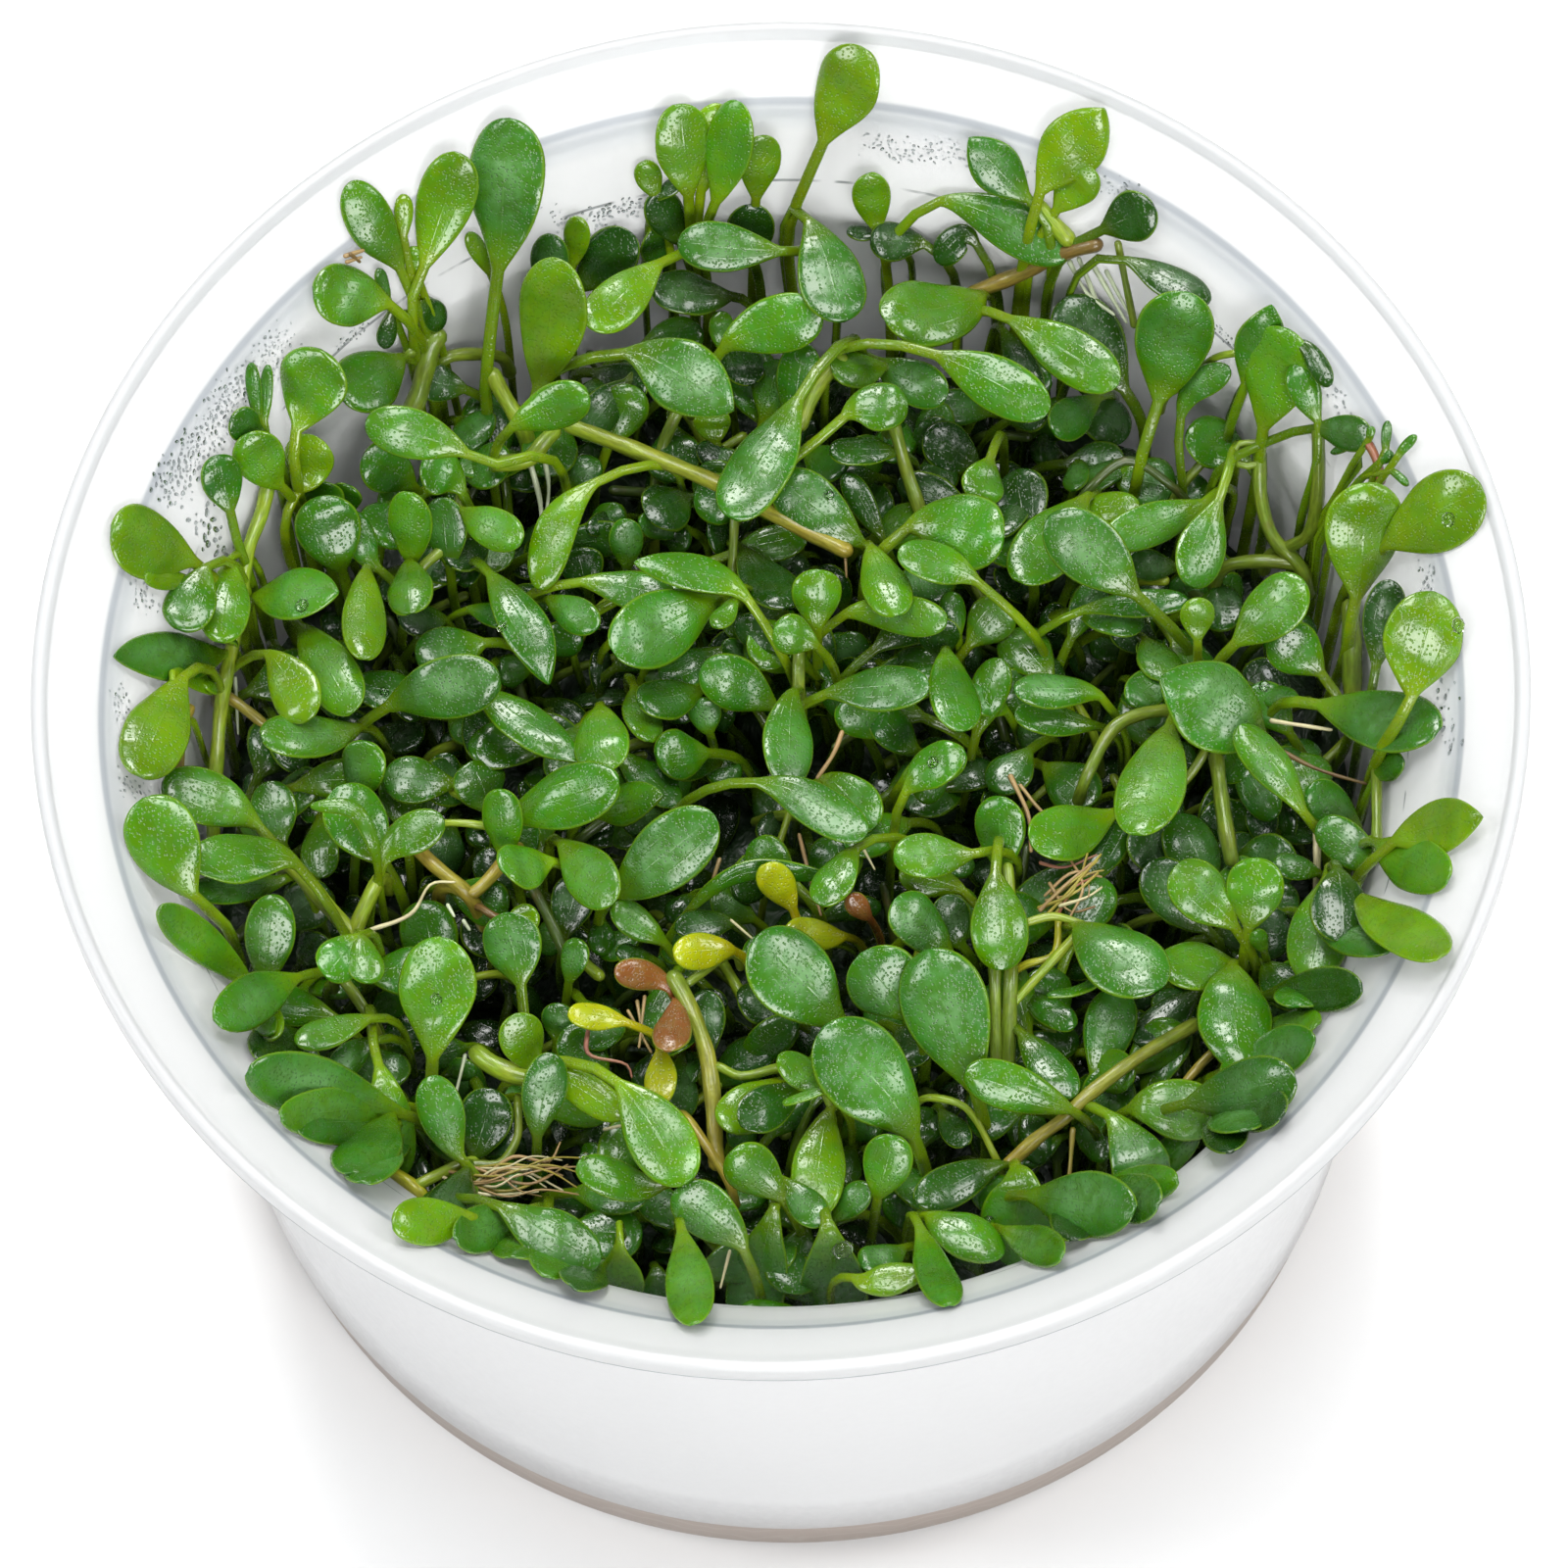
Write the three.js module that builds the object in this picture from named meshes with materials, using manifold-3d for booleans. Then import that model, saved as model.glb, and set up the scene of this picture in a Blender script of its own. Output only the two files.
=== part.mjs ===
// Small creeping aquarium plant (glossostigma) growing in a low, open, frosted
// plastic culture cup.  Units are millimetres, +Z is up, and the origin is the
// centre of the cup's flat base.  -Y is the near side of the cup.
import * as THREE from 'three';
import { mergeVertices } from 'three/addons/utils/BufferGeometryUtils.js';
import Module from 'manifold-3d';

const wasm = await Module();
wasm.setup();

// ---------------------------------------------------------------- dimensions
const SEGMENTS = 40;            // facets round the cup
const BASE_R = 38.65;           // outer radius of the wall at the base
const WALL_SLOPE = 0.058;       // how much the wall widens per mm of height
const WALL_T = 0.8;             // wall thickness
const FLOOR_T = 0.7;            // floor thickness
const SHOULDER_Z = 46.5;        // where the flared lead-in starts
const LEAD_Z = 50.0;            // bend in the lead-in
const LEAD_R = 42.2;
const MOUTH_Z = 55.0;           // inner lip of the flange
const MOUTH_R = 45.7;
const RIM_Z = 58.3;             // top of the cup
const RIM_R = 50.36;            // widest radius, at the flange's skirt
const SKIRT_Z = 56.6;           // lower edge of the skirt
const LABEL_Z0 = 5.0, LABEL_Z1 = 46.0, LABEL_GAP = 0.3, LABEL_T = 0.25;
const GEL_Z0 = 1.05, GEL_Z1 = 9.0;
const MAT_Z0 = 9.35;            // underside of the tangle of stems and leaves
const MAT_TOP = 45.0;           // its level in the middle of the cup
const MAT_SECTORS = 30, MAT_RINGS = 7;
const GAP = 0.35;               // clearance between neighbouring pieces
const BLADE_HALF_T = 0.32;      // half thickness of a leaf blade
const PETIOLE_R = 0.5;          // half thickness of a leaf stalk

// Leaves that stand clear of the mat:
// name, colour group, blade width, blade start along the leaf (0..1), roll in
// degrees, crown of the blade, tip shape, points from the stalk to the tip.
const LEAVES = [
  ['c1', 'y', 4.7, 0.42, 0, 0.25, 'round', [[2.5, 40.2, 49.9], [4.4, 42.5, 54.1], [5.3, 44.0, 55.7], [7.5, 46.9, 59.9]]],
  ['b1', 'p', 5.4, 0.40, 0, 0.25, 'round', [[-19.2, 30.8, 46.1], [-18.4, 34.2, 50.3], [-17.7, 37.0, 53.6], [-16.9, 43.3, 58.7]]],
  ['d18', 'y', 5.3, 0.08, 0, 0.25, 'round', [[41.0, 10.9, 51.8], [42.1, 11.1, 53.5], [47.7, 11.8, 58.6]]],
  ['c8', 'y', 4.3, 0.10, 0, 0.25, 'point', [[19.0, 38.3, 52.4], [19.3, 38.8, 53.1], [23.8, 42.3, 58.2]]],
  ['a1', 'b', 3.4, 0.25, 0, 0.25, 'round', [[-24.0, 34.0, 50.6], [-24.9, 35.5, 53.1], [-26.2, 36.6, 55.4], [-27.9, 39.3, 58.0]]],
  ['l3', 'y', 4.1, 0.25, 0, 0.25, 'round', [[37.3, -10.6, 44.4], [38.9, -15.0, 50.6], [43.0, -22.0, 57.9]]],
  ['a2', 'y', 4.0, 0.22, 0, 0.25, 'round', [[-24.0, 34.0, 50.6], [-23.2, 35.5, 51.9], [-21.9, 38.1, 54.1], [-20.2, 41.1, 57.8]]],
  ['h14', 'y', 3.8, 0.10, 0, 0.25, 'point', [[40.0, -10.9, 50.4], [40.9, -10.6, 51.4], [46.2, -11.8, 57.5]]],
  ['b11', 'g', 3.4, 0.27, 0, 0.25, 'round', [[-3.6, 39.8, 48.6], [-2.9, 40.2, 52.0], [-1.2, 44.5, 57.4]]],
  ['i32', 'y', 3.4, 0.05, 0, 0.3, 'round', [[-21.8, -35.9, 52.8], [-22.8, -36.5, 54.1], [-27.0, -38.1, 57.4]]],
  ['b10', 'y', 3.9, 0.30, 0, 0.25, 'round', [[-4.8, 40.0, 48.6], [-4.8, 40.6, 52.0], [-5.1, 44.7, 57.0]]],
  ['i41', 'b', 3.1, 0.08, 0, 0.25, 'round', [[-8.2, -35.1, 48.6], [-8.1, -36.9, 49.9], [-7.5, -46.0, 57.0]]],
  ['e6', 'y', 5.2, 0.10, 0, 0.25, 'round', [[-38.9, 14.2, 50.4], [-40.0, 14.4, 51.9], [-44.5, 14.1, 56.8]]],
  ['h14b', 'b', 3.7, 0.10, 0, 0.25, 'notch', [[39.5, -9.2, 48.6], [40.2, -10.9, 50.7], [43.8, -15.9, 56.5]]],
  ['o5', 'b', 2.9, 0.08, 0, 0.5, 'round', [[7.5, -35.1, 47.8], [7.9, -37.1, 49.0], [9.4, -45.0, 56.0]]],
  ['c10', 'd', 3.5, 0.35, 0, 0.25, 'round', [[21.6, 35.9, 50.9], [23.2, 36.0, 52.3], [26.8, 36.0, 55.4]]],
  ['b13', 'y', 2.8, 0.20, 0, 0.25, 'round', [[-0.3, 40.3, 49.4], [-0.2, 40.6, 51.1], [0.5, 42.9, 55.3]]],
  ['c7', 'g', 3.5, 0.15, 0, 0.25, 'point', [[19.3, 38.1, 52.1], [18.2, 38.9, 52.5], [14.6, 42.0, 55.3]]],
  ['c23', 'y', 5.4, 0.30, 0, 0.25, 'round', [[25.5, 22.4, 45.2], [26.7, 25.0, 47.8], [28.6, 29.3, 55.3]]],
  ['e25', 'd', 3.1, 0.20, 0, 0.25, 'round', [[-37.3, 11.3, 42.7], [-39.6, 8.5, 48.4], [-44.7, 5.6, 55.3]]],
  ['a3', 'b', 4.4, 0.10, 0, 0.25, 'round', [[-25.2, 33.2, 50.6], [-26.4, 33.4, 51.9], [-30.5, 32.5, 55.0]]],
  ['h12', 'y', 5.3, 0.08, 0, 0.25, 'notch', [[42.2, -0.6, 51.3], [42.5, 0.8, 52.0], [44.2, 6.1, 54.9]]],
  ['d8', 'g', 2.4, 0.60, 0, 0.25, 'round', [[31.6, 20.8, 46.9], [34.4, 21.4, 48.4], [37.0, 20.5, 51.7], [40.7, 18.0, 54.9]]],
  ['b3', 'y', 5.0, 0.10, 0, 0.25, 'round', [[-16.1, 28.4, 45.2], [-15.5, 29.4, 46.9], [-13.9, 34.4, 54.5]]],
  ['h9', 'y', 5.3, 0.15, 0, 0.25, 'round', [[39.0, 8.3, 47.0], [39.4, 9.7, 48.8], [40.4, 14.6, 54.5]]],
  ['d4', 'b', 4.8, 0.15, 0, 0.25, 'round', [[33.5, 21.6, 47.1], [33.8, 22.6, 48.8], [35.5, 26.7, 54.4]]],
  ['h8', 'p', 4.6, 0.18, 0, 0.25, 'round', [[34.5, 3.0, 45.2], [36.7, 1.8, 46.9], [43.9, -3.8, 54.0]]],
  ['i19', 'y', 2.8, 0.10, 0, 0.25, 'round', [[-36.2, -15.9, 44.4], [-36.8, -14.7, 45.7], [-42.1, -12.8, 54.0]]],
  ['i3', 'y', 4.9, 0.06, 0, 0.25, 'round', [[-39.8, -10.2, 49.6], [-40.6, -9.3, 50.7], [-43.1, -4.3, 53.2]]],
  ['e26', 'y', 4.5, 0.10, 0, 0.25, 'round', [[-39.9, 7.4, 48.6], [-40.8, 5.6, 49.7], [-43.3, -2.4, 53.1]]],
  ['a8', 'y', 5.0, 0.10, 0, 0.25, 'round', [[-32.5, 24.5, 48.9], [-31.9, 25.5, 49.4], [-30.4, 29.1, 52.8]]],
  ['a10', 'b', 3.3, 0.42, 0, 0.25, 'round', [[-16.1, 22.1, 49.4], [-19.1, 21.2, 50.3], [-21.7, 21.9, 52.0], [-27.4, 23.4, 53.2]]],
  ['k14', 'p', 6.2, 0.10, 0, 0.25, 'round', [[7.9, -28.9, 45.2], [7.0, -27.7, 47.8], [2.0, -22.5, 51.5]]],
  ['a9', 'b', 4.6, 0.10, 0, 0.25, 'round', [[-24.7, 31.3, 47.2], [-25.6, 30.0, 48.6], [-29.0, 26.4, 51.1]]],
  ['b9', 'p', 3.5, 0.25, 0, 0.25, 'round', [[3.4, 37.3, 48.6], [0.9, 36.8, 49.9], [-5.7, 37.1, 51.1]]],
  ['b18', 'p', 5.1, 0.36, 0, 0.25, 'point', [[-14.0, 30.1, 46.9], [-10.0, 29.6, 49.4], [-7.8, 28.7, 50.3], [-2.4, 24.1, 51.1]]],
  ['i1', 'y', 4.0, 0.34, 0, 0.25, 'round', [[-33.3, -6.4, 45.2], [-36.0, -3.8, 47.8], [-37.5, -3.1, 49.0], [-41.9, -2.1, 51.1]]],
  ['c2', 'p', 4.6, 0.18, 0, 0.25, 'round', [[2.5, 40.1, 49.9], [3.8, 37.6, 50.7], [5.5, 31.0, 50.3]]],
  ['j6', 'p', 4.8, 0.10, 0, 0.25, 'round', [[-12.2, -9.2, 44.4], [-10.6, -9.1, 46.9], [-4.9, -6.2, 50.7]]],
  ['k13', 'p', 5.8, 0.12, 0, 0.25, 'round', [[12.2, -26.0, 45.2], [11.6, -24.7, 47.3], [8.8, -16.9, 50.7]]],
  ['g24', 'p', 4.5, 0.36, 0, 0.25, 'round', [[27.2, 8.8, 44.4], [23.9, 10.9, 48.2], [22.6, 12.0, 49.0], [18.7, 15.2, 50.7]]],
  ['h5', 'p', 6.5, 0.06, 0, 0.25, 'point', [[32.7, 0.6, 44.4], [31.5, 0.7, 46.9], [25.9, 2.9, 50.3]]],
  ['j21', 'p', 5.8, 0.06, 0, 0.25, 'round', [[3.5, -19.8, 45.2], [2.3, -19.3, 46.9], [-2.3, -15.1, 50.3]]],
  ['l9', 'p', 5.1, 0.08, 0, 0.4, 'round', [[19.1, -13.4, 46.1], [20.1, -14.8, 47.8], [24.6, -19.7, 49.4]]],
  ['c6', 'b', 5.2, 0.08, 0, 0.5, 'round', [[15.3, 35.2, 45.2], [14.2, 33.8, 46.9], [8.3, 31.2, 50.3]]],
  ['i7', 'b', 5.3, 0.22, 0, 0.25, 'round', [[-24.6, -22.6, 44.4], [-24.4, -20.7, 46.9], [-23.7, -14.1, 50.3]]],
  ['j1', 'b', 4.4, 0.12, 0, 0.5, 'round', [[-19.1, -3.0, 44.4], [-17.5, -3.4, 46.9], [-11.3, -3.1, 50.3]]],
  ['f10', 'p', 4.9, 0.12, 0, 0.25, 'round', [[-3.4, 12.7, 45.2], [-4.7, 11.8, 46.5], [-11.1, 6.8, 49.9]]],
];

// Bare creeping stems: name, radius, points.
const RUNNERS = [
  ['runner_centre_left', 0.56, [[-14.1, 26.6, 45.2], [-9.1, 24.1, 45.7], [-3.5, 21.1, 45.7], [0.7, 18.5, 45.2], [5.3, 16.1, 44.4]]],
  ['runner_node_bundle', 0.59, [[-19.2, 24.1, 44.4], [-16.5, 24.0, 45.2], [-15.4, 25.3, 45.2], [-14.4, 26.5, 44.8]]],
  ['runner_far_right', 0.53, [[14.2, 35.6, 44.4], [17.7, 35.6, 47.1], [21.4, 35.6, 50.4], [23.0, 35.4, 51.6]]],
  ['runner_left_long', 0.53, [[-34.8, 20.6, 48.4], [-37.1, 13.0, 43.6], [-38.0, 8.9, 42.7], [-38.7, 3.4, 41.9]]],
  ['shoot_near_left', 0.66, [[-21.9, -20.2, 45.2], [-20.3, -21.7, 45.7], [-18.0, -22.7, 45.7], [-14.1, -22.5, 44.8]]],
  ['runner_near_centre', 0.59, [[-8.2, -15.3, 45.7], [-7.0, -18.2, 45.7], [-6.0, -21.5, 44.8], [-5.6, -28.8, 42.7]]],
  ['runner_near_right', 0.49, [[13.6, -29.8, 43.1], [16.0, -28.1, 44.4], [17.7, -27.3, 45.2], [19.1, -26.1, 45.7], [22.8, -23.0, 45.2], [27.3, -20.1, 44.4]]],
  ['stem_right', 0.53, [[29.3, -0.3, 45.2], [29.7, -5.7, 44.8], [30.1, -8.6, 44.0]]],
];

const LEAF_COLOURS = {
  b: 0x5f9a2c, y: 0x86ad1f, g: 0x3f7d2a, d: 0x24521f, p: 0x7fae6a, o: 0xb97d52, Y: 0xc9b83a,
};

// ------------------------------------------------------------------ helpers
const wallOuter = (z) => BASE_R + WALL_SLOPE * z;
const V = (p) => new THREE.Vector3(p[0], p[1], p[2]);
const lerp = (a, b, t) => a + (b - a) * t;

// inner radius of the cup at a height
function innerRadius(z) {
  if (z <= SHOULDER_Z) return wallOuter(z) - WALL_T;
  if (z <= LEAD_Z) return lerp(wallOuter(SHOULDER_Z) - WALL_T, LEAD_R, (z - SHOULDER_Z) / (LEAD_Z - SHOULDER_Z));
  if (z <= MOUTH_Z) return lerp(LEAD_R, MOUTH_R, (z - LEAD_Z) / (MOUTH_Z - LEAD_Z));
  if (z <= RIM_Z + 0.1) return lerp(MOUTH_R, 49.9, (z - MOUTH_Z) / (RIM_Z + 0.1 - MOUTH_Z));
  return 60;
}

function material(colour, roughness, extra = {}) {
  return new THREE.MeshStandardMaterial({ color: colour, roughness, metalness: 0, ...extra });
}

// triangles of a list of rings with the same number of points, closed by a
// point at each end
function ringSolid(rings, first, last) {
  const n = rings[0].length, pos = [], idx = [];
  pos.push(first.x, first.y, first.z);
  for (const ring of rings) for (const p of ring) pos.push(p.x, p.y, p.z);
  pos.push(last.x, last.y, last.z);
  const end = 1 + rings.length * n;
  for (let k = 0; k < n; k++) {
    const j = (k + 1) % n;
    idx.push(0, 1 + j, 1 + k);
    for (let i = 0; i < rings.length - 1; i++) {
      const a = 1 + i * n + k, b = 1 + i * n + j, c = a + n, d = b + n;
      idx.push(a, b, c, b, d, c);
    }
    const t = 1 + (rings.length - 1) * n;
    idx.push(t + k, t + j, end);
  }
  const g = new THREE.BufferGeometry();
  g.setAttribute('position', new THREE.Float32BufferAttribute(pos, 3));
  g.setIndex(idx);
  return outward(g);
}

// flips the triangles of a closed geometry whose faces point inward
function outward(g) {
  const p = g.attributes.position, id = g.index.array;
  let vol = 0;
  const a = new THREE.Vector3(), b = new THREE.Vector3(), c = new THREE.Vector3();
  for (let i = 0; i < id.length; i += 3) {
    a.fromBufferAttribute(p, id[i]); b.fromBufferAttribute(p, id[i + 1]); c.fromBufferAttribute(p, id[i + 2]);
    vol += a.dot(b.cross(c));
  }
  if (vol < 0) for (let i = 0; i < id.length; i += 3) { const t = id[i]; id[i] = id[i + 1]; id[i + 1] = t; }
  return g;
}

function clean(g) {
  const c = g.clone();
  c.deleteAttribute('normal');
  c.deleteAttribute('uv');
  return mergeVertices(c, 1e-4);
}

function solid(g) {
  const c = outward(clean(g));
  return new wasm.Manifold(new wasm.Mesh({
    numProp: 3,
    vertProperties: new Float32Array(c.attributes.position.array),
    triVerts: new Uint32Array(c.index.array),
  }));
}

function geometry(m) {
  const mesh = m.getMesh();
  const g = new THREE.BufferGeometry();
  g.setAttribute('position', new THREE.Float32BufferAttribute(mesh.vertProperties, 3));
  g.setIndex(Array.from(mesh.triVerts));
  return g;
}

// the largest separate body of a solid
function largest(m) {
  return m.decompose().sort((a, b) => b.volume() - a.volume())[0];
}

const group = new THREE.Group();
function add(name, g, mat) {
  g.computeVertexNormals();
  const mesh = new THREE.Mesh(g, mat);
  mesh.name = name;
  group.add(mesh);
}

// --------------------------------------------------------------- the cup
const inner = (z) => wallOuter(z) - WALL_T;
const CUT_Z = SHOULDER_Z;       // the moulding is built as a bowl and a rim, split here
const upright = (g) => g.rotateX(Math.PI / 2);      // lathe axis Y becomes Z
const lathe = (profile) => {
  const pts = profile.map(([r, z]) => new THREE.Vector2(r, z));
  return outward(clean(upright(new THREE.LatheGeometry(pts, SEGMENTS))));
};
const plastic = () => material(0xe9eeee, 0.35, { transparent: true, opacity: 0.45 });
add('cup_bowl', lathe([
  [0, 0], [wallOuter(0) - 0.3, 0], [wallOuter(0.3), 0.3], [wallOuter(CUT_Z - 0.15), CUT_Z - 0.15],
  [inner(CUT_Z - 0.15), CUT_Z - 0.15], [inner(1.4), 1.4], [inner(FLOOR_T) - 0.7, FLOOR_T], [0, FLOOR_T],
]), plastic());
add('cup_rim', lathe([
  [inner(CUT_Z) + 0.02, CUT_Z + 0.15], [wallOuter(CUT_Z) + 0.02, CUT_Z + 0.15], [42.9, 49.6], [46.2, 54.2],
  [49.6, 57.05], [49.6, SKIRT_Z], [RIM_R, SKIRT_Z], [RIM_R, 57.9], [49.9, RIM_Z],
  [49.3, 57.9], [MOUTH_R, MOUTH_Z], [LEAD_R, LEAD_Z], [inner(CUT_Z) + 0.02, CUT_Z + 0.15],
]), plastic());

// the thin white wrap round the wall
const labelProfile = [
  [wallOuter(LABEL_Z0) + LABEL_GAP, LABEL_Z0], [wallOuter(LABEL_Z0) + LABEL_GAP + LABEL_T, LABEL_Z0],
  [wallOuter(LABEL_Z1) + LABEL_GAP + LABEL_T, LABEL_Z1], [wallOuter(LABEL_Z1) + LABEL_GAP, LABEL_Z1],
  [wallOuter(LABEL_Z0) + LABEL_GAP, LABEL_Z0],
].map(([r, z]) => new THREE.Vector2(r, z));
add('label_sleeve', outward(clean(upright(new THREE.LatheGeometry(labelProfile, SEGMENTS)))), material(0xe8eaec, 0.5));

// the disc of gel on the floor of the cup
const gelProfile = [
  [0, GEL_Z0], [inner(GEL_Z0) - 1.1, GEL_Z0], [inner(1.9) - GAP, 1.9], [inner(GEL_Z1) - GAP, GEL_Z1], [0, GEL_Z1],
].map(([r, z]) => new THREE.Vector2(r, z));
add('gel_medium', outward(clean(upright(new THREE.LatheGeometry(gelProfile, SEGMENTS)))), material(0xb0a69c, 0.35));

// --------------------------------------------------------------- leaves
// outline of a leaf: half width along its length, t from 0 to 1
function halfWidth(t, start, width, tip) {
  if (t <= start) return PETIOLE_R;
  const s = (t - start) / (1 - start);
  const rise = Math.pow(Math.sin(Math.min(1, s / 0.58) * Math.PI / 2), 0.85);
  const u = Math.max(0, (s - 0.52) / 0.48);
  const fall = tip === 'point' ? Math.pow(1 - u * u, 0.75) : Math.sqrt(Math.max(0, 1 - Math.pow(u, 2.3)));
  return Math.max(PETIOLE_R, PETIOLE_R + (width / 2 - PETIOLE_R) * rise * fall);
}

// a leaf as a closed solid; grow makes it larger all round
function leafGeometry([, , width, start, roll, crown, tip, points], grow = 0) {
  const pts = points.map(V);
  // the stalk goes on down into the mat, along the wall where the leaf starts
  // on the flared lead-in
  const below = (q, z) => {
    const r = Math.hypot(q.x, q.y);
    const k = Math.min(0.985, (innerRadius(z) - 1.35) / r);
    return new THREE.Vector3(q.x * k, q.y * k, z);
  };
  const stalk = [];
  stalk.push(below(pts[0], Math.min(pts[0].z - 3.2, baseLevel(pts[0].x * 0.96, pts[0].y * 0.96) - 1.6)));
  if (pts[0].z > 48 && Math.hypot(pts[0].x, pts[0].y) > 38.5) stalk.push(below(pts[0], 46));
  const curve = new THREE.CatmullRomCurve3([...stalk, ...pts], false, 'centripetal');
  const total = curve.getLength();
  const lengths = curve.getLengths(200);
  const uAt = (i) => lengths[Math.round(200 * i / (stalk.length + pts.length - 1))] / total;
  const lead = uAt(stalk.length);
  const view = new THREE.Vector3(0, -0.4286, 0.9035);
  const body = [0.02];
  if (stalk.length > 1) body.push(uAt(1));
  if (lead > 0.12) body.push(lead);
  if (start > 0.3) body.push(lead + (1 - lead) * start * 0.5);
  body.push(...[0.03, 0.2, 0.44, 0.68, 0.87, 0.965].map((s) => lead + (1 - lead) * lerp(start, 1, s)));
  const rings = [];
  let first, last;
  body.forEach((t) => {
    const c = curve.getPointAt(Math.min(1, t));
    const tan = curve.getTangentAt(Math.min(1, t));
    const nor = view.clone().addScaledVector(tan, -view.dot(tan));
    if (nor.lengthSq() < 0.02) nor.set(0, 0, 1).addScaledVector(tan, -tan.z);
    nor.normalize().applyAxisAngle(tan, roll * Math.PI / 180);
    const side = tan.clone().cross(nor).normalize();
    const s = Math.max(0, (t - lead) / (1 - lead));
    const hw = halfWidth(s, start, width, tip) + grow;
    const blade = s > start ? Math.min(1, (s - start) / (1 - start) / 0.25) : 0;
    const ht = lerp(PETIOLE_R * 0.9, BLADE_HALF_T, blade) + grow;
    const ring = [];
    for (const [x, y] of [[1, 0], [0.6, 1], [-0.6, 1], [-1, 0], [-0.6, -1], [0.6, -1]]) {
      const drop = -crown * blade * x * x * hw * 0.45;
      ring.push(c.clone().addScaledVector(side, x * hw).addScaledVector(nor, y * ht + drop));
    }
    // keep the whole section inside the cup
    let shift = 0;
    for (const p of ring) shift = Math.max(shift, Math.hypot(p.x, p.y) - (innerRadius(p.z) - 0.5 + grow));
    if (shift > 0) {
      const k = shift / Math.hypot(c.x, c.y);
      ring.forEach((p) => { p.x -= c.x * k; p.y -= c.y * k; });
      c.x -= c.x * k; c.y -= c.y * k;
    }
    rings.push(ring);
    if (!first) first = c.clone().addScaledVector(tan, -0.3 - grow);
    last = c.clone().addScaledVector(tan, Math.max(0.15, (1 - t) * total) + grow);
  });
  const shift = Math.hypot(last.x, last.y) - (innerRadius(last.z) - 0.45 + grow);
  if (shift > 0) { const k = 1 - shift / Math.hypot(last.x, last.y); last.x *= k; last.y *= k; }
  return ringSolid(rings, first, last);
}

const kept = [];                 // {name, solid, fat, colour, roughness}
for (const leaf of LEAVES) {
  let body = solid(leafGeometry(leaf));
  const whole = body.volume();
  for (const other of kept) {
    if (other.fat.intersect(body).volume() > 1e-6) body = largest(body.subtract(other.fat));
    if (!body) break;
  }
  if (!body || body.volume() < 0.72 * whole) continue;
  kept.push({ name: 'leaf_' + leaf[0], solid: body, fat: solid(leafGeometry(leaf, GAP)), colour: LEAF_COLOURS[leaf[1]], leaf });
}

// --------------------------------------------------------------- runners
function tubeGeometry(points, radius) {
  const curve = new THREE.CatmullRomCurve3(points.map(V), false, 'centripetal');
  const shape = new THREE.Shape();
  for (let k = 0; k < 7; k++) {
    const a = k / 7 * 2 * Math.PI;
    if (k === 0) shape.moveTo(radius * Math.cos(a), radius * Math.sin(a));
    else shape.lineTo(radius * Math.cos(a), radius * Math.sin(a));
  }
  shape.closePath();
  const steps = Math.max(4, Math.round(curve.getLength() / 2.6));
  return new THREE.ExtrudeGeometry(shape, { steps, bevelEnabled: false, extrudePath: curve });
}
function lengthened(points, by) {
  const p = points.map(V), n = p.length - 1;
  const a = p[0].clone().add(p[0].clone().sub(p[1]).setLength(by));
  const b = p[n].clone().add(p[n].clone().sub(p[n - 1]).setLength(by));
  return [a, ...p.slice(1, n), b].map((v) => [v.x, v.y, v.z]);
}
for (const [name, radius, points] of RUNNERS) {
  let body = solid(tubeGeometry(points, radius));
  const whole = body.volume();
  for (const other of kept) {
    if (other.fat.intersect(body).volume() > 1e-6) body = largest(body.subtract(other.fat));
    if (!body) break;
  }
  if (!body || body.volume() < 0.5 * whole) continue;
  kept.push({ name, solid: body, fat: solid(tubeGeometry(lengthened(points, GAP), radius + GAP)), colour: 0x9aa040 });
}

// --------------------------------------------------------------- the mat
// level of the mat: nearly flat in the middle, lower along the far wall and a
// little lower along the sides, and always below the blades that lie over it
function baseLevel(x, y) {
  const r = Math.hypot(x, y), a = Math.atan2(y, x);
  const edge = Math.max(0, (r - 29) / 10);
  const far = Math.max(0, Math.sin(a)), sides = Math.abs(Math.cos(a));
  let h = MAT_TOP - edge * edge * (1.2 + 6.2 * far * far + 3.2 * sides * sides);
  h += 0.7 * Math.sin(x * 0.41 + 1.3) * Math.cos(y * 0.37 - 0.6) + 0.45 * Math.sin(x * 0.93 - y * 0.71);
  return h;
}
function matLevel(x, y) {
  let h = baseLevel(x, y);
  for (const k of kept) {
    if (!k.leaf) continue;
    const [, , width, start, , , , points] = k.leaf;
    const curve = k.curve ?? (k.curve = new THREE.CatmullRomCurve3(points.map(V), false, 'centripetal'));
    for (let i = 0; i <= 8; i++) {
      const t = lerp(Math.max(0.25, start), 1, i / 8);
      const p = curve.getPoint(t);
      const d = Math.hypot(p.x - x, p.y - y);
      const reach = width / 2 + 2.2;
      if (d < reach) h = Math.min(h, p.z - 1.5 + Math.max(0, d - width / 2) * 0.5);
    }
  }
  return Math.max(h, 30);
}
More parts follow.
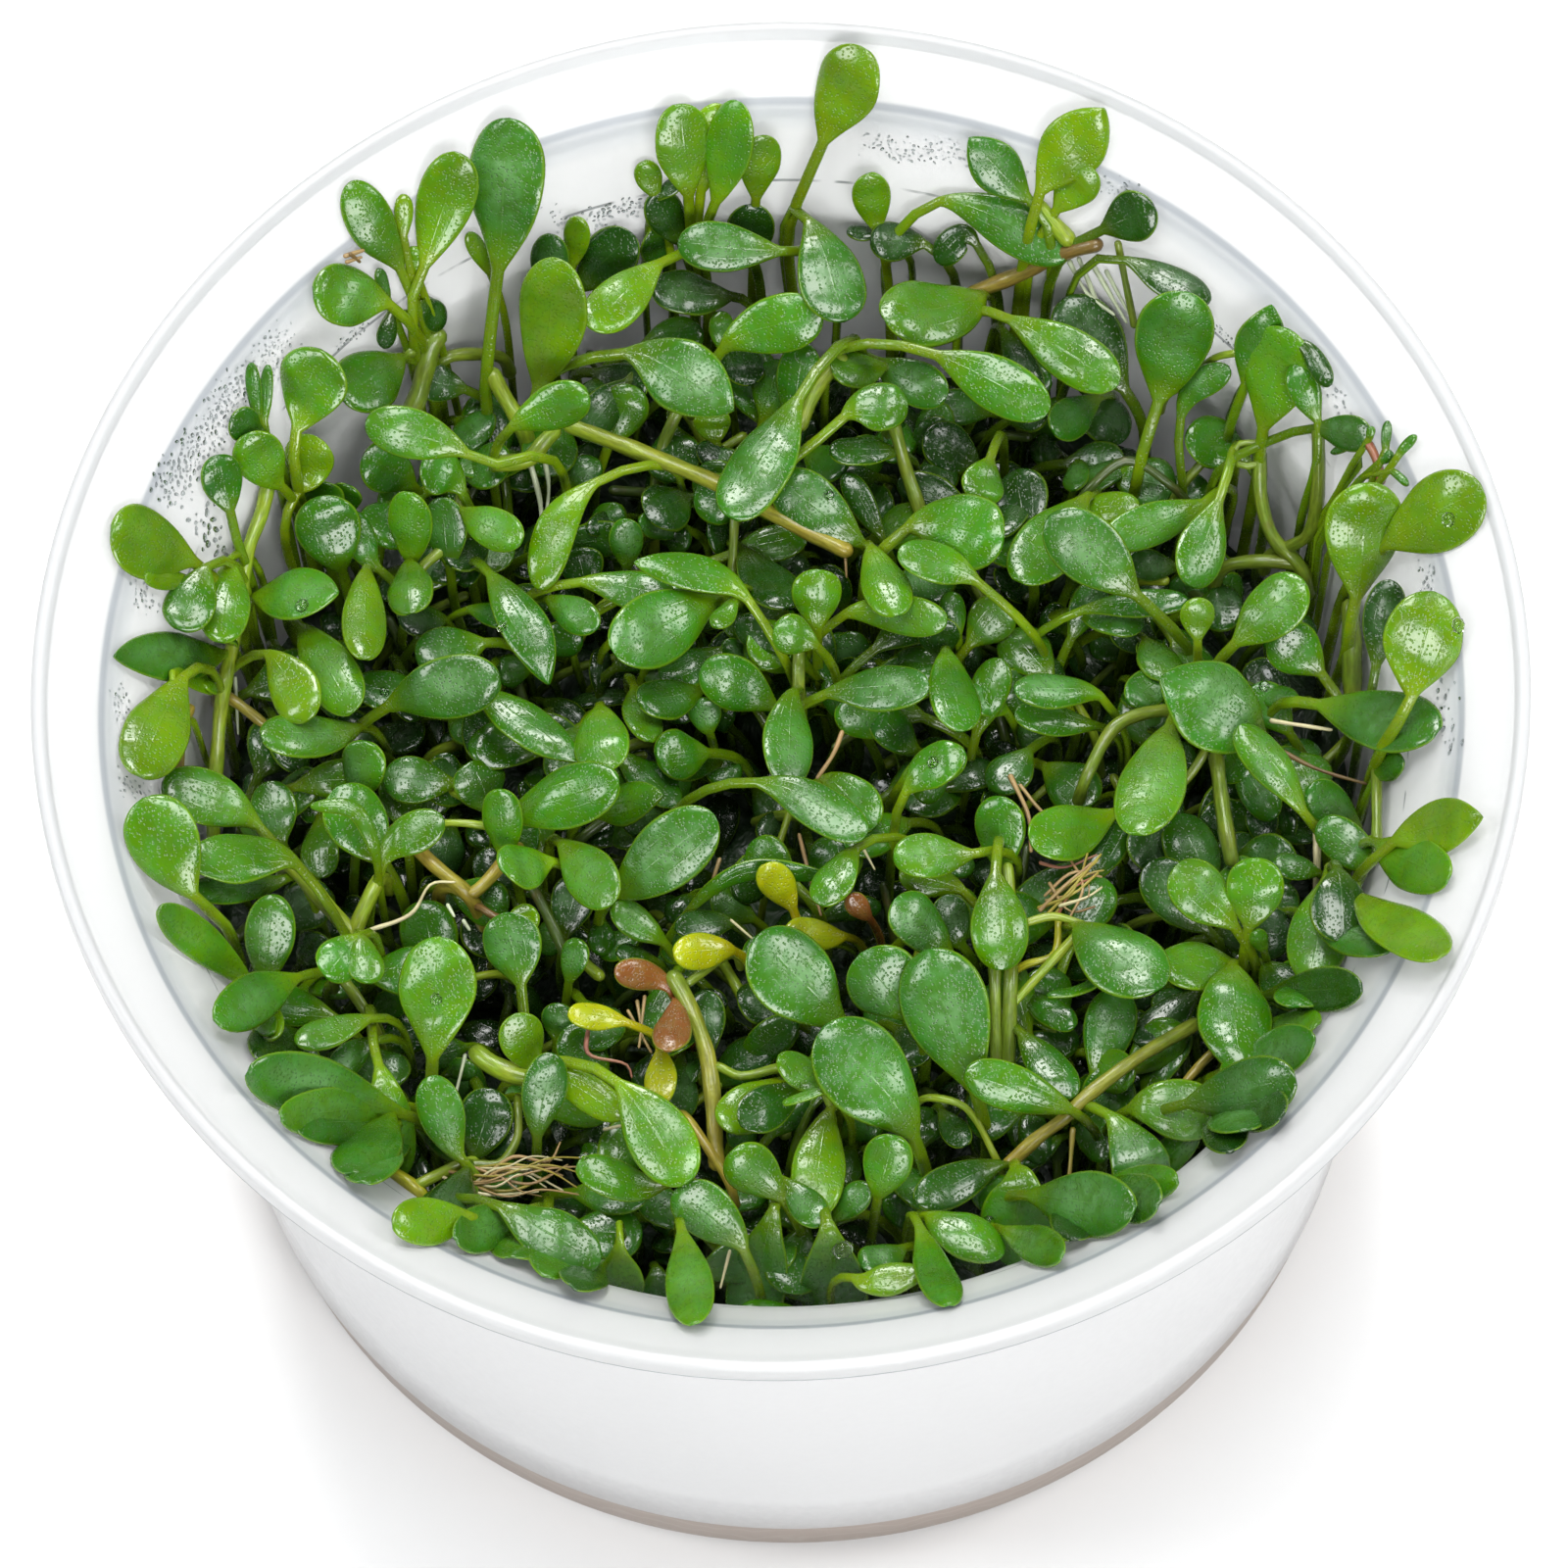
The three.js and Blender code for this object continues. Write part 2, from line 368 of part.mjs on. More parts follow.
function matGeometry() {
  const pos = [], idx = [];
  const bottom = innerRadius(MAT_Z0) - 0.55;
  const level = [];
  // top: centre point, then rings outward
  pos.push(0, 0, matLevel(0, 0));
  for (let i = 1; i <= MAT_RINGS; i++) {
    for (let k = 0; k < MAT_SECTORS; k++) {
      const a = (k + (i % 2) * 0.5) / MAT_SECTORS * 2 * Math.PI;
      const f = i / MAT_RINGS;
      let r = 39.5 * f;
      let h = matLevel(r * Math.cos(a), r * Math.sin(a));
      if (i === MAT_RINGS) r = innerRadius(h) - 0.55;
      pos.push(r * Math.cos(a), r * Math.sin(a), h);
    }
  }
  const at = (i, k) => 1 + (i - 1) * MAT_SECTORS + ((k % MAT_SECTORS) + MAT_SECTORS) % MAT_SECTORS;
  for (let k = 0; k < MAT_SECTORS; k++) idx.push(0, at(1, k), at(1, k + 1));
  for (let i = 1; i < MAT_RINGS; i++) {
    const odd = i % 2;            // this ring is turned by half a sector
    for (let k = 0; k < MAT_SECTORS; k++) {
      const a = at(i, k), b = at(i, k + 1);
      const c = at(i + 1, k), d = at(i + 1, k + 1);
      if (odd) idx.push(a, c, d, a, d, b); else idx.push(a, c, b, b, c, d);
    }
  }
  // underside ring and centre
  const base = pos.length / 3;
  for (let k = 0; k < MAT_SECTORS; k++) {
    const a = (k + (MAT_RINGS % 2) * 0.5) / MAT_SECTORS * 2 * Math.PI;
    pos.push(bottom * Math.cos(a), bottom * Math.sin(a), MAT_Z0);
  }
  pos.push(0, 0, MAT_Z0);
  const centre = pos.length / 3 - 1;
  for (let k = 0; k < MAT_SECTORS; k++) {
    const j = (k + 1) % MAT_SECTORS;
    const a = at(MAT_RINGS, k), b = at(MAT_RINGS, k + 1), c = base + k, d = base + j;
    idx.push(a, c, d, a, d, b);
    idx.push(centre, d, c);
  }
  const g = new THREE.BufferGeometry();
  g.setAttribute('position', new THREE.Float32BufferAttribute(pos, 3));
  g.setIndex(idx);
  return outward(g);
}
let mat = solid(matGeometry());
for (const k of kept) if (k.fat.intersect(mat).volume() > 1e-6) mat = mat.subtract(k.fat);
add('leaf_mat', geometry(largest(mat)), material(0x3f7a2a, 0.6));

for (const k of kept) add(k.name, geometry(k.solid), material(k.colour, 0.42));

export default group;
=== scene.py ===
import math
import random

import bpy
import numpy as np
from mathutils import Matrix, Vector
from mathutils.bvhtree import BVHTree


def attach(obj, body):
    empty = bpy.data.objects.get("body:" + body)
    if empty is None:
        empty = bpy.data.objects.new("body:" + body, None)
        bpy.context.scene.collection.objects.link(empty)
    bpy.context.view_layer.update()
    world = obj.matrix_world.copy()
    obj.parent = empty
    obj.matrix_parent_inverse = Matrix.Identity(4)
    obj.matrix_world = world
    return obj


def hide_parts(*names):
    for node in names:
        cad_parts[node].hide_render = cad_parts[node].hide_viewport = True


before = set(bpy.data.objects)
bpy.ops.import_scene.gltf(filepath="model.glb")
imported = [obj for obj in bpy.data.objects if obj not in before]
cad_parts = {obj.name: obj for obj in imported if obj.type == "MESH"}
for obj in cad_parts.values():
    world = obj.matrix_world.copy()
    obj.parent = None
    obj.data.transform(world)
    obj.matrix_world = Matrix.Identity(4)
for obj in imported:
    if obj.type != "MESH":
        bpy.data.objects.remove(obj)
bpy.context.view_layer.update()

MM = 0.001
rng = np.random.default_rng(7)

# ------------------------------------------------------------------ camera
F_PX = 14787.9
CAM = np.array([-0.04, -422.890, 933.485])            # millimetres
RIGHT = np.array([0.99904822, -0.03940946, -0.01869613])
UP = np.array([0.04361939, 0.90262505, 0.42821183])
BACK = np.array([0.0, -0.42861978, 0.90348496])

cam_data = bpy.data.cameras.new("camera")
cam_data.lens = F_PX * 36 / 1600
cam_data.sensor_width = 36
cam_data.clip_start = 0.05
cam_data.clip_end = 20
cam = bpy.data.objects.new("camera", cam_data)
bpy.context.scene.collection.objects.link(cam)
m = Matrix.Identity(4)
for i in range(3):
    m[i][0], m[i][1], m[i][2], m[i][3] = RIGHT[i], UP[i], BACK[i], CAM[i] * MM
cam.matrix_world = m
bpy.context.scene.camera = cam


def at_height(px, py, z):
    """Point at height z (mm) on the line of sight through a place in the 1600 x 1600 image."""
    d = ((px - 800) / F_PX) * RIGHT - ((py - 800) / F_PX) * UP - BACK
    return CAM + d * ((z - CAM[2]) / d[2])


# ------------------------------------------------------------ cup profile
BASE_R, SLOPE, WALL = 38.65, 0.058, 0.8


def wall_outer(z):
    return BASE_R + SLOPE * z


def inner_r(z):
    """Inner radius of the cup at a height, mm."""
    if z <= 46.5:
        return wall_outer(z) - WALL
    if z <= 50.0:
        return 40.55 + (42.2 - 40.55) * (z - 46.5) / 3.5
    if z <= 55.0:
        return 42.2 + (45.7 - 42.2) * (z - 50) / 5.0
    if z <= 58.4:
        return 45.7 + (49.9 - 45.7) * (z - 55) / 3.4
    return 60.0


def inner_v(z):
    return np.interp(z, (-10.0, 46.5, 50.0, 55.0, 58.4, 58.45), (37.27, 40.55, 42.2, 45.7, 49.9, 60.0))


def on_wall(px, py, zmax=57.5):
    """Where the line of sight meets the inside of the far or side wall."""
    for z in np.arange(zmax, 5, -0.1):
        p = at_height(px, py, z)
        if math.hypot(p[0], p[1]) >= inner_r(z):
            return p
    return None


# ---------------------------------------------------------------- tables
# Leaves: name, colour group, width, blade start, roll, crown, tip, points (mm)
LEAVES = [
    ("a1", "b", 3.35, 0.25, 0, 0.25, "round", ((-24.03, 34.03, 50.60), (-24.95, 35.50, 53.12), (-26.16, 36.64, 55.39), (-27.85, 39.29, 58.00))),
    ("a2", "y", 4.03, 0.22, 0, 0.25, "round", ((-24.03, 34.03, 50.60), (-23.19, 35.45, 51.87), (-21.95, 38.11, 54.06), (-20.24, 41.12, 57.84))),
    ("a3", "b", 4.42, 0.10, 0, 0.25, "round", ((-25.19, 33.18, 50.60), (-26.41, 33.35, 51.86), (-30.51, 32.51, 55.05))),
    ("a4", "d", 2.15, 0.10, 0, 0.25, "round", ((-23.55, 34.31, 50.60), (-22.82, 33.74, 49.01), (-21.88, 33.41, 47.49))),
    ("a6", "d", 1.34, 0.10, 0, 0.25, "round", ((-25.32, 33.14, 50.85), (-25.78, 32.05, 50.08), (-26.06, 31.08, 48.90))),
    ("a8", "b", 4.96, 0.10, 0, 0.25, "round", ((-32.48, 24.46, 48.90), (-31.90, 25.52, 49.42), (-30.43, 29.15, 52.80))),
    ("a9", "b", 4.57, 0.10, 0, 0.25, "round", ((-24.72, 31.29, 47.17), (-25.64, 30.00, 48.60), (-28.98, 26.40, 51.12))),
    ("a10", "b", 3.34, 0.42, 0, 0.25, "round", ((-16.11, 22.12, 49.44), (-19.12, 21.17, 50.28), (-21.71, 21.87, 51.96), (-27.42, 23.39, 53.22))),
    ("a11a", "g", 1.07, 0.15, 0, 0.25, "round", ((-34.53, 24.03, 51.15), (-34.84, 24.94, 52.35), (-35.06, 27.40, 54.89))),
    ("a11b", "g", 0.94, 0.15, 0, 0.25, "round", ((-34.39, 24.02, 51.15), (-34.23, 25.66, 52.35), (-33.96, 27.71, 53.89))),
    ("a12", "g", 2.40, 0.10, 0, 0.25, "round", ((-34.30, 23.37, 50.65), (-34.91, 23.83, 51.58), (-36.48, 23.83, 53.51))),
    ("a13", "d", 2.70, 0.15, 0, 0.25, "round", ((-20.34, 30.83, 42.30), (-21.65, 30.92, 43.14), (-24.17, 31.01, 44.40))),
    ("e28", "g", 3.64, 0.10, 0, 0.25, "round", ((-24.42, 23.68, 41.88), (-25.48, 24.02, 43.56), (-27.80, 24.51, 45.66))),
    ("e29", "g", 3.49, 0.10, 0, 0.25, "round", ((-21.07, 21.66, 44.40), (-21.75, 22.62, 45.24), (-23.74, 23.38, 46.92))),
    ("e13", "g", 2.29, 0.10, 0, 0.25, "round", ((-29.42, 22.23, 41.04), (-29.33, 22.60, 42.72), (-29.04, 22.95, 44.40))),
    ("e14", "y", 3.49, 0.12, 0, 0.25, "round", ((-32.75, 22.07, 44.72), (-31.90, 23.29, 44.90), (-31.32, 25.18, 47.67))),
    ("e3a", "b", 3.48, 0.12, 0, 0.25, "round", ((-33.20, 21.64, 46.81), (-33.93, 21.72, 48.24), (-35.58, 23.35, 51.85))),
    ("e3b", "g", 2.94, 0.30, 0, 0.25, "round", ((-36.67, 17.42, 48.88), (-36.92, 18.51, 50.15), (-37.57, 21.41, 52.94))),
    ("e6", "y", 5.18, 0.10, 0, 0.25, "round", ((-38.94, 14.17, 50.40), (-40.05, 14.37, 51.92), (-44.55, 14.10, 56.80))),
    ("e7", "y", 1.60, 0.25, 0, 0.25, "round", ((-38.71, 13.71, 49.81), (-39.99, 12.96, 51.15), (-42.62, 11.78, 54.42))),
    ("e8", "b", 3.60, 0.10, 0, 0.25, "round", ((-38.36, 14.84, 49.74), (-38.96, 13.54, 50.17), (-40.49, 9.55, 50.60))),
    ("e9", "b", 3.47, 0.10, 0, 0.25, "round", ((-37.26, 16.07, 48.50), (-37.14, 14.39, 49.02), (-37.85, 8.48, 50.70))),
    ("e10", "b", 4.15, 0.10, 0, 0.25, "point", ((-35.94, 15.00, 43.56), (-34.59, 14.48, 45.24), (-29.88, 13.39, 47.76))),
    ("e11", "g", 4.56, 0.10, 0, 0.25, "round", ((-29.61, 17.13, 42.72), (-29.86, 17.28, 44.40), (-30.97, 20.46, 47.76))),
    ("e12", "g", 4.04, 0.10, 0, 0.25, "round", ((-30.93, 21.02, 41.04), (-31.18, 21.33, 42.72), (-31.49, 22.95, 45.24))),
    ("e15", "g", 2.28, 0.20, 0, 0.25, "round", ((-26.40, 16.59, 42.72), (-27.66, 17.38, 43.98), (-28.87, 20.57, 45.24))),
    ("e16", "b", 3.08, 0.10, 0, 0.5, "round", ((-24.90, 17.42, 42.72), (-24.89, 17.57, 44.40), (-24.84, 20.12, 48.60))),
    ("e17", "g", 2.96, 0.12, 0, 0.25, "round", ((-22.27, 17.60, 41.04), (-22.34, 18.10, 42.30), (-22.66, 21.31, 45.24))),
    ("e18", "b", 3.21, 0.10, 0, 0.6, "round", ((-24.99, 17.46, 43.56), (-25.04, 15.74, 45.24), (-25.01, 11.93, 46.92))),
    ("e19", "d", 3.09, 0.10, 0, 0.25, "round", ((-22.43, 14.30, 39.36), (-23.06, 14.52, 40.20), (-25.81, 13.42, 42.72))),
    ("e20", "y", 3.07, 0.08, 0, 0.6, "round", ((-27.94, 16.59, 44.40), (-27.97, 14.87, 46.08), (-28.12, 7.70, 48.60))),
    ("e21", "b", 3.74, 0.15, 0, 0.25, "round", ((-33.06, 13.78, 42.72), (-31.82, 10.98, 44.82), (-29.08, 4.64, 46.92))),
    ("e22", "y", 3.47, 0.45, 0, 0.25, "round", ((-37.44, 10.11, 42.72), (-34.83, 9.21, 46.92), (-33.51, 7.04, 47.76), (-32.11, 3.51, 48.18))),
    ("e23", "b", 3.46, 0.10, 0, 0.5, "round", ((-28.42, 4.96, 43.56), (-29.71, 3.92, 45.24), (-35.18, 2.28, 48.60))),
    ("e24", "p", 4.13, 0.30, 0, 0.25, "round", ((-29.40, 4.96, 42.72), (-26.09, 5.56, 46.08), (-24.36, 5.26, 47.76), (-18.97, 5.37, 49.44))),
    ("e25", "g", 3.59, 0.15, 0, 0.25, "point", ((-37.28, 11.29, 42.72), (-39.57, 8.50, 48.40), (-44.68, 5.57, 55.26))),
    ("e25b", "g", 2.28, 0.10, 0, 0.25, "round", ((-37.36, 12.52, 42.20), (-37.53, 12.22, 43.46), (-37.92, 11.37, 45.56))),
    ("e25c", "y", 2.00, 0.10, 0, 0.25, "round", ((-41.35, 5.91, 50.88), (-38.69, 8.18, 44.72), (-38.96, 7.32, 46.40))),
    ("e26", "y", 4.51, 0.10, 0, 0.25, "round", ((-39.85, 7.36, 48.65), (-40.76, 5.58, 49.67), (-43.32, -2.42, 53.12))),
    ("e38", "g", 3.08, 0.10, 0, 0.25, "round", ((-23.26, 7.96, 40.20), (-24.54, 8.16, 41.46), (-29.01, 8.10, 43.56))),
    ("e31", "b", 2.81, 0.12, 0, 0.25, "round", ((-21.37, 20.77, 44.40), (-20.34, 19.13, 46.08), (-17.22, 16.50, 47.76))),
    ("e32", "d", 2.83, 0.10, 0, 0.25, "round", ((-19.51, 20.51, 40.20), (-20.18, 19.75, 41.04), (-22.34, 17.52, 42.72))),
    ("f6", "g", 3.34, 0.20, 0, 0.25, "point", ((-20.30, 17.08, 43.56), (-18.70, 13.67, 46.08), (-16.80, 9.60, 46.92), (-15.71, 5.99, 46.92))),
    ("e37", "b", 3.20, 0.10, 0, 0.25, "round", ((-29.42, 0.40, 41.88), (-28.87, 0.69, 43.56), (-28.31, 2.64, 46.08))),
    ("b1", "p", 5.37, 0.40, 0, 0.25, "round", ((-19.18, 30.75, 46.08), (-18.38, 34.23, 50.28), (-17.70, 36.99, 53.64), (-16.92, 43.31, 58.68))),
    ("b1b", "y", 1.35, 0.20, 0, 0.25, "round", ((-18.39, 35.85, 48.60), (-18.98, 36.73, 50.19), (-20.01, 37.87, 52.46))),
    ("b3", "y", 4.97, 0.10, 0, 0.25, "round", ((-16.05, 28.37, 45.24), (-15.49, 29.38, 46.92), (-13.87, 34.40, 54.48))),
    ("b4", "y", 3.63, 0.25, 0, 0.25, "round", ((-5.19, 38.07, 47.76), (-6.89, 36.74, 49.02), (-11.94, 30.91, 51.12))),
    ("b5", "d", 3.78, 0.10, 0, 0.25, "round", ((-12.77, 37.34, 43.72), (-12.03, 37.58, 45.40), (-8.84, 39.18, 48.60))),
    ("b6", "y", 1.89, 0.15, 0, 0.25, "round", ((-13.21, 37.37, 46.65), (-12.88, 38.06, 47.92), (-12.46, 39.41, 51.12))),
    ("b7", "p", 2.70, 0.10, 0, 0.25, "round", ((-14.77, 36.62, 45.31), (-14.71, 36.88, 46.99), (-14.41, 38.67, 50.10))),
    ("b8", "d", 3.38, 0.12, 0, 0.25, "round", ((-1.82, 36.22, 44.40), (-2.96, 35.70, 45.66), (-7.58, 35.45, 47.76))),
    ("b9", "p", 3.50, 0.25, 0, 0.25, "round", ((3.44, 37.28, 48.60), (0.88, 36.83, 49.86), (-5.68, 37.10, 51.12))),
    ("b10", "y", 3.90, 0.30, 0, 0.25, "round", ((-4.82, 40.05, 48.60), (-4.85, 40.65, 51.96), (-5.12, 44.68, 57.00))),
    ("b11", "b", 3.36, 0.27, 0, 0.25, "round", ((-3.61, 39.84, 48.60), (-2.85, 40.17, 51.96), (-1.22, 44.50, 57.42))),
    ("b12", "y", 3.37, 0.30, 0, 0.25, "round", ((-4.29, 40.09, 48.18), (-3.90, 41.42, 51.12), (-2.37, 45.00, 56.16))),
    ("b13", "y", 2.83, 0.20, 0, 0.25, "round", ((-0.34, 40.30, 49.44), (-0.16, 40.63, 51.12), (0.49, 42.87, 55.32))),
    ("b14", "y", 1.89, 0.15, 0, 0.25, "round", ((-6.91, 40.81, 50.26), (-7.15, 41.18, 51.02), (-7.86, 42.55, 52.96))),
    ("b14b", "d", 1.21, 0.15, 0, 0.25, "round", ((-7.18, 40.82, 50.26), (-6.68, 41.09, 50.85), (-5.36, 41.82, 51.37))),
    ("b15", "d", 2.83, 0.15, 0, 0.25, "round", ((-5.32, 39.18, 46.08), (-5.81, 39.56, 47.59), (-7.15, 40.98, 51.12))),
    ("b16", "d", 2.57, 0.15, 0, 0.25, "round", ((-6.61, 38.90, 43.81), (-6.91, 38.85, 45.40), (-7.27, 39.66, 48.42))),
    ("b17", "d", 3.38, 0.15, 0, 0.25, "round", ((-0.38, 38.28, 44.40), (-0.61, 38.41, 46.08), (-0.66, 40.18, 50.28))),
    ("b18", "p", 5.10, 0.36, 0, 0.25, "point", ((-13.98, 30.14, 46.92), (-10.02, 29.64, 49.44), (-7.81, 28.72, 50.28), (-2.40, 24.12, 51.12))),
    ("b19", "b", 3.90, 0.10, 0, 0.25, "round", ((-3.34, 30.80, 46.08), (-1.93, 31.31, 47.76), (3.92, 31.83, 49.86))),
    ("b20", "d", 3.11, 0.10, 0, 0.25, "round", ((-2.76, 34.37, 41.88), (-2.11, 33.14, 42.72), (-0.99, 30.00, 43.56))),
    ("f1", "b", 3.08, 0.05, 0, 0.6, "round", ((-17.73, 24.65, 48.60), (-16.89, 24.78, 49.44), (-12.24, 25.38, 51.96))),
    ("b22", "g", 3.10, 0.10, 0, 0.25, "round", ((1.02, 26.12, 43.56), (1.62, 27.18, 44.40), (2.63, 31.14, 46.92))),
    ("f16", "p", 4.56, 0.34, 0, 0.25, "round", ((5.31, 30.15, 48.60), (3.76, 28.35, 49.02), (1.90, 25.43, 49.02), (-2.91, 16.63, 49.86))),
    ("b25", "b", 1.76, 0.10, 0, 0.25, "round", ((-2.80, 32.64, 42.72), (-2.90, 33.13, 43.56), (-3.01, 34.70, 45.24))),
    ("f39", "d", 3.11, 0.10, 0, 0.25, "round", ((-12.34, 33.03, 40.20), (-10.99, 32.15, 41.04), (-8.66, 29.67, 42.72))),
    ("c1", "y", 4.70, 0.42, 0, 0.25, "round", ((2.50, 40.25, 49.86), (4.42, 42.51, 54.06), (5.31, 44.00, 55.74), (7.51, 46.86, 59.86))),
    ("c2", "p", 4.57, 0.18, 0, 0.25, "round", ((2.50, 40.10, 49.86), (3.76, 37.62, 50.70), (5.50, 31.01, 50.28))),
    ("c3", "y", 2.70, 0.20, 0, 0.25, "round", ((8.33, 38.45, 46.92), (8.04, 39.18, 48.18), (7.57, 41.11, 52.38))),
    ("c4", "d", 2.83, 0.10, 0, 0.5, "round", ((11.69, 38.05, 47.08), (10.89, 38.31, 47.25), (7.59, 37.99, 48.60))),
    ("c5", "d", 1.22, 0.10, 0, 0.25, "round", ((8.70, 39.05, 47.49), (7.55, 39.19, 47.33), (5.94, 39.20, 47.76))),
    ("c6", "b", 5.25, 0.08, 0, 0.5, "round", ((15.27, 35.18, 45.24), (14.20, 33.75, 46.92), (8.27, 31.25, 50.28))),
    ("c7", "g", 3.49, 0.15, 0, 0.25, "point", ((19.28, 38.08, 52.12), (18.17, 38.87, 52.46), (14.56, 42.02, 55.32))),
    ("c8", "y", 4.30, 0.10, 0, 0.25, "point", ((19.02, 38.27, 52.37), (19.31, 38.84, 53.13), (23.78, 42.26, 58.16))),
    ("c9", "y", 2.95, 0.15, 0, 0.25, "round", ((19.92, 37.43, 51.86), (20.47, 37.81, 52.53), (22.76, 39.14, 55.55))),
    ("c10", "d", 3.49, 0.35, 0, 0.25, "round", ((21.59, 35.86, 50.94), (23.21, 35.99, 52.28), (26.83, 36.00, 55.38))),
    ("c11", "p", 3.50, 0.25, 0, 0.25, "round", ((10.00, 39.26, 48.42), (12.34, 39.72, 50.52), (15.13, 38.85, 50.61), (20.89, 35.33, 49.69))),
    ("c12", "d", 2.29, 0.15, 0, 0.25, "round", ((15.17, 37.16, 47.58), (14.07, 38.06, 48.59), (11.98, 36.90, 46.92))),
    ("c15", "b", 3.77, 0.25, 0, 0.25, "round", ((14.73, 33.55, 46.08), (17.14, 31.66, 47.76), (23.92, 25.64, 49.44))),
    ("c16", "d", 4.72, 0.12, 0, 0.25, "round", ((25.04, 27.64, 42.72), (24.40, 28.38, 43.56), (20.61, 33.84, 46.58))),
    ("c17", "b", 3.76, 0.42, 0, 0.25, "round", ((5.97, 29.96, 48.60), (8.98, 29.17, 49.86), (11.95, 27.91, 50.28), (19.13, 23.77, 49.44))),
    ("c18", "b", 3.23, 0.10, 0, 0.6, "round", ((8.29, 30.26, 44.40), (7.74, 29.93, 45.24), (4.57, 28.80, 47.76))),
    ("c19", "p", 3.10, 0.10, 0, 0.25, "round", ((7.31, 31.49, 43.56), (8.28, 30.18, 44.40), (12.22, 27.37, 45.24))),
    ("c20", "b", 3.49, 0.52, 0, 0.6, "round", ((1.32, 22.01, 46.92), (4.37, 23.85, 48.18), (5.90, 24.78, 49.02), (9.53, 24.84, 49.44))),
    ("c21", "d", 2.16, 0.10, 0, 0.25, "round", ((16.34, 33.76, 42.72), (16.81, 32.16, 43.56), (18.63, 27.69, 43.98))),
    ("g28", "g", 2.83, 0.10, 0, 0.5, "round", ((23.07, 28.69, 41.88), (22.57, 28.13, 42.30), (19.51, 24.79, 44.40))),
    ("c23", "b", 5.36, 0.30, 0, 0.25, "round", ((25.51, 22.42, 45.24), (26.71, 25.00, 47.76), (28.63, 29.31, 55.32))),
    ("d1", "d", 2.68, 0.20, 0, 0.25, "round", ((23.55, 34.62, 51.10), (25.12, 33.90, 51.61), (30.43, 30.14, 52.38))),
    ("d4", "b", 4.82, 0.15, 0, 0.25, "round", ((33.52, 21.63, 47.08), (33.82, 22.64, 48.76), (35.45, 26.68, 54.39))),
    ("d5", "g", 3.34, 0.10, 0, 0.25, "point", ((32.45, 24.73, 49.22), (32.95, 25.44, 50.73), (34.59, 28.20, 55.02))),
    ("d6", "d", 1.47, 0.10, 0, 0.25, "round", ((35.80, 25.76, 54.24), (36.69, 25.15, 54.76), (38.21, 22.29, 54.36))),
    ("d7", "g", 2.27, 0.15, 0, 0.25, "round", ((37.52, 20.05, 52.06), (37.05, 21.39, 52.40), (35.88, 24.63, 53.51))),
    ("d8", "g", 2.40, 0.60, 0, 0.25, "round", ((31.60, 20.83, 46.92), (34.43, 21.43, 48.43), (37.01, 20.48, 51.69), (40.69, 18.03, 54.87))),
    ("d12", "g", 3.63, 0.12, 0, 0.25, "round", ((33.14, 21.46, 43.72), (32.19, 22.50, 43.98), (28.66, 23.50, 46.08))),
    ("d13", "g", 2.15, 0.50, 0, 0.25, "round", ((28.20, 20.84, 42.72), (28.05, 23.53, 46.08), (28.94, 25.43, 48.18), (31.65, 26.21, 49.94))),
    ("h1", "b", 3.34, 0.38, 0, 0.25, "round", ((31.62, 21.28, 46.92), (30.79, 18.26, 47.34), (30.18, 16.79, 47.34), (28.21, 11.07, 47.34))),
    ("g26", "b", 2.95, 0.20, 0, 0.25, "round", ((30.72, 20.15, 43.56), (29.29, 18.67, 44.40), (22.61, 15.39, 46.08))),
    ("h9", "y", 5.32, 0.15, 0, 0.25, "round", ((38.95, 8.34, 46.99), (39.39, 9.68, 48.76), (40.37, 14.59, 54.48))),
    ("d18", "y", 5.30, 0.08, 0, 0.25, "round", ((41.01, 10.91, 51.83), (42.11, 11.06, 53.51), (47.67, 11.79, 58.64))),
    ("h2", "b", 4.13, 0.25, 0, 0.25, "round", ((29.87, 6.63, 44.40), (31.36, 7.31, 46.50), (35.81, 10.11, 49.44))),
    ("h3", "b", 3.60, 0.30, 0, 0.25, "round", ((37.83, 4.12, 43.56), (36.70, 5.63, 44.40), (33.73, 7.92, 46.08))),
    ("h4", "y", 2.40, 0.40, 0, 0.25, "round", ((28.42, 5.88, 46.08), (28.44, 6.62, 47.76), (28.53, 8.65, 50.28))),
    ("h5", "p", 6.51, 0.06, 0, 0.25, "point", ((32.69, 0.64, 44.40), (31.47, 0.74, 46.92), (25.85, 2.94, 50.28))),
    ("h6", "b", 2.91, 0.30, 0, 0.8, "round", ((36.40, -7.05, 44.40), (35.07, -6.34, 46.92), (33.70, -4.36, 48.60), (30.82, -0.98, 50.28))),
    ("h7", "g", 1.74, 0.05, 0, 0.6, "round", ((32.05, 5.66, 41.88), (32.61, 5.08, 42.72), (35.05, 3.56, 44.40))),
    ("h8", "p", 4.64, 0.18, 0, 0.25, "round", ((34.54, 3.03, 45.24), (36.72, 1.82, 46.92), (43.89, -3.78, 54.03))),
    ("h11", "d", 2.92, 0.15, 0, 0.25, "round", ((40.22, 2.91, 48.13), (40.41, 4.13, 48.64), (41.55, 8.74, 51.67))),
    ("h12", "y", 5.29, 0.08, 0, 0.25, "notch", ((42.21, -0.57, 51.33), (42.54, 0.78, 52.01), (44.25, 6.06, 54.89))),
    ("h14", "y", 3.81, 0.10, 0, 0.25, "point", ((40.05, -10.86, 50.42), (40.91, -10.57, 51.43), (46.22, -11.85, 57.46))),
    ("h14b", "b", 3.68, 0.10, 0, 0.25, "notch", ((39.52, -9.24, 48.58), (40.18, -10.91, 50.67), (43.77, -15.93, 56.53))),
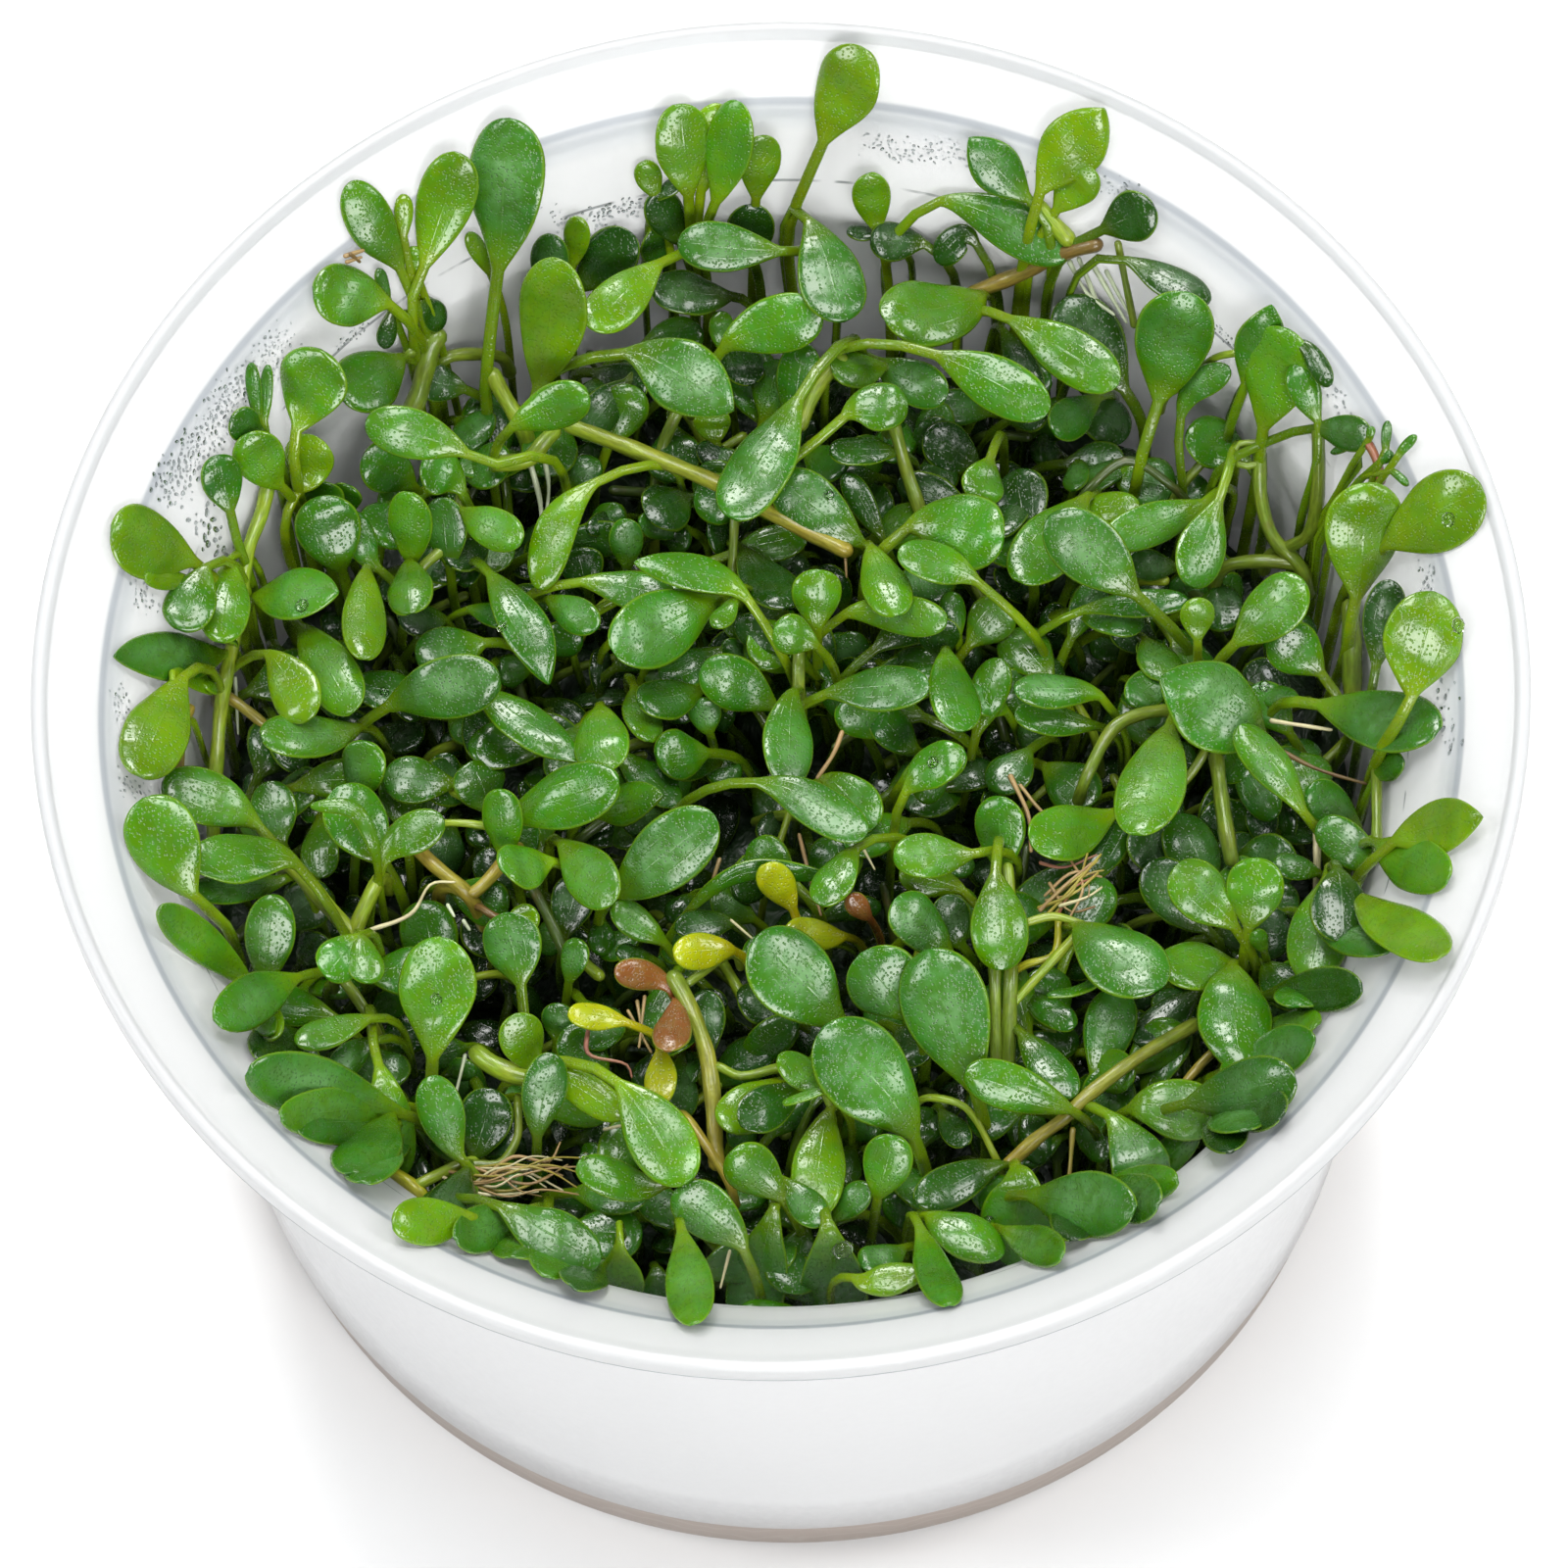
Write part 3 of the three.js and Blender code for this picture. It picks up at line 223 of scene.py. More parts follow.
    ("l3", "y", 4.07, 0.25, 0, 0.25, "round", ((37.26, -10.61, 44.40), (38.89, -15.02, 50.58), (43.05, -22.02, 57.94))),
    ("l4", "d", 4.22, 0.08, 0, 0.5, "round", ((36.81, -10.70, 47.76), (36.92, -12.04, 48.60), (37.06, -16.56, 48.60))),
    ("l5", "b", 4.36, 0.10, 0, 0.25, "point", ((36.50, -9.72, 45.24), (36.12, -11.56, 46.08), (34.63, -19.15, 46.92))),
    ("l6", "b", 3.96, 0.15, 0, 0.4, "round", ((30.39, -14.86, 46.08), (29.37, -13.93, 47.34), (26.06, -11.09, 49.86))),
    ("l6b", "b", 3.96, 0.15, 0, 0.4, "round", ((30.65, -14.87, 46.08), (30.95, -14.01, 47.34), (31.62, -10.77, 49.86))),
    ("l7", "d", 4.12, 0.10, 0, 0.25, "round", ((26.36, -8.69, 41.88), (25.73, -7.95, 42.72), (24.42, -4.86, 44.40))),
    ("l8", "d", 3.71, 0.10, 0, 0.25, "round", ((28.52, -13.07, 42.72), (27.24, -12.08, 43.56), (24.36, -8.55, 45.24))),
    ("l9", "p", 5.14, 0.08, 0, 0.4, "round", ((19.09, -13.37, 46.08), (20.07, -14.85, 47.76), (24.57, -19.68, 49.44))),
    ("l10", "b", 3.96, 0.10, 0, 0.5, "round", ((29.68, -16.09, 44.40), (28.66, -16.30, 46.08), (24.93, -17.96, 48.18))),
    ("l11", "b", 5.13, 0.06, 0, 0.5, "point", ((29.62, -16.86, 46.08), (29.50, -18.93, 47.76), (29.64, -26.03, 48.60))),
    ("l12", "d", 3.57, 0.10, 0, 0.25, "round", ((31.72, -15.27, 42.72), (32.44, -16.54, 43.98), (34.42, -19.53, 45.24))),
    ("l13", "g", 3.43, 0.10, 0, 0.25, "round", ((35.25, -17.28, 43.56), (35.18, -18.02, 44.40), (34.08, -20.64, 46.92))),
    ("l14", "g", 3.69, 0.10, 0, 0.25, "round", ((30.59, -24.21, 41.88), (31.40, -23.79, 42.47), (32.94, -21.93, 45.24))),
    ("l15", "d", 2.77, 0.10, 0, 0.25, "round", ((29.75, -23.88, 41.88), (30.43, -24.68, 42.30), (30.05, -25.52, 42.72))),
    ("l16", "d", 2.78, 0.12, 0, 0.25, "round", ((27.68, -16.66, 41.88), (26.56, -17.72, 42.72), (22.94, -21.19, 43.56))),
    ("h15", "g", 2.92, 0.10, 0, 0.25, "round", ((38.86, -6.12, 43.56), (38.33, -5.75, 44.40), (35.38, -4.30, 46.92))),
    ("h15b", "g", 2.91, 0.10, 0, 0.25, "round", ((39.01, -11.15, 48.65), (38.61, -9.43, 46.74), (35.91, -6.82, 46.92))),
    ("l19", "g", 1.86, 0.10, 0, 0.25, "round", ((35.96, -9.21, 43.56), (35.28, -9.27, 44.40), (32.76, -8.96, 45.24))),
    ("h16", "d", 2.80, 0.10, 0, 0.25, "round", ((32.63, -3.79, 40.20), (31.70, -3.70, 41.04), (28.19, -4.27, 42.30))),
    ("h16b", "d", 2.27, 0.10, 0, 0.25, "round", ((32.40, -5.70, 40.20), (32.41, -5.36, 41.04), (32.21, -2.57, 41.88))),
    ("h22", "g", 1.99, 0.10, 0, 0.25, "round", ((39.69, -4.36, 47.22), (40.03, -4.07, 47.81), (41.60, -4.41, 50.99))),
    ("i1", "b", 3.97, 0.34, 0, 0.25, "round", ((-33.30, -6.36, 45.24), (-36.03, -3.75, 47.76), (-37.47, -3.10, 49.02), (-41.90, -2.12, 51.12))),
    ("i2", "b", 3.83, 0.40, 0, 0.25, "point", ((-30.14, -10.81, 44.40), (-32.55, -7.87, 47.76), (-34.06, -7.07, 49.02), (-40.89, -8.36, 51.54))),
    ("i3", "b", 4.88, 0.06, 0, 0.25, "round", ((-39.79, -10.25, 49.56), (-40.63, -9.31, 50.74), (-43.15, -4.28, 53.19))),
    ("i4", "g", 2.25, 0.10, 0, 0.25, "round", ((-33.34, -6.26, 44.40), (-34.65, -7.17, 45.24), (-40.32, -10.12, 50.58))),
    ("i5", "b", 3.44, 0.22, 0, 0.25, "round", ((-35.73, -15.26, 43.56), (-35.45, -14.46, 46.08), (-34.71, -10.08, 49.44))),
    ("i6", "b", 3.03, 0.08, 0, 0.5, "round", ((-28.95, -13.02, 48.60), (-29.47, -13.70, 49.02), (-31.30, -16.27, 49.44))),
    ("i6b", "b", 2.50, 0.08, 0, 0.5, "round", ((-28.95, -13.02, 48.60), (-28.81, -13.73, 49.02), (-28.43, -16.72, 49.02))),
    ("i7", "b", 5.27, 0.22, 0, 0.25, "round", ((-24.64, -22.55, 44.40), (-24.35, -20.67, 46.92), (-23.70, -14.12, 50.28))),
    ("i8", "b", 4.38, 0.10, 0, 0.25, "round", ((-27.05, -5.88, 43.56), (-27.72, -5.06, 44.40), (-30.23, -1.06, 46.92))),
    ("i8b", "b", 1.19, 0.15, 0, 0.25, "round", ((-27.69, -7.51, 45.24), (-27.92, -6.09, 48.18), (-29.19, -3.99, 49.44), (-32.10, -3.56, 49.44))),
    ("i9", "b", 2.92, 0.20, 0, 0.25, "round", ((-27.82, -7.50, 45.24), (-26.70, -5.78, 46.92), (-23.16, -4.27, 48.18))),
    ("i11", "g", 3.20, 0.10, 0, 0.25, "round", ((-34.09, -2.89, 41.04), (-34.44, -2.45, 41.88), (-35.06, 1.21, 43.56))),
    ("i16", "b", 3.04, 0.10, 0, 0.25, "round", ((-30.64, -17.34, 44.40), (-31.72, -17.09, 45.24), (-36.50, -16.67, 47.50))),
    ("i17", "b", 2.37, 0.15, 0, 0.25, "round", ((-27.85, -18.33, 46.92), (-29.01, -18.87, 47.76), (-33.46, -21.08, 49.44))),
    ("i18", "y", 2.38, 0.10, 0, 0.25, "round", ((-36.88, -14.21, 44.40), (-36.54, -15.20, 45.24), (-34.77, -19.46, 46.92))),
    ("i19", "b", 2.77, 0.10, 0, 0.25, "round", ((-36.18, -15.91, 44.40), (-36.77, -14.69, 45.66), (-42.09, -12.79, 54.01))),
    ("i20", "d", 3.04, 0.10, 0, 0.25, "round", ((-34.93, -18.06, 43.56), (-35.44, -17.01, 40.98), (-34.40, -19.46, 44.40))),
    ("i20b", "d", 2.77, 0.10, 0, 0.25, "round", ((-31.77, -20.97, 43.56), (-32.20, -20.70, 43.98), (-34.63, -18.91, 43.49))),
    ("i21", "b", 3.29, 0.35, 0, 0.25, "round", ((-28.53, -17.77, 46.08), (-28.31, -20.77, 46.92), (-27.63, -23.92, 47.76), (-27.12, -28.63, 42.92))),
    ("i22", "b", 3.15, 0.12, 0, 0.25, "round", ((-22.16, -28.96, 45.24), (-23.03, -28.14, 46.08), (-24.63, -23.58, 48.60))),
    ("i23", "d", 3.69, 0.10, 0, 0.25, "round", ((-22.22, -27.55, 42.72), (-21.84, -27.08, 43.56), (-20.46, -23.65, 46.08))),
    ("i25", "p", 3.02, 0.15, 0, 0.25, "round", ((-17.67, -27.36, 44.40), (-17.52, -26.53, 46.08), (-16.36, -22.69, 49.44))),
    ("i26", "y", 3.16, 0.10, 0, 0.25, "round", ((-17.81, -22.32, 45.24), (-17.95, -21.80, 46.50), (-18.70, -19.77, 49.44))),
    ("i27", "p", 3.96, 0.35, 0, 0.25, "round", ((-18.23, -18.15, 44.40), (-18.36, -15.79, 46.08), (-19.27, -11.81, 48.60))),
    ("i28", "y", 2.37, 0.35, 0, 0.25, "round", ((-30.56, -25.15, 45.24), (-31.83, -23.97, 46.92), (-33.53, -22.03, 47.50))),
    ("i30", "p", 2.11, 0.10, 0, 0.25, "round", ((-27.94, -19.15, 45.24), (-29.00, -19.80, 45.66), (-31.12, -22.37, 46.92))),
    ("i31", "b", 4.08, 0.10, 0, 0.25, "round", ((-27.52, -22.62, 43.56), (-28.11, -23.98, 44.40), (-28.66, -27.36, 46.08))),
    ("i32", "y", 3.37, 0.05, 0, 0.3, "round", ((-21.82, -35.88, 52.80), (-22.83, -36.45, 54.06), (-27.02, -38.08, 57.42))),
    ("i33", "g", 4.05, 0.45, 0, 0.25, "round", ((-24.22, -31.19, 44.67), (-20.86, -33.37, 48.60), (-17.97, -35.40, 49.02), (-13.81, -37.67, 47.50))),
    ("i38", "b", 4.46, 0.42, 0, 0.25, "round", ((-16.62, -22.05, 46.92), (-13.20, -23.88, 49.02), (-11.41, -26.00, 49.86), (-7.59, -32.88, 50.28))),
    ("i39", "b", 2.88, 0.22, 0, 0.25, "round", ((-8.15, -30.49, 45.24), (-10.12, -31.52, 46.50), (-14.94, -30.76, 49.02))),
    ("i40", "b", 2.88, 0.06, 0, 0.25, "round", ((-12.34, -35.18, 46.92), (-12.39, -36.10, 46.08), (-12.23, -37.38, 41.04))),
    ("i41", "b", 3.25, 0.08, 0, 0.25, "round", ((-8.23, -35.11, 48.60), (-8.07, -36.88, 49.86), (-7.51, -46.00, 57.00))),
    ("j1", "b", 4.38, 0.12, 0, 0.5, "round", ((-19.08, -2.98, 44.40), (-17.48, -3.37, 46.92), (-11.26, -3.06, 50.28))),
    ("j2", "b", 3.19, 0.05, 0, 0.25, "point", ((-13.43, -2.42, 43.56), (-12.21, -2.36, 44.40), (-8.36, -2.70, 46.92))),
    ("j3", "b", 2.78, 0.10, 0, 0.7, "round", ((-18.72, -6.38, 44.40), (-19.06, -5.92, 45.66), (-19.30, -3.00, 49.44))),
    ("j4", "b", 3.58, 0.08, 0, 0.25, "round", ((-15.65, -6.63, 45.24), (-16.56, -6.97, 46.08), (-19.16, -8.66, 49.02))),
    ("j5", "b", 3.58, 0.06, 0, 0.25, "round", ((-15.46, -5.02, 45.24), (-14.81, -6.18, 46.08), (-11.99, -11.29, 48.60))),
    ("j6", "p", 4.76, 0.10, 0, 0.25, "round", ((-12.17, -9.18, 44.40), (-10.57, -9.12, 46.92), (-4.88, -6.20, 50.70))),
    ("j8", "d", 3.06, 0.10, 0, 0.25, "round", ((-15.45, -10.69, 41.04), (-15.20, -9.85, 41.88), (-14.18, -6.86, 43.56))),
    ("j9", "b", 2.39, 0.10, 0, 0.25, "round", ((-8.34, -12.17, 42.72), (-8.97, -11.80, 43.56), (-11.97, -10.22, 45.66))),
    ("j10", "d", 2.39, 0.10, 0, 0.25, "round", ((-3.65, -10.86, 42.72), (-4.42, -10.85, 43.56), (-7.74, -11.98, 45.24))),
    ("j11", "Y", 2.51, 0.06, 0, 0.5, "round", ((-3.84, -13.84, 45.24), (-4.49, -14.05, 46.08), (-7.92, -14.95, 47.76))),
    ("j12", "Y", 2.38, 0.25, 0, 0.25, "round", ((0.59, -11.53, 43.56), (0.13, -10.48, 44.82), (-1.60, -8.90, 48.18))),
    ("j13", "Y", 2.38, 0.06, 0, 0.5, "round", ((3.75, -12.34, 43.56), (2.95, -12.69, 44.40), (-0.34, -13.33, 46.92))),
    ("j14", "g", 1.72, 0.15, 45, 0.25, "round", ((-7.76, -10.67, 42.72), (-5.11, -9.23, 45.66), (-2.61, -8.50, 46.50), (2.47, -8.72, 45.66))),
    ("j15", "p", 3.32, 0.42, 0, 0.25, "round", ((-6.74, -2.10, 44.40), (-4.02, -2.10, 46.92), (-0.38, -3.30, 48.60), (5.36, -7.16, 48.60))),
    ("j16", "b", 3.46, 0.10, 0, 0.25, "round", ((2.09, -0.41, 42.72), (2.97, -0.55, 43.56), (5.94, -4.88, 45.24))),
    ("j17", "o", 2.11, 0.20, 0, 0.5, "round", ((-7.82, -17.27, 44.40), (-8.80, -16.05, 45.66), (-11.91, -16.00, 47.76))),
    ("j18", "o", 2.64, 0.08, 0, 0.5, "round", ((-7.93, -17.21, 45.24), (-7.95, -18.32, 46.08), (-8.63, -22.02, 47.76))),
    ("j19", "Y", 1.98, 0.35, 0, 0.25, "round", ((-9.49, -18.99, 43.56), (-11.94, -18.54, 45.24), (-15.19, -18.64, 46.92))),
    ("j20", "Y", 2.24, 0.15, 0, 0.25, "round", ((-9.18, -20.25, 44.40), (-9.14, -21.50, 45.24), (-9.33, -24.89, 45.24))),
    ("j21", "p", 5.80, 0.06, 0, 0.25, "round", ((3.46, -19.79, 45.24), (2.32, -19.34, 46.92), (-2.26, -15.08, 50.28))),
    ("j24", "p", 1.99, 0.10, 0, 0.25, "round", ((-15.21, -14.24, 41.88), (-15.04, -13.83, 42.72), (-14.39, -12.00, 44.40))),
    ("j25", "d", 1.72, 0.10, 0, 0.25, "round", ((-9.31, -12.69, 41.88), (-9.70, -12.72, 42.30), (-11.78, -12.95, 43.98))),
    ("j26", "p", 2.25, 0.10, 0, 0.25, "round", ((-16.15, -18.56, 41.88), (-16.12, -18.10, 42.30), (-15.89, -16.35, 43.56))),
    ("j27", "d", 2.65, 0.10, 0, 0.25, "round", ((-6.03, -19.74, 40.20), (-5.99, -19.18, 41.04), (-6.07, -15.42, 42.72))),
    ("j34", "y", 1.99, 0.05, 0, 0.25, "round", ((-19.34, -10.43, 43.56), (-18.87, -10.50, 43.98), (-17.09, -10.36, 45.24))),
    ("k1", "b", 3.05, 0.42, 0, 0.25, "round", ((7.25, -4.89, 43.56), (7.73, -3.55, 45.66), (9.13, -2.35, 47.34), (11.99, -1.03, 48.60))),
    ("k2", "b", 3.18, 0.28, 0, 0.25, "round", ((14.19, -7.58, 46.08), (11.98, -8.35, 47.34), (7.14, -8.78, 48.60))),
    ("k3", "b", 2.78, 0.42, 0, 0.25, "round", ((7.43, -5.83, 45.24), (5.42, -6.62, 46.50), (4.25, -7.98, 47.34), (1.98, -11.91, 48.18))),
    ("k4", "b", 3.45, 0.10, 0, 0.25, "round", ((14.42, -8.00, 42.72), (14.46, -7.34, 43.98), (14.36, -3.95, 46.92))),
    ("k5", "b", 4.12, 0.08, 0, 0.25, "round", ((22.61, -3.86, 43.56), (21.43, -4.72, 44.40), (16.58, -7.70, 47.34))),
    ("k6", "b", 3.96, 0.22, 0, 0.5, "round", ((14.17, -8.22, 47.76), (13.94, -10.38, 48.18), (14.05, -12.54, 48.60), (14.03, -17.17, 47.76))),
    ("k9", "p", 3.70, 0.10, 0, 0.25, "round", ((10.81, -14.67, 44.40), (10.18, -14.27, 45.66), (7.14, -11.87, 48.18))),
    ("k10", "d", 2.78, 0.10, 0, 0.25, "round", ((11.73, -13.21, 42.72), (11.28, -12.99, 43.56), (10.54, -10.77, 46.08))),
    ("k11", "y", 2.52, 0.10, 0, 0.25, "round", ((12.08, -10.13, 44.40), (11.24, -9.56, 44.82), (7.51, -8.87, 46.08))),
    ("k12", "p", 4.87, 0.05, 0, 0.25, "round", ((7.95, -19.95, 46.08), (7.33, -19.41, 47.34), (4.59, -16.40, 49.44))),
    ("k13", "p", 5.78, 0.12, 0, 0.25, "round", ((12.16, -25.99, 45.24), (11.57, -24.74, 47.34), (8.79, -16.89, 50.70))),
    ("k14", "p", 6.16, 0.10, 0, 0.25, "round", ((7.88, -28.95, 45.24), (6.98, -27.73, 47.76), (2.00, -22.51, 51.54))),
    ("k15", "b", 2.36, 0.10, 0, 0.6, "round", ((2.59, -25.33, 46.08), (1.71, -24.85, 47.34), (-1.23, -23.71, 49.44))),
    ("k16", "b", 3.15, 0.15, 0, 0.5, "round", ((18.95, -27.18, 45.24), (17.51, -27.00, 46.92), (11.23, -25.38, 49.44))),
    ("k17", "g", 2.77, 0.15, 0, 0.25, "round", ((14.81, -19.95, 44.40), (15.54, -21.38, 45.24), (18.48, -25.95, 46.08))),
    ("k19", "p", 3.57, 0.15, 0, 0.25, "round", ((19.62, -24.26, 41.88), (20.07, -23.21, 42.72), (21.94, -17.39, 44.40))),
    ("k20", "g", 2.12, 0.10, 0, 0.25, "round", ((15.49, -16.51, 41.88), (16.18, -17.36, 42.72), (18.85, -19.69, 43.56))),
    ("k21", "b", 1.32, 0.10, 50, 0.25, "round", ((20.97, -15.45, 44.40), (19.95, -17.46, 45.24), (16.99, -18.50, 46.08))),
    ("k28", "d", 3.46, 0.10, 0, 0.25, "round", ((21.39, -5.68, 40.20), (20.00, -6.75, 41.04), (14.78, -11.68, 42.72))),
    ("o1", "p", 4.07, 0.15, 0, 0.25, "round", ((19.75, -26.87, 46.08), (21.24, -28.66, 47.34), (22.72, -31.89, 47.34), (22.27, -32.60, 43.56))),
    ("o2", "b", 4.20, 0.12, 0, 0.25, "round", ((21.70, -27.40, 46.08), (23.38, -27.84, 48.18), (28.18, -28.56, 47.50))),
    ("o3", "b", 5.25, 0.06, 0, 0.25, "round", ((14.32, -30.56, 45.24), (14.38, -32.26, 46.50), (14.24, -36.69, 41.46))),
    ("o4", "b", 3.27, 0.10, 0, 0.5, "round", ((7.99, -34.21, 46.08), (9.45, -35.58, 47.76), (13.27, -37.86, 47.50))),
    ("o5", "b", 2.86, 0.08, 0, 0.5, "round", ((7.45, -35.13, 47.76), (7.90, -37.06, 49.02), (9.37, -44.96, 55.98))),
    ("o6", "d", 3.02, 0.10, 0, 0.25, "round", ((14.08, -29.80, 43.56), (12.96, -30.12, 44.40), (7.64, -33.56, 46.92))),
    ("o7", "d", 1.98, 0.10, 0, 0.25, "round", ((9.55, -25.03, 42.72), (9.72, -25.66, 43.14), (11.06, -28.45, 44.40))),
    ("o10", "g", 1.97, 0.10, 0, 0.25, "round", ((22.16, -32.61, 42.72), (22.06, -32.49, 40.31), (17.04, -34.13, 45.24))),
    ("n1", "p", 4.59, 0.06, 0, 0.25, "round", ((1.45, -34.49, 47.76), (1.60, -35.96, 48.18), (1.96, -39.06, 37.29))),
    ("n2", "p", 4.20, 0.06, 0, 0.25, "round", ((-1.78, -32.74, 46.08), (-2.24, -34.44, 46.08), (-4.28, -38.91, 38.12))),
    ("n3", "b", 3.53, 0.08, 0, 0.25, "round", ((-3.90, -36.64, 46.08), (-4.50, -35.70, 46.92), (-8.39, -32.97, 49.44))),
    ("n4", "b", 3.40, 0.08, 0, 0.6, "round", ((-1.13, -32.91, 46.08), (-1.75, -32.39, 46.92), (-4.64, -30.51, 49.44))),
    ("n5", "d", 3.15, 0.10, 0, 0.25, "round", ((0.72, -24.38, 46.08), (-0.08, -24.82, 46.50), (-3.91, -27.83, 48.18))),
    ("n6", "y", 3.42, 0.10, 0, 0.25, "round", ((-1.44, -22.85, 43.56), (-2.11, -23.56, 44.40), (-4.99, -27.27, 46.08))),
    ("n7", "y", 3.68, 0.10, 0, 0.25, "round", ((2.31, -25.14, 44.40), (1.72, -26.93, 45.24), (0.66, -34.00, 46.08))),
    ("n8", "p", 2.49, 0.10, 0, 0.25, "round", ((-1.32, -31.11, 46.08), (-0.82, -31.82, 46.50), (1.23, -35.26, 47.76))),
    ("n9", "b", 3.41, 0.08, 0, 0.5, "round", ((4.97, -32.55, 45.24), (5.19, -32.33, 46.50), (6.25, -29.81, 49.44))),
    ("n10", "g", 2.10, 0.10, 0, 0.25, "round", ((1.96, -33.32, 43.56), (2.37, -33.13, 44.40), (4.42, -31.82, 46.08))),
    ("n11", "y", 2.35, 0.10, 0, 0.25, "point", ((2.95, -38.82, 46.08), (4.04, -39.59, 46.92), (8.26, -39.26, 47.50))),
    ("n12", "g", 1.71, 0.10, 0, 0.25, "round", ((-0.29, -39.32, 41.47), (-0.94, -39.36, 42.14), (-4.53, -39.13, 42.65))),
    ("n13", "p", 2.62, 0.10, 0, 0.25, "round", ((6.80, -35.34, 43.56), (6.33, -35.79, 43.98), (3.79, -37.36, 45.24))),
    ("n15", "d", 2.37, 0.10, 0, 0.25, "round", ((-10.13, -34.51, 40.20), (-10.01, -35.45, 41.04), (-10.04, -37.84, 38.27))),
    ("n16", "b", 0.92, 0.10, 40, 0.25, "round", ((2.75, -25.61, 48.60), (1.69, -26.03, 49.02), (-1.10, -26.72, 48.60))),
    ("n18", "d", 2.64, 0.10, 0, 0.25, "round", ((-7.78, -19.31, 41.04), (-7.80, -20.22, 41.46), (-8.14, -24.76, 42.72))),
    ("n19", "p", 2.24, 0.10, 0, 0.25, "round", ((-3.10, -26.41, 40.20), (-3.41, -26.26, 41.04), (-4.46, -25.30, 42.72))),
    ("n20", "d", 2.38, 0.10, 0, 0.25, "round", ((-13.45, -23.53, 40.20), (-13.96, -23.73, 41.04), (-16.42, -23.64, 42.72))),
    ("i36", "y", 2.37, 0.15, 0, 0.25, "round", ((-18.32, -22.74, 46.08), (-16.01, -23.38, 46.92), (-11.71, -26.28, 46.50))),
    ("f4", "y", 2.95, 0.35, 0, 0.25, "round", ((-7.94, 22.73, 46.08), (-11.72, 21.08, 47.34), (-14.50, 18.43, 46.92), (-16.18, 13.96, 45.24))),
    ("f7", "g", 2.02, 0.15, 0, 0.25, "round", ((-21.70, 14.98, 40.20), (-20.67, 14.74, 41.04), (-17.52, 13.00, 42.30))),
    ("f8", "p", 2.54, 0.10, 0, 0.25, "round", ((-15.83, 14.17, 43.56), (-15.15, 13.35, 44.40), (-12.32, 10.53, 46.08))),
    ("f9", "b", 2.94, 0.30, 0, 0.25, "round", ((-16.06, 14.37, 44.40), (-12.81, 14.40, 45.24), (-6.84, 12.35, 46.08))),
    ("f10", "p", 4.94, 0.12, 0, 0.25, "round", ((-3.36, 12.74, 45.24), (-4.71, 11.82, 46.50), (-11.06, 6.85, 49.86))),
    ("f11", "b", 2.80, 0.34, 0, 0.25, "point", ((0.21, 8.66, 44.40), (-2.47, 12.19, 47.34), (-4.22, 12.98, 48.18), (-9.57, 13.73, 49.44))),
    ("f12", "b", 1.60, 0.10, 0, 0.25, "round", ((-2.68, 12.18, 46.92), (-2.97, 11.60, 46.92), (-4.24, 9.32, 47.76))),
    ("f13", "p", 2.42, 0.10, 0, 0.25, "round", ((-10.16, 17.23, 41.04), (-10.12, 17.42, 41.88), (-10.12, 19.47, 44.40))),
    ("f14", "p", 2.02, 0.10, 0, 0.25, "round", ((-5.61, 20.43, 40.20), (-6.28, 20.20, 41.04), (-9.20, 20.11, 42.72))),
    ("f15", "d", 3.10, 0.10, 0, 0.25, "round", ((-12.93, 17.10, 38.52), (-13.04, 17.22, 39.36), (-13.60, 19.05, 41.04))),
    ("f21", "d", 3.62, 0.10, 0, 0.25, "round", ((-2.55, 18.40, 41.88), (-1.90, 17.20, 42.72), (0.76, 11.94, 45.24))),
    ("f22", "b", 3.47, 0.08, 0, 0.6, "round", ((2.68, 9.84, 45.24), (2.71, 10.25, 46.08), (2.86, 12.87, 48.60))),
    ("f23", "b", 2.80, 0.05, 0, 0.6, "round", ((2.63, 7.91, 46.92), (2.24, 8.02, 47.34), (-0.17, 8.71, 48.60))),
    ("f25", "p", 3.46, 0.05, 0, 0.25, "round", ((1.04, 5.47, 45.24), (0.75, 4.56, 46.08), (0.16, -2.71, 47.76))),
    ("f26", "g", 3.21, 0.10, 0, 0.5, "round", ((-5.10, 7.61, 41.88), (-5.91, 6.94, 42.72), (-9.65, 5.17, 45.24))),
    ("f27", "p", 2.28, 0.10, 0, 0.25, "round", ((-4.91, 4.84, 40.20), (-5.09, 5.04, 41.04), (-5.39, 6.47, 42.72))),
    ("f28", "g", 3.61, 0.10, 0, 0.25, "round", ((-0.09, 5.65, 41.88), (-0.80, 5.81, 42.72), (-5.23, 7.62, 45.24))),
    ("f29", "p", 1.74, 0.10, 0, 0.25, "round", ((-1.37, 9.73, 40.20), (-1.82, 9.79, 41.04), (-3.77, 10.56, 42.72))),
    ("f30", "d", 2.28, 0.10, 0, 0.25, "round", ((0.61, 9.46, 42.72), (-0.17, 9.68, 43.56), (-2.76, 11.48, 44.40))),
    ("f31", "b", 3.86, 0.03, 0, 0.3, "round", ((-12.33, 4.85, 45.24), (-12.35, 3.29, 46.50), (-12.26, -1.08, 47.76))),
    ("f32", "g", 3.20, 0.12, 0, 0.25, "point", ((-21.13, 7.57, 43.56), (-19.77, 5.96, 45.24), (-13.78, 0.06, 46.92))),
    ("f34", "d", 2.28, 0.10, 0, 0.25, "round", ((-21.37, 8.31, 40.20), (-21.10, 7.15, 41.04), (-20.38, 2.45, 42.72))),
    ("f36", "y", 2.56, 0.10, 0, 0.25, "round", ((-3.61, 26.06, 41.88), (-3.72, 26.38, 42.30), (-4.03, 27.89, 43.98))),
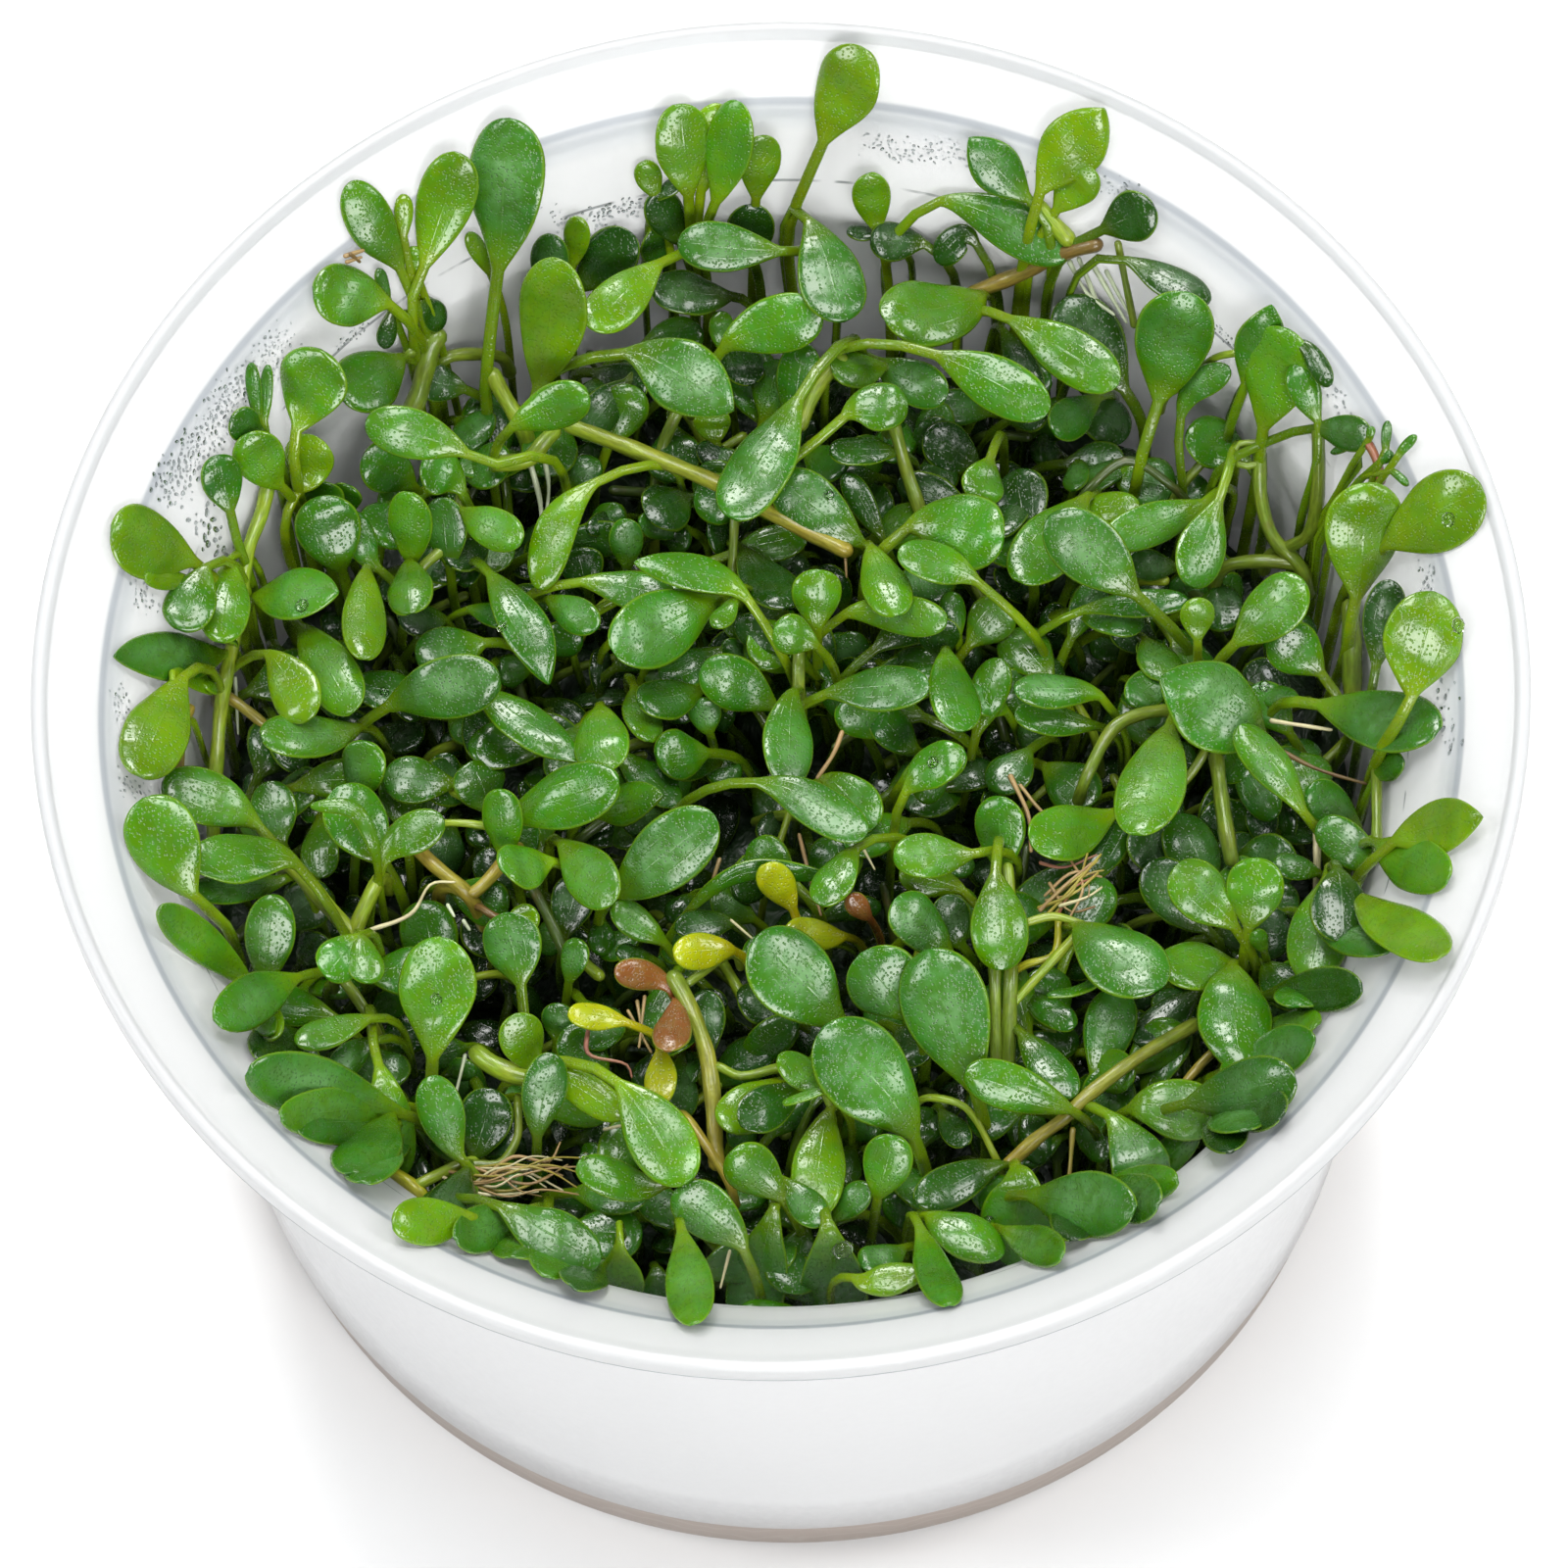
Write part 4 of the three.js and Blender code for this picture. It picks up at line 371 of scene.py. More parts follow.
    ("f37", "d", 2.16, 0.10, 0, 0.25, "round", ((-1.94, 24.78, 40.20), (-2.46, 24.76, 41.04), (-4.96, 25.63, 42.72))),
    ("g1", "p", 4.02, 0.10, 0, 0.25, "round", ((6.43, 16.83, 43.56), (5.39, 17.16, 44.82), (0.34, 21.00, 46.92))),
    ("g2", "d", 2.29, 0.10, 0, 0.25, "round", ((9.02, 24.07, 43.56), (8.22, 23.84, 44.40), (4.11, 23.19, 46.08))),
    ("g3", "d", 1.88, 0.10, 0, 0.25, "round", ((7.60, 17.98, 41.88), (7.16, 18.56, 42.72), (5.06, 22.34, 44.40))),
    ("g6", "b", 5.35, 0.20, 0, 0.6, "round", ((7.69, 15.75, 46.08), (9.95, 16.66, 47.34), (15.47, 14.08, 49.44))),
    ("g7", "b", 2.95, 0.40, 0, 0.25, "round", ((15.65, 24.38, 44.40), (14.86, 21.68, 45.66), (14.19, 18.80, 46.08))),
    ("g8", "d", 2.29, 0.10, 0, 0.25, "round", ((17.85, 22.60, 41.88), (17.46, 21.44, 42.72), (15.44, 17.02, 44.40))),
    ("g9", "b", 3.34, 0.05, 0, 0.6, "round", ((6.55, 15.73, 46.08), (6.78, 14.55, 46.92), (8.18, 9.35, 48.60))),
    ("g10", "b", 2.67, 0.20, 0, 0.25, "round", ((3.23, 10.45, 44.40), (5.01, 11.01, 45.66), (11.50, 9.21, 47.34))),
    ("g11", "b", 3.07, 0.46, 0, 0.25, "round", ((17.12, 9.77, 44.40), (13.89, 11.91, 47.34), (12.59, 12.61, 48.18), (8.44, 13.68, 49.44))),
    ("g12", "g", 2.97, 0.10, 0, 0.25, "round", ((2.31, 26.24, 40.20), (2.97, 25.41, 41.04), (5.07, 23.33, 42.72))),
    ("g13", "g", 1.88, 0.10, 0, 0.25, "round", ((12.31, 10.49, 41.88), (12.21, 10.98, 42.72), (11.77, 12.87, 44.40))),
    ("g14", "d", 3.08, 0.10, 0, 0.25, "round", ((10.90, 8.66, 42.72), (10.91, 8.77, 43.56), (10.99, 9.99, 46.08))),
    ("g15", "g", 3.47, 0.06, 0, 0.25, "round", ((11.37, 8.49, 44.40), (11.45, 6.98, 45.66), (12.19, 0.83, 47.76))),
    ("g16", "p", 3.46, 0.20, 0, 0.25, "round", ((1.67, 4.88, 44.40), (3.90, 4.92, 46.08), (10.01, 3.78, 48.60))),
    ("g17", "g", 2.94, 0.10, 0, 0.25, "round", ((7.11, 3.30, 41.88), (6.59, 3.30, 42.72), (4.06, 4.43, 45.24))),
    ("g18", "g", 2.81, 0.10, 0, 0.25, "round", ((9.40, 2.41, 41.04), (8.74, 2.41, 41.88), (6.38, 4.33, 43.98))),
    ("g19", "b", 2.79, 0.05, 0, 0.25, "round", ((7.94, -1.09, 43.56), (8.49, -1.00, 44.40), (12.26, -0.54, 46.92))),
    ("g20", "p", 2.41, 0.10, 0, 0.25, "round", ((15.42, 5.08, 41.04), (15.02, 5.15, 41.88), (12.92, 5.70, 43.56))),
    ("g21", "p", 2.66, 0.20, 0, 0.5, "round", ((22.57, 3.60, 43.56), (21.40, 4.26, 45.24), (15.92, 3.68, 47.76))),
    ("g21b", "g", 2.40, 0.10, 0, 0.25, "round", ((21.83, 3.33, 41.88), (20.95, 3.12, 42.72), (15.88, 3.04, 45.24))),
    ("g23", "b", 4.42, 0.08, 0, 0.25, "round", ((21.78, 20.21, 43.56), (21.05, 19.08, 44.40), (16.58, 12.29, 46.92))),
    ("g24", "p", 4.54, 0.36, 0, 0.25, "round", ((27.24, 8.83, 44.40), (23.86, 10.87, 48.18), (22.58, 12.00, 49.02), (18.73, 15.16, 50.70))),
    ("g25", "y", 2.42, 0.10, 0, 0.25, "round", ((20.13, 19.70, 41.88), (20.80, 19.55, 42.72), (25.07, 18.80, 44.40))),
    ("g27", "g", 2.14, 0.30, 0, 0.25, "round", ((18.22, 10.54, 42.72), (21.06, 11.07, 44.40), (28.00, 10.66, 46.08))),
    ("g29", "d", 3.52, 0.10, 0, 0.25, "round", ((14.57, 25.12, 38.52), (13.90, 25.19, 39.36), (10.81, 26.91, 41.04))),
    ("g30", "d", 2.29, 0.10, 0, 0.25, "round", ((27.63, 15.96, 40.20), (26.94, 15.73, 41.04), (24.09, 15.26, 42.72))),
    ("g32", "d", 2.68, 0.10, 0, 0.25, "round", ((25.97, 9.67, 40.20), (25.49, 9.66, 41.04), (22.93, 10.85, 43.14))),
    ("g32b", "d", 2.28, 0.10, 0, 0.25, "round", ((27.33, 9.98, 40.20), (26.91, 9.65, 40.62), (24.55, 8.29, 42.72))),
    ("g33", "g", 2.67, 0.10, 0, 0.25, "round", ((26.93, 7.69, 41.88), (26.34, 6.72, 42.72), (23.66, 3.96, 44.40))),
    ("g34", "b", 4.64, 0.20, 0, 0.25, "round", ((26.81, 2.92, 44.40), (25.98, -0.02, 46.92), (23.54, -8.68, 50.28))),
    ("g35", "p", 1.76, 0.10, 0, 0.25, "round", ((21.20, 24.98, 39.36), (21.15, 24.11, 40.20), (20.70, 21.69, 41.46))),
    ("p1", "y", 1.84, 0.10, 0, 0.25, "round", ((-17.45, -34.31, 41.88), (-18.16, -35.01, 42.89), (-19.96, -34.11, 44.40))),
    ("p2", "b", 1.32, 0.10, 0, 0.6, "round", ((31.83, -15.29, 44.82), (31.69, -15.31, 45.66), (31.18, -14.77, 46.92))),
    ("p3", "o", 1.59, 0.10, 0, 0.6, "round", ((5.38, -11.69, 44.82), (5.00, -11.62, 45.66), (3.99, -10.84, 46.92))),
    ("p4", "b", 0.73, 0.15, 0, 0.25, "round", ((41.60, 16.58, 55.00), (41.71, 17.36, 55.51), (41.91, 18.69, 55.94))),
    ("p5", "b", 0.73, 0.15, 0, 0.25, "round", ((42.28, 15.85, 55.50), (42.70, 16.31, 56.01), (43.71, 16.99, 56.94))),
    ("p6", "b", 0.60, 0.15, 0, 0.25, "round", ((41.81, 15.46, 54.83), (42.24, 15.05, 55.17), (43.04, 13.99, 55.43))),
    ("p7", "g", 0.67, 0.15, 0, 0.25, "round", ((40.30, 18.06, 54.25), (39.53, 18.25, 53.51), (38.11, 18.52, 51.77))),
    ("p8", "b", 0.60, 0.10, 0, 0.25, "round", ((40.63, 17.98, 54.67), (40.70, 18.18, 55.01), (40.85, 18.60, 55.35))),
    ("p9", "g", 0.93, 0.05, 0, 0.9, "round", ((41.27, 16.29, 54.42), (41.46, 16.33, 54.76), (42.06, 16.60, 55.35))),
    ("p10", "y", 1.34, 0.12, 0, 0.25, "round", ((-24.41, 36.59, 54.17), (-24.37, 37.08, 54.68), (-24.25, 39.10, 56.29))),
    ("p11", "y", 1.34, 0.10, 0, 0.7, "round", ((-23.62, 35.17, 51.58), (-23.66, 35.36, 52.09), (-23.84, 36.49, 53.44))),
    ("p12", "g", 0.94, 0.10, 0, 0.25, "round", ((-25.69, 33.51, 51.33), (-25.79, 33.78, 51.84), (-26.23, 34.94, 53.44))),
    ("q1", "g", 3.95, 0.10, 0, 0.25, "round", ((29.66, -21.64, 42.72), (30.38, -23.76, 45.24), (30.74, -25.78, 47.50))),
    ("q2", "b", 2.23, 0.10, 0, 0.25, "round", ((23.21, -31.69, 41.30), (24.02, -31.39, 44.40), (26.91, -29.65, 47.34))),
    ("q3", "g", 2.36, 0.10, 0, 0.25, "round", ((16.69, -34.50, 41.88), (18.33, -34.60, 43.56), (22.38, -32.73, 46.50))),
    ("q4", "b", 3.82, 0.10, 0, 0.25, "round", ((-27.25, -22.93, 42.30), (-27.89, -24.96, 43.98), (-27.86, -28.17, 46.08))),
    ("q5", "y", 2.24, 0.10, 0, 0.25, "round", ((-32.68, -21.11, 43.98), (-33.69, -20.35, 41.74), (-33.31, -22.36, 47.50))),
    ("q6", "b", 1.85, 0.10, 0, 0.25, "round", ((-36.89, -14.00, 43.14), (-36.33, -15.63, 44.82), (-35.11, -19.42, 47.50))),
]
# leaves that have a solid of their own in the frame
OWN = set(n[5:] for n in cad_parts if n.startswith("leaf_") and n != "leaf_mat")

# Stems: frame node or "", radius, colour group, points (mm)
STEMS = [
    ("runner_centre_left", 0.559, "yg-yb", ((-14.09, 26.62, 45.24), (-9.11, 24.05, 45.66), (-3.51, 21.15, 45.66), (0.75, 18.52, 45.24), (5.34, 16.09, 44.40))),
    ("runner_node_bundle", 0.592, "yg", ((-19.25, 24.12, 44.40), (-16.53, 24.02, 45.24), (-15.41, 25.32, 45.24), (-14.44, 26.47, 44.82))),
    ("", 0.526, "yb-br", ((14.20, 35.59, 44.40), (17.67, 35.76, 46.83), (21.38, 35.61, 50.42), (23.39, 35.44, 51.58))),
    ("", 0.526, "yg", ((-34.23, 21.93, 48.74), (-34.81, 19.89, 47.49), (-35.92, 17.06, 46.82), (-36.98, 12.68, 43.98), (-37.80, 8.85, 43.98), (-38.23, 6.82, 43.14), (-38.62, 3.24, 42.30), (-38.98, 0.35, 40.62))),
    ("shoot_near_left", 0.658, "yg", ((-21.90, -20.17, 45.24), (-20.28, -21.74, 45.66), (-18.00, -22.71, 45.66), (-14.07, -22.53, 44.82))),
    ("runner_near_centre", 0.592, "ol-yb", ((-8.25, -15.28, 45.66), (-6.96, -18.18, 45.66), (-5.98, -21.47, 44.82), (-5.65, -28.85, 42.72))),
    ("runner_near_right", 0.493, "yb-ol", ((13.56, -29.81, 43.14), (16.01, -28.11, 44.40), (17.70, -27.26, 45.24), (19.07, -26.08, 45.66), (22.84, -23.04, 45.24), (27.28, -20.12, 44.40))),
    ("stem_right", 0.526, "ol", ((29.30, -0.34, 45.24), (29.69, -5.68, 44.82), (30.07, -8.61, 43.98))),
    ("", 0.461, "ol", ((-5.98, 28.35, 43.56), (-7.47, 26.08, 41.46), (-8.12, 22.63, 39.36))),
    ("", 0.329, "ol", ((-2.59, 19.69, 43.98), (-2.98, 15.87, 41.88))),
    ("", 0.461, "ol", ((1.35, 8.60, 44.40), (1.22, 5.90, 43.56))),
    ("", 0.461, "ol", ((8.56, 25.36, 45.24), (9.30, 22.70, 43.56), (10.18, 19.90, 42.30))),
    ("", 0.329, "dk", ((21.66, 20.59, 43.56), (24.43, 22.29, 44.40), (27.71, 20.51, 43.14))),
    ("", 0.461, "ol", ((20.62, -0.96, 43.56), (22.77, 2.23, 44.40), (25.85, 3.59, 43.56))),
    ("", 0.592, "yg", ((18.83, 38.55, 52.28), (20.10, 37.14, 51.52), (21.39, 35.81, 50.76))),
    ("", 0.724, "ol", ((-22.10, 33.36, 47.17), (-22.95, 32.48, 46.75), (-23.93, 29.94, 44.40), (-24.92, 28.57, 42.72))),
    ("", 0.526, "ol", ((-22.93, 32.73, 47.00), (-24.85, 31.41, 47.24))),
    ("", 0.461, "ol", ((-22.04, 32.77, 43.88), (-19.04, 33.87, 41.88))),
    ("", 0.592, "yg", ((-18.99, 30.95, 45.66), (-18.26, 29.45, 44.82), (-17.13, 27.55, 43.98))),
    ("", 0.461, "yb-br", ((-40.00, 5.03, 47.97), (-40.66, 3.19, 48.80), (-41.09, -3.87, 49.79))),
    ("", 0.395, "yb", ((-37.90, 8.40, 42.30), (-35.31, 6.45, 41.46))),
    ("", 0.395, "yg", ((-21.34, 22.10, 43.98), (-21.80, 19.75, 42.72), (-24.24, 17.45, 42.30))),
    ("", 0.263, "ol", ((24.39, 35.31, 52.17), (25.39, 30.97, 47.29))),
    ("", 0.493, "ol", ((33.46, 21.71, 46.92), (33.45, 18.64, 44.82), (34.21, 16.23, 43.56), (35.50, 15.08, 42.72))),
    ("", 0.461, "ol", ((37.34, 20.46, 52.01), (37.19, 17.04, 49.16), (36.50, 15.54, 45.48), (34.87, 15.86, 42.72))),
    ("", 0.263, "yg", ((33.46, 21.81, 47.17), (31.92, 21.79, 46.92), (32.06, 20.57, 46.50), (33.88, 20.71, 46.33))),
    ("", 0.263, "yg", ((28.40, 27.59, 44.73), (30.71, 27.31, 49.49), (32.15, 26.85, 50.99))),
    ("", 0.329, "ol", ((30.53, 22.96, 43.98), (28.22, 21.07, 42.72))),
    ("", 0.461, "ol", ((31.49, 15.32, 41.88), (35.50, 14.91, 42.30))),
    ("", 0.658, "ol", ((39.00, 9.53, 47.59), (39.03, 7.22, 46.24), (38.94, 4.81, 43.56))),
    ("", 0.329, "ol", ((29.00, 0.25, 44.82), (27.58, -1.50, 43.98), (26.20, -2.66, 43.14))),
    ("", 0.395, "ol", ((40.09, -3.03, 47.48), (39.70, -9.50, 48.80))),
    ("", 0.263, "cr", ((35.91, -6.32, 43.98), (35.82, -8.17, 43.56))),
    ("", 0.526, "yb", ((-26.06, -3.92, 45.24), (-24.13, -6.22, 45.24), (-21.90, -8.13, 44.40))),
    ("", 0.263, "yg", ((-23.38, -3.32, 45.24), (-20.40, -3.68, 45.24))),
    ("", 0.526, "yg", ((-27.83, -7.31, 44.82), (-29.64, -10.66, 43.56))),
    ("", 0.395, "ol", ((-30.41, -13.72, 43.14), (-28.85, -15.96, 42.30))),
    ("", 0.592, "yg", ((-33.43, -6.13, 45.24), (-31.53, -8.40, 44.40), (-29.64, -10.66, 43.56))),
    ("", 0.296, "ol", ((-24.24, -30.27, 43.56), (-22.32, -28.25, 43.98), (-20.21, -28.13, 43.98), (-18.96, -26.44, 44.40), (-18.87, -24.10, 44.82))),
    ("", 0.263, "yg", ((-30.90, -21.34, 43.98), (-30.97, -23.32, 43.56), (-31.01, -24.52, 42.72))),
    ("", 0.461, "ye", ((-27.55, -28.44, 43.98), (-25.71, -30.15, 44.40))),
    ("", 0.395, "yg", ((-26.07, -29.84, 44.40), (-22.19, -27.71, 43.56))),
    ("", 0.461, "yb", ((-22.76, -7.53, 43.98), (-21.57, -8.29, 44.40), (-19.86, -6.76, 44.40), (-18.69, -5.01, 43.98))),
    ("", 0.263, "br", ((-20.95, -9.15, 43.98), (-20.16, -9.97, 44.40), (-19.00, -10.42, 43.98))),
    ("", 0.395, "dk", ((-17.57, -7.41, 43.98), (-15.45, -11.86, 42.30))),
    ("", 0.329, "yg", ((-5.28, -22.08, 44.82), (-3.86, -22.87, 44.82), (-1.20, -22.23, 44.40))),
    ("", 0.329, "ol", ((-7.23, -16.35, 45.66), (-4.51, -13.91, 44.82))),
    ("", 0.329, "yb", ((-7.60, -25.35, 43.98), (-5.13, -29.42, 43.14))),
    ("", 0.296, "yg", ((15.73, -13.06, 46.08), (17.73, -12.64, 46.08), (20.01, -13.48, 46.08))),
    ("", 0.329, "yg", ((14.47, -18.63, 44.40), (16.90, -16.22, 45.24), (19.32, -13.96, 46.08))),
    ("", 0.395, "ol", ((13.62, -15.70, 45.24), (13.42, -22.72, 43.14))),
    ("", 0.526, "ol", ((14.74, -15.76, 45.24), (14.13, -22.93, 42.72))),
    ("", 0.263, "ye", ((15.61, -15.41, 44.40), (17.62, -14.97, 44.82), (18.07, -12.44, 44.82))),
    ("", 0.395, "yg", ((14.81, -8.49, 46.08), (15.03, -13.76, 44.82))),
    ("", 0.329, "yb", ((25.73, -24.78, 43.98), (28.17, -22.14, 43.98))),
    ("", 0.263, "yg", ((8.91, -24.88, 44.40), (11.18, -25.71, 44.40), (13.01, -28.84, 43.14))),
    ("", 0.395, "ol", ((16.29, -35.93, 42.56), (19.01, -34.16, 43.14))),
    ("", 0.263, "ol", ((1.69, -24.36, 44.82), (2.27, -26.01, 44.40), (2.18, -27.98, 43.98))),
    ("", 0.493, "yg", ((5.48, 30.09, 46.92), (3.50, 27.91, 46.50), (2.02, 24.80, 46.08))),
    ("", 0.329, "rd", ((40.50, 18.01, 54.34), (41.09, 16.57, 54.17), (41.33, 14.92, 53.74))),
    ("", 0.296, "tn", ((36.20, -16.11, 44.40), (36.02, -16.57, 44.82), (35.86, -16.85, 44.40))),
]
# Roots and fibres: radius, colour group, points (mm)
ROOTS = [
    (0.197, "wh", ((-16.54, 24.23, 44.82), (-15.89, 21.34, 42.72), (-16.61, 16.81, 39.78))),
    (0.164, "wh", ((-15.52, 24.41, 44.82), (-15.30, 22.60, 43.14), (-16.15, 19.18, 41.04))),
    (0.132, "tn", ((4.82, 16.49, 44.40), (4.86, 14.87, 43.14))),
    (0.197, "wh", ((21.03, 35.39, 49.42), (22.29, 33.58, 47.66), (24.10, 32.09, 47.15))),
    (0.197, "wh", ((22.68, 34.67, 49.92), (24.88, 31.44, 47.15))),
    (0.164, "wh", ((23.53, 34.25, 49.92), (25.53, 31.03, 47.15))),
    (0.197, "wh", ((21.70, 35.32, 49.92), (22.81, 33.31, 47.41), (23.57, 32.06, 44.90))),
    (0.164, "cr", ((-28.58, -11.12, 45.24), (-25.56, -10.15, 45.66), (-24.16, -8.22, 46.08), (-22.50, -8.15, 46.08))),
    (0.197, "cr", ((33.06, 1.49, 45.66), (37.33, 0.55, 45.66))),
    (0.197, "br", ((33.62, -0.55, 45.24), (36.19, -2.15, 45.24), (39.45, -3.41, 45.24))),
    (0.197, "yb", ((18.33, -27.68, 44.82), (18.02, -30.17, 43.98), (17.54, -33.19, 42.72))),
    (0.164, "wh", ((-22.25, -20.32, 44.82), (-23.26, -23.69, 43.56))),
    (0.164, "tn", ((-4.57, -6.40, 44.40), (-5.32, -8.37, 43.98))),
    (0.164, "tn", ((0.81, -5.02, 44.82), (1.36, -7.98, 44.82), (2.09, -10.92, 43.98))),
    (0.132, "cr", ((-4.08, -11.04, 44.40), (-2.61, -12.37, 43.98))),
    (0.132, "cr", ((4.78, -5.58, 44.82), (5.87, -7.66, 43.98))),
    (0.197, "tn", ((4.11, 2.36, 45.24), (3.37, 0.75, 44.82), (2.17, -0.84, 44.40))),
    (0.164, "pk", ((-13.95, -18.91, 44.82), (-14.01, -20.72, 44.82), (-11.40, -21.71, 44.82), (-11.11, -22.48, 44.40))),
    (0.132, "tn", ((-10.58, -16.70, 44.40), (-10.29, -19.43, 43.98))),
    (0.132, "tn", ((-11.26, -17.40, 44.40), (-9.74, -20.35, 43.56))),
    (0.132, "tn", ((-10.03, -16.56, 44.82), (-10.58, -20.14, 43.98))),
    (0.164, "tn", ((-23.83, -28.72, 44.40), (-20.88, -29.41, 44.82), (-17.91, -28.79, 44.40), (-15.97, -29.27, 43.98))),
    (0.132, "yb", ((-23.53, -29.46, 44.40), (-19.60, -30.55, 44.82), (-16.28, -29.08, 44.40))),
    (0.132, "cr", ((-22.88, -29.99, 44.40), (-18.90, -29.14, 44.82), (-16.00, -30.35, 43.98))),
    (0.132, "tn", ((-22.17, -28.63, 44.82), (-18.27, -30.11, 44.82), (-15.60, -28.61, 44.40))),
    (0.132, "tn", ((-20.87, -29.05, 44.82), (-19.18, -28.24, 45.24), (-16.90, -28.52, 44.82), (-16.07, -26.93, 44.40))),
    (0.132, "cr", ((-24.17, -29.07, 44.40), (-21.57, -30.67, 44.82), (-17.64, -30.53, 44.40))),
    (0.164, "tn", ((16.79, -11.46, 44.40), (18.52, -10.10, 45.24), (20.59, -8.37, 45.24))),
    (0.132, "tn", ((17.17, -10.38, 44.40), (19.23, -9.04, 45.24), (21.21, -9.30, 44.82))),
    (0.132, "yb", ((17.77, -11.87, 44.40), (19.52, -9.78, 45.24), (20.29, -7.62, 45.24))),
    (0.132, "cr", ((18.12, -11.35, 44.82), (20.13, -10.91, 45.24), (21.17, -10.03, 44.82))),
    (0.132, "tn", ((17.55, -9.49, 44.82), (18.90, -11.75, 44.82), (20.65, -11.28, 44.40))),
    (0.132, "tn", ((18.84, -7.36, 44.82), (19.84, -10.17, 45.24), (18.73, -12.47, 44.82))),
    (0.132, "pk", ((16.96, -7.80, 44.40), (18.59, -8.45, 44.82), (20.96, -7.61, 44.82))),
    (0.197, "tn", ((15.27, -1.50, 45.24), (16.44, -4.87, 45.24), (16.47, -7.05, 44.40))),
    (0.164, "tn", ((15.90, -2.27, 45.24), (17.46, -4.35, 44.82), (19.07, -5.34, 44.40))),
    (0.132, "cr", ((-5.00, -35.36, 44.40), (-5.77, -37.82, 43.56))),
    (0.132, "cr", ((-13.22, -26.20, 44.40), (-10.89, -25.93, 44.82))),
    (0.197, "tn", ((-28.56, 35.09, 55.12), (-27.08, 35.68, 54.87))),
    (0.164, "tn", ((-28.45, 34.76, 54.87), (-27.24, 35.28, 54.62))),
    (0.164, "br", ((-28.15, 35.28, 55.29), (-27.39, 34.97, 54.37))),
    (0.132, "wh", ((-37.22, 10.06, 41.88), (-37.19, 6.40, 40.20))),
    (0.132, "wh", ((-37.70, 9.34, 41.88), (-38.21, 5.70, 40.20))),
    (0.164, "wh", ((-23.16, -9.34, 45.24), (-22.66, -10.39, 45.24))),
    (0.164, "wh", ((-22.14, -10.56, 45.24), (-21.65, -11.26, 44.82))),
    (0.099, "tn", ((-22.61, -29.57, 44.40), (-19.73, -31.16, 45.24), (-17.55, -30.76, 45.24), (-14.95, -30.87, 44.40))),
    (0.099, "cr", ((-21.92, -28.60, 44.40), (-19.80, -29.00, 45.24), (-18.07, -28.29, 45.24), (-15.99, -28.31, 44.40))),
    (0.099, "cr", ((-21.89, -29.68, 44.40), (-20.50, -30.40, 45.24), (-18.76, -29.55, 45.24), (-17.10, -30.27, 44.40))),
    (0.099, "cr", ((-22.22, -29.95, 44.40), (-20.52, -29.11, 45.24), (-18.23, -29.22, 45.24), (-16.96, -27.97, 44.40))),
    (0.132, "tn", ((-21.76, -29.90, 44.40), (-20.20, -29.20, 45.24), (-18.42, -29.06, 45.24), (-16.53, -28.71, 44.40))),
    (0.099, "tn", ((-22.67, -29.57, 44.40), (-20.94, -29.95, 45.24), (-19.15, -29.25, 45.24), (-17.38, -28.67, 44.40))),
    (0.099, "tn", ((-23.47, -29.89, 44.40), (-20.35, -29.98, 45.24), (-17.11, -29.27, 45.24), (-14.36, -28.81, 44.40))),
    (0.099, "yb", ((-23.90, -28.65, 44.40), (-20.34, -29.62, 45.24), (-16.82, -28.49, 45.24), (-14.27, -28.24, 44.40))),
    (0.099, "yb", ((-22.18, -28.59, 44.40), (-19.40, -28.80, 45.24), (-16.79, -29.50, 45.24), (-15.07, -30.36, 44.40))),
    (0.099, "yb", ((-21.87, -28.96, 44.40), (-19.41, -29.23, 45.24), (-16.90, -28.99, 45.24), (-14.45, -29.46, 44.40))),
    (0.099, "tn", ((-21.66, -28.75, 44.40), (-20.15, -29.70, 45.24), (-18.93, -30.76, 45.24), (-17.45, -30.90, 44.40))),
    (0.132, "yb", ((17.84, -10.41, 44.40), (20.35, -9.17, 45.24), (21.35, -8.99, 45.24))),
    (0.099, "rd", ((17.89, -12.17, 44.40), (19.17, -10.28, 45.24), (20.60, -9.40, 45.24))),
    (0.099, "tn", ((18.15, -10.79, 44.40), (20.13, -10.98, 45.24), (20.25, -9.97, 45.24))),
    (0.099, "tn", ((17.23, -10.67, 44.40), (19.42, -10.51, 45.24), (20.26, -9.67, 45.24))),
    (0.132, "yb", ((16.96, -12.12, 44.40), (19.11, -10.20, 45.24), (21.22, -7.74, 45.24))),
    (0.099, "yb", ((17.58, -10.25, 44.40), (18.99, -9.83, 45.24), (20.99, -8.24, 45.24))),
    (0.132, "yb", ((17.14, -11.18, 44.40), (19.36, -10.51, 45.24), (20.95, -9.12, 45.24))),
    (0.132, "yb", ((16.67, -11.23, 44.40), (18.88, -10.70, 45.24), (19.82, -9.07, 45.24))),
]

# ----------------------------------------------------------- mesh builder


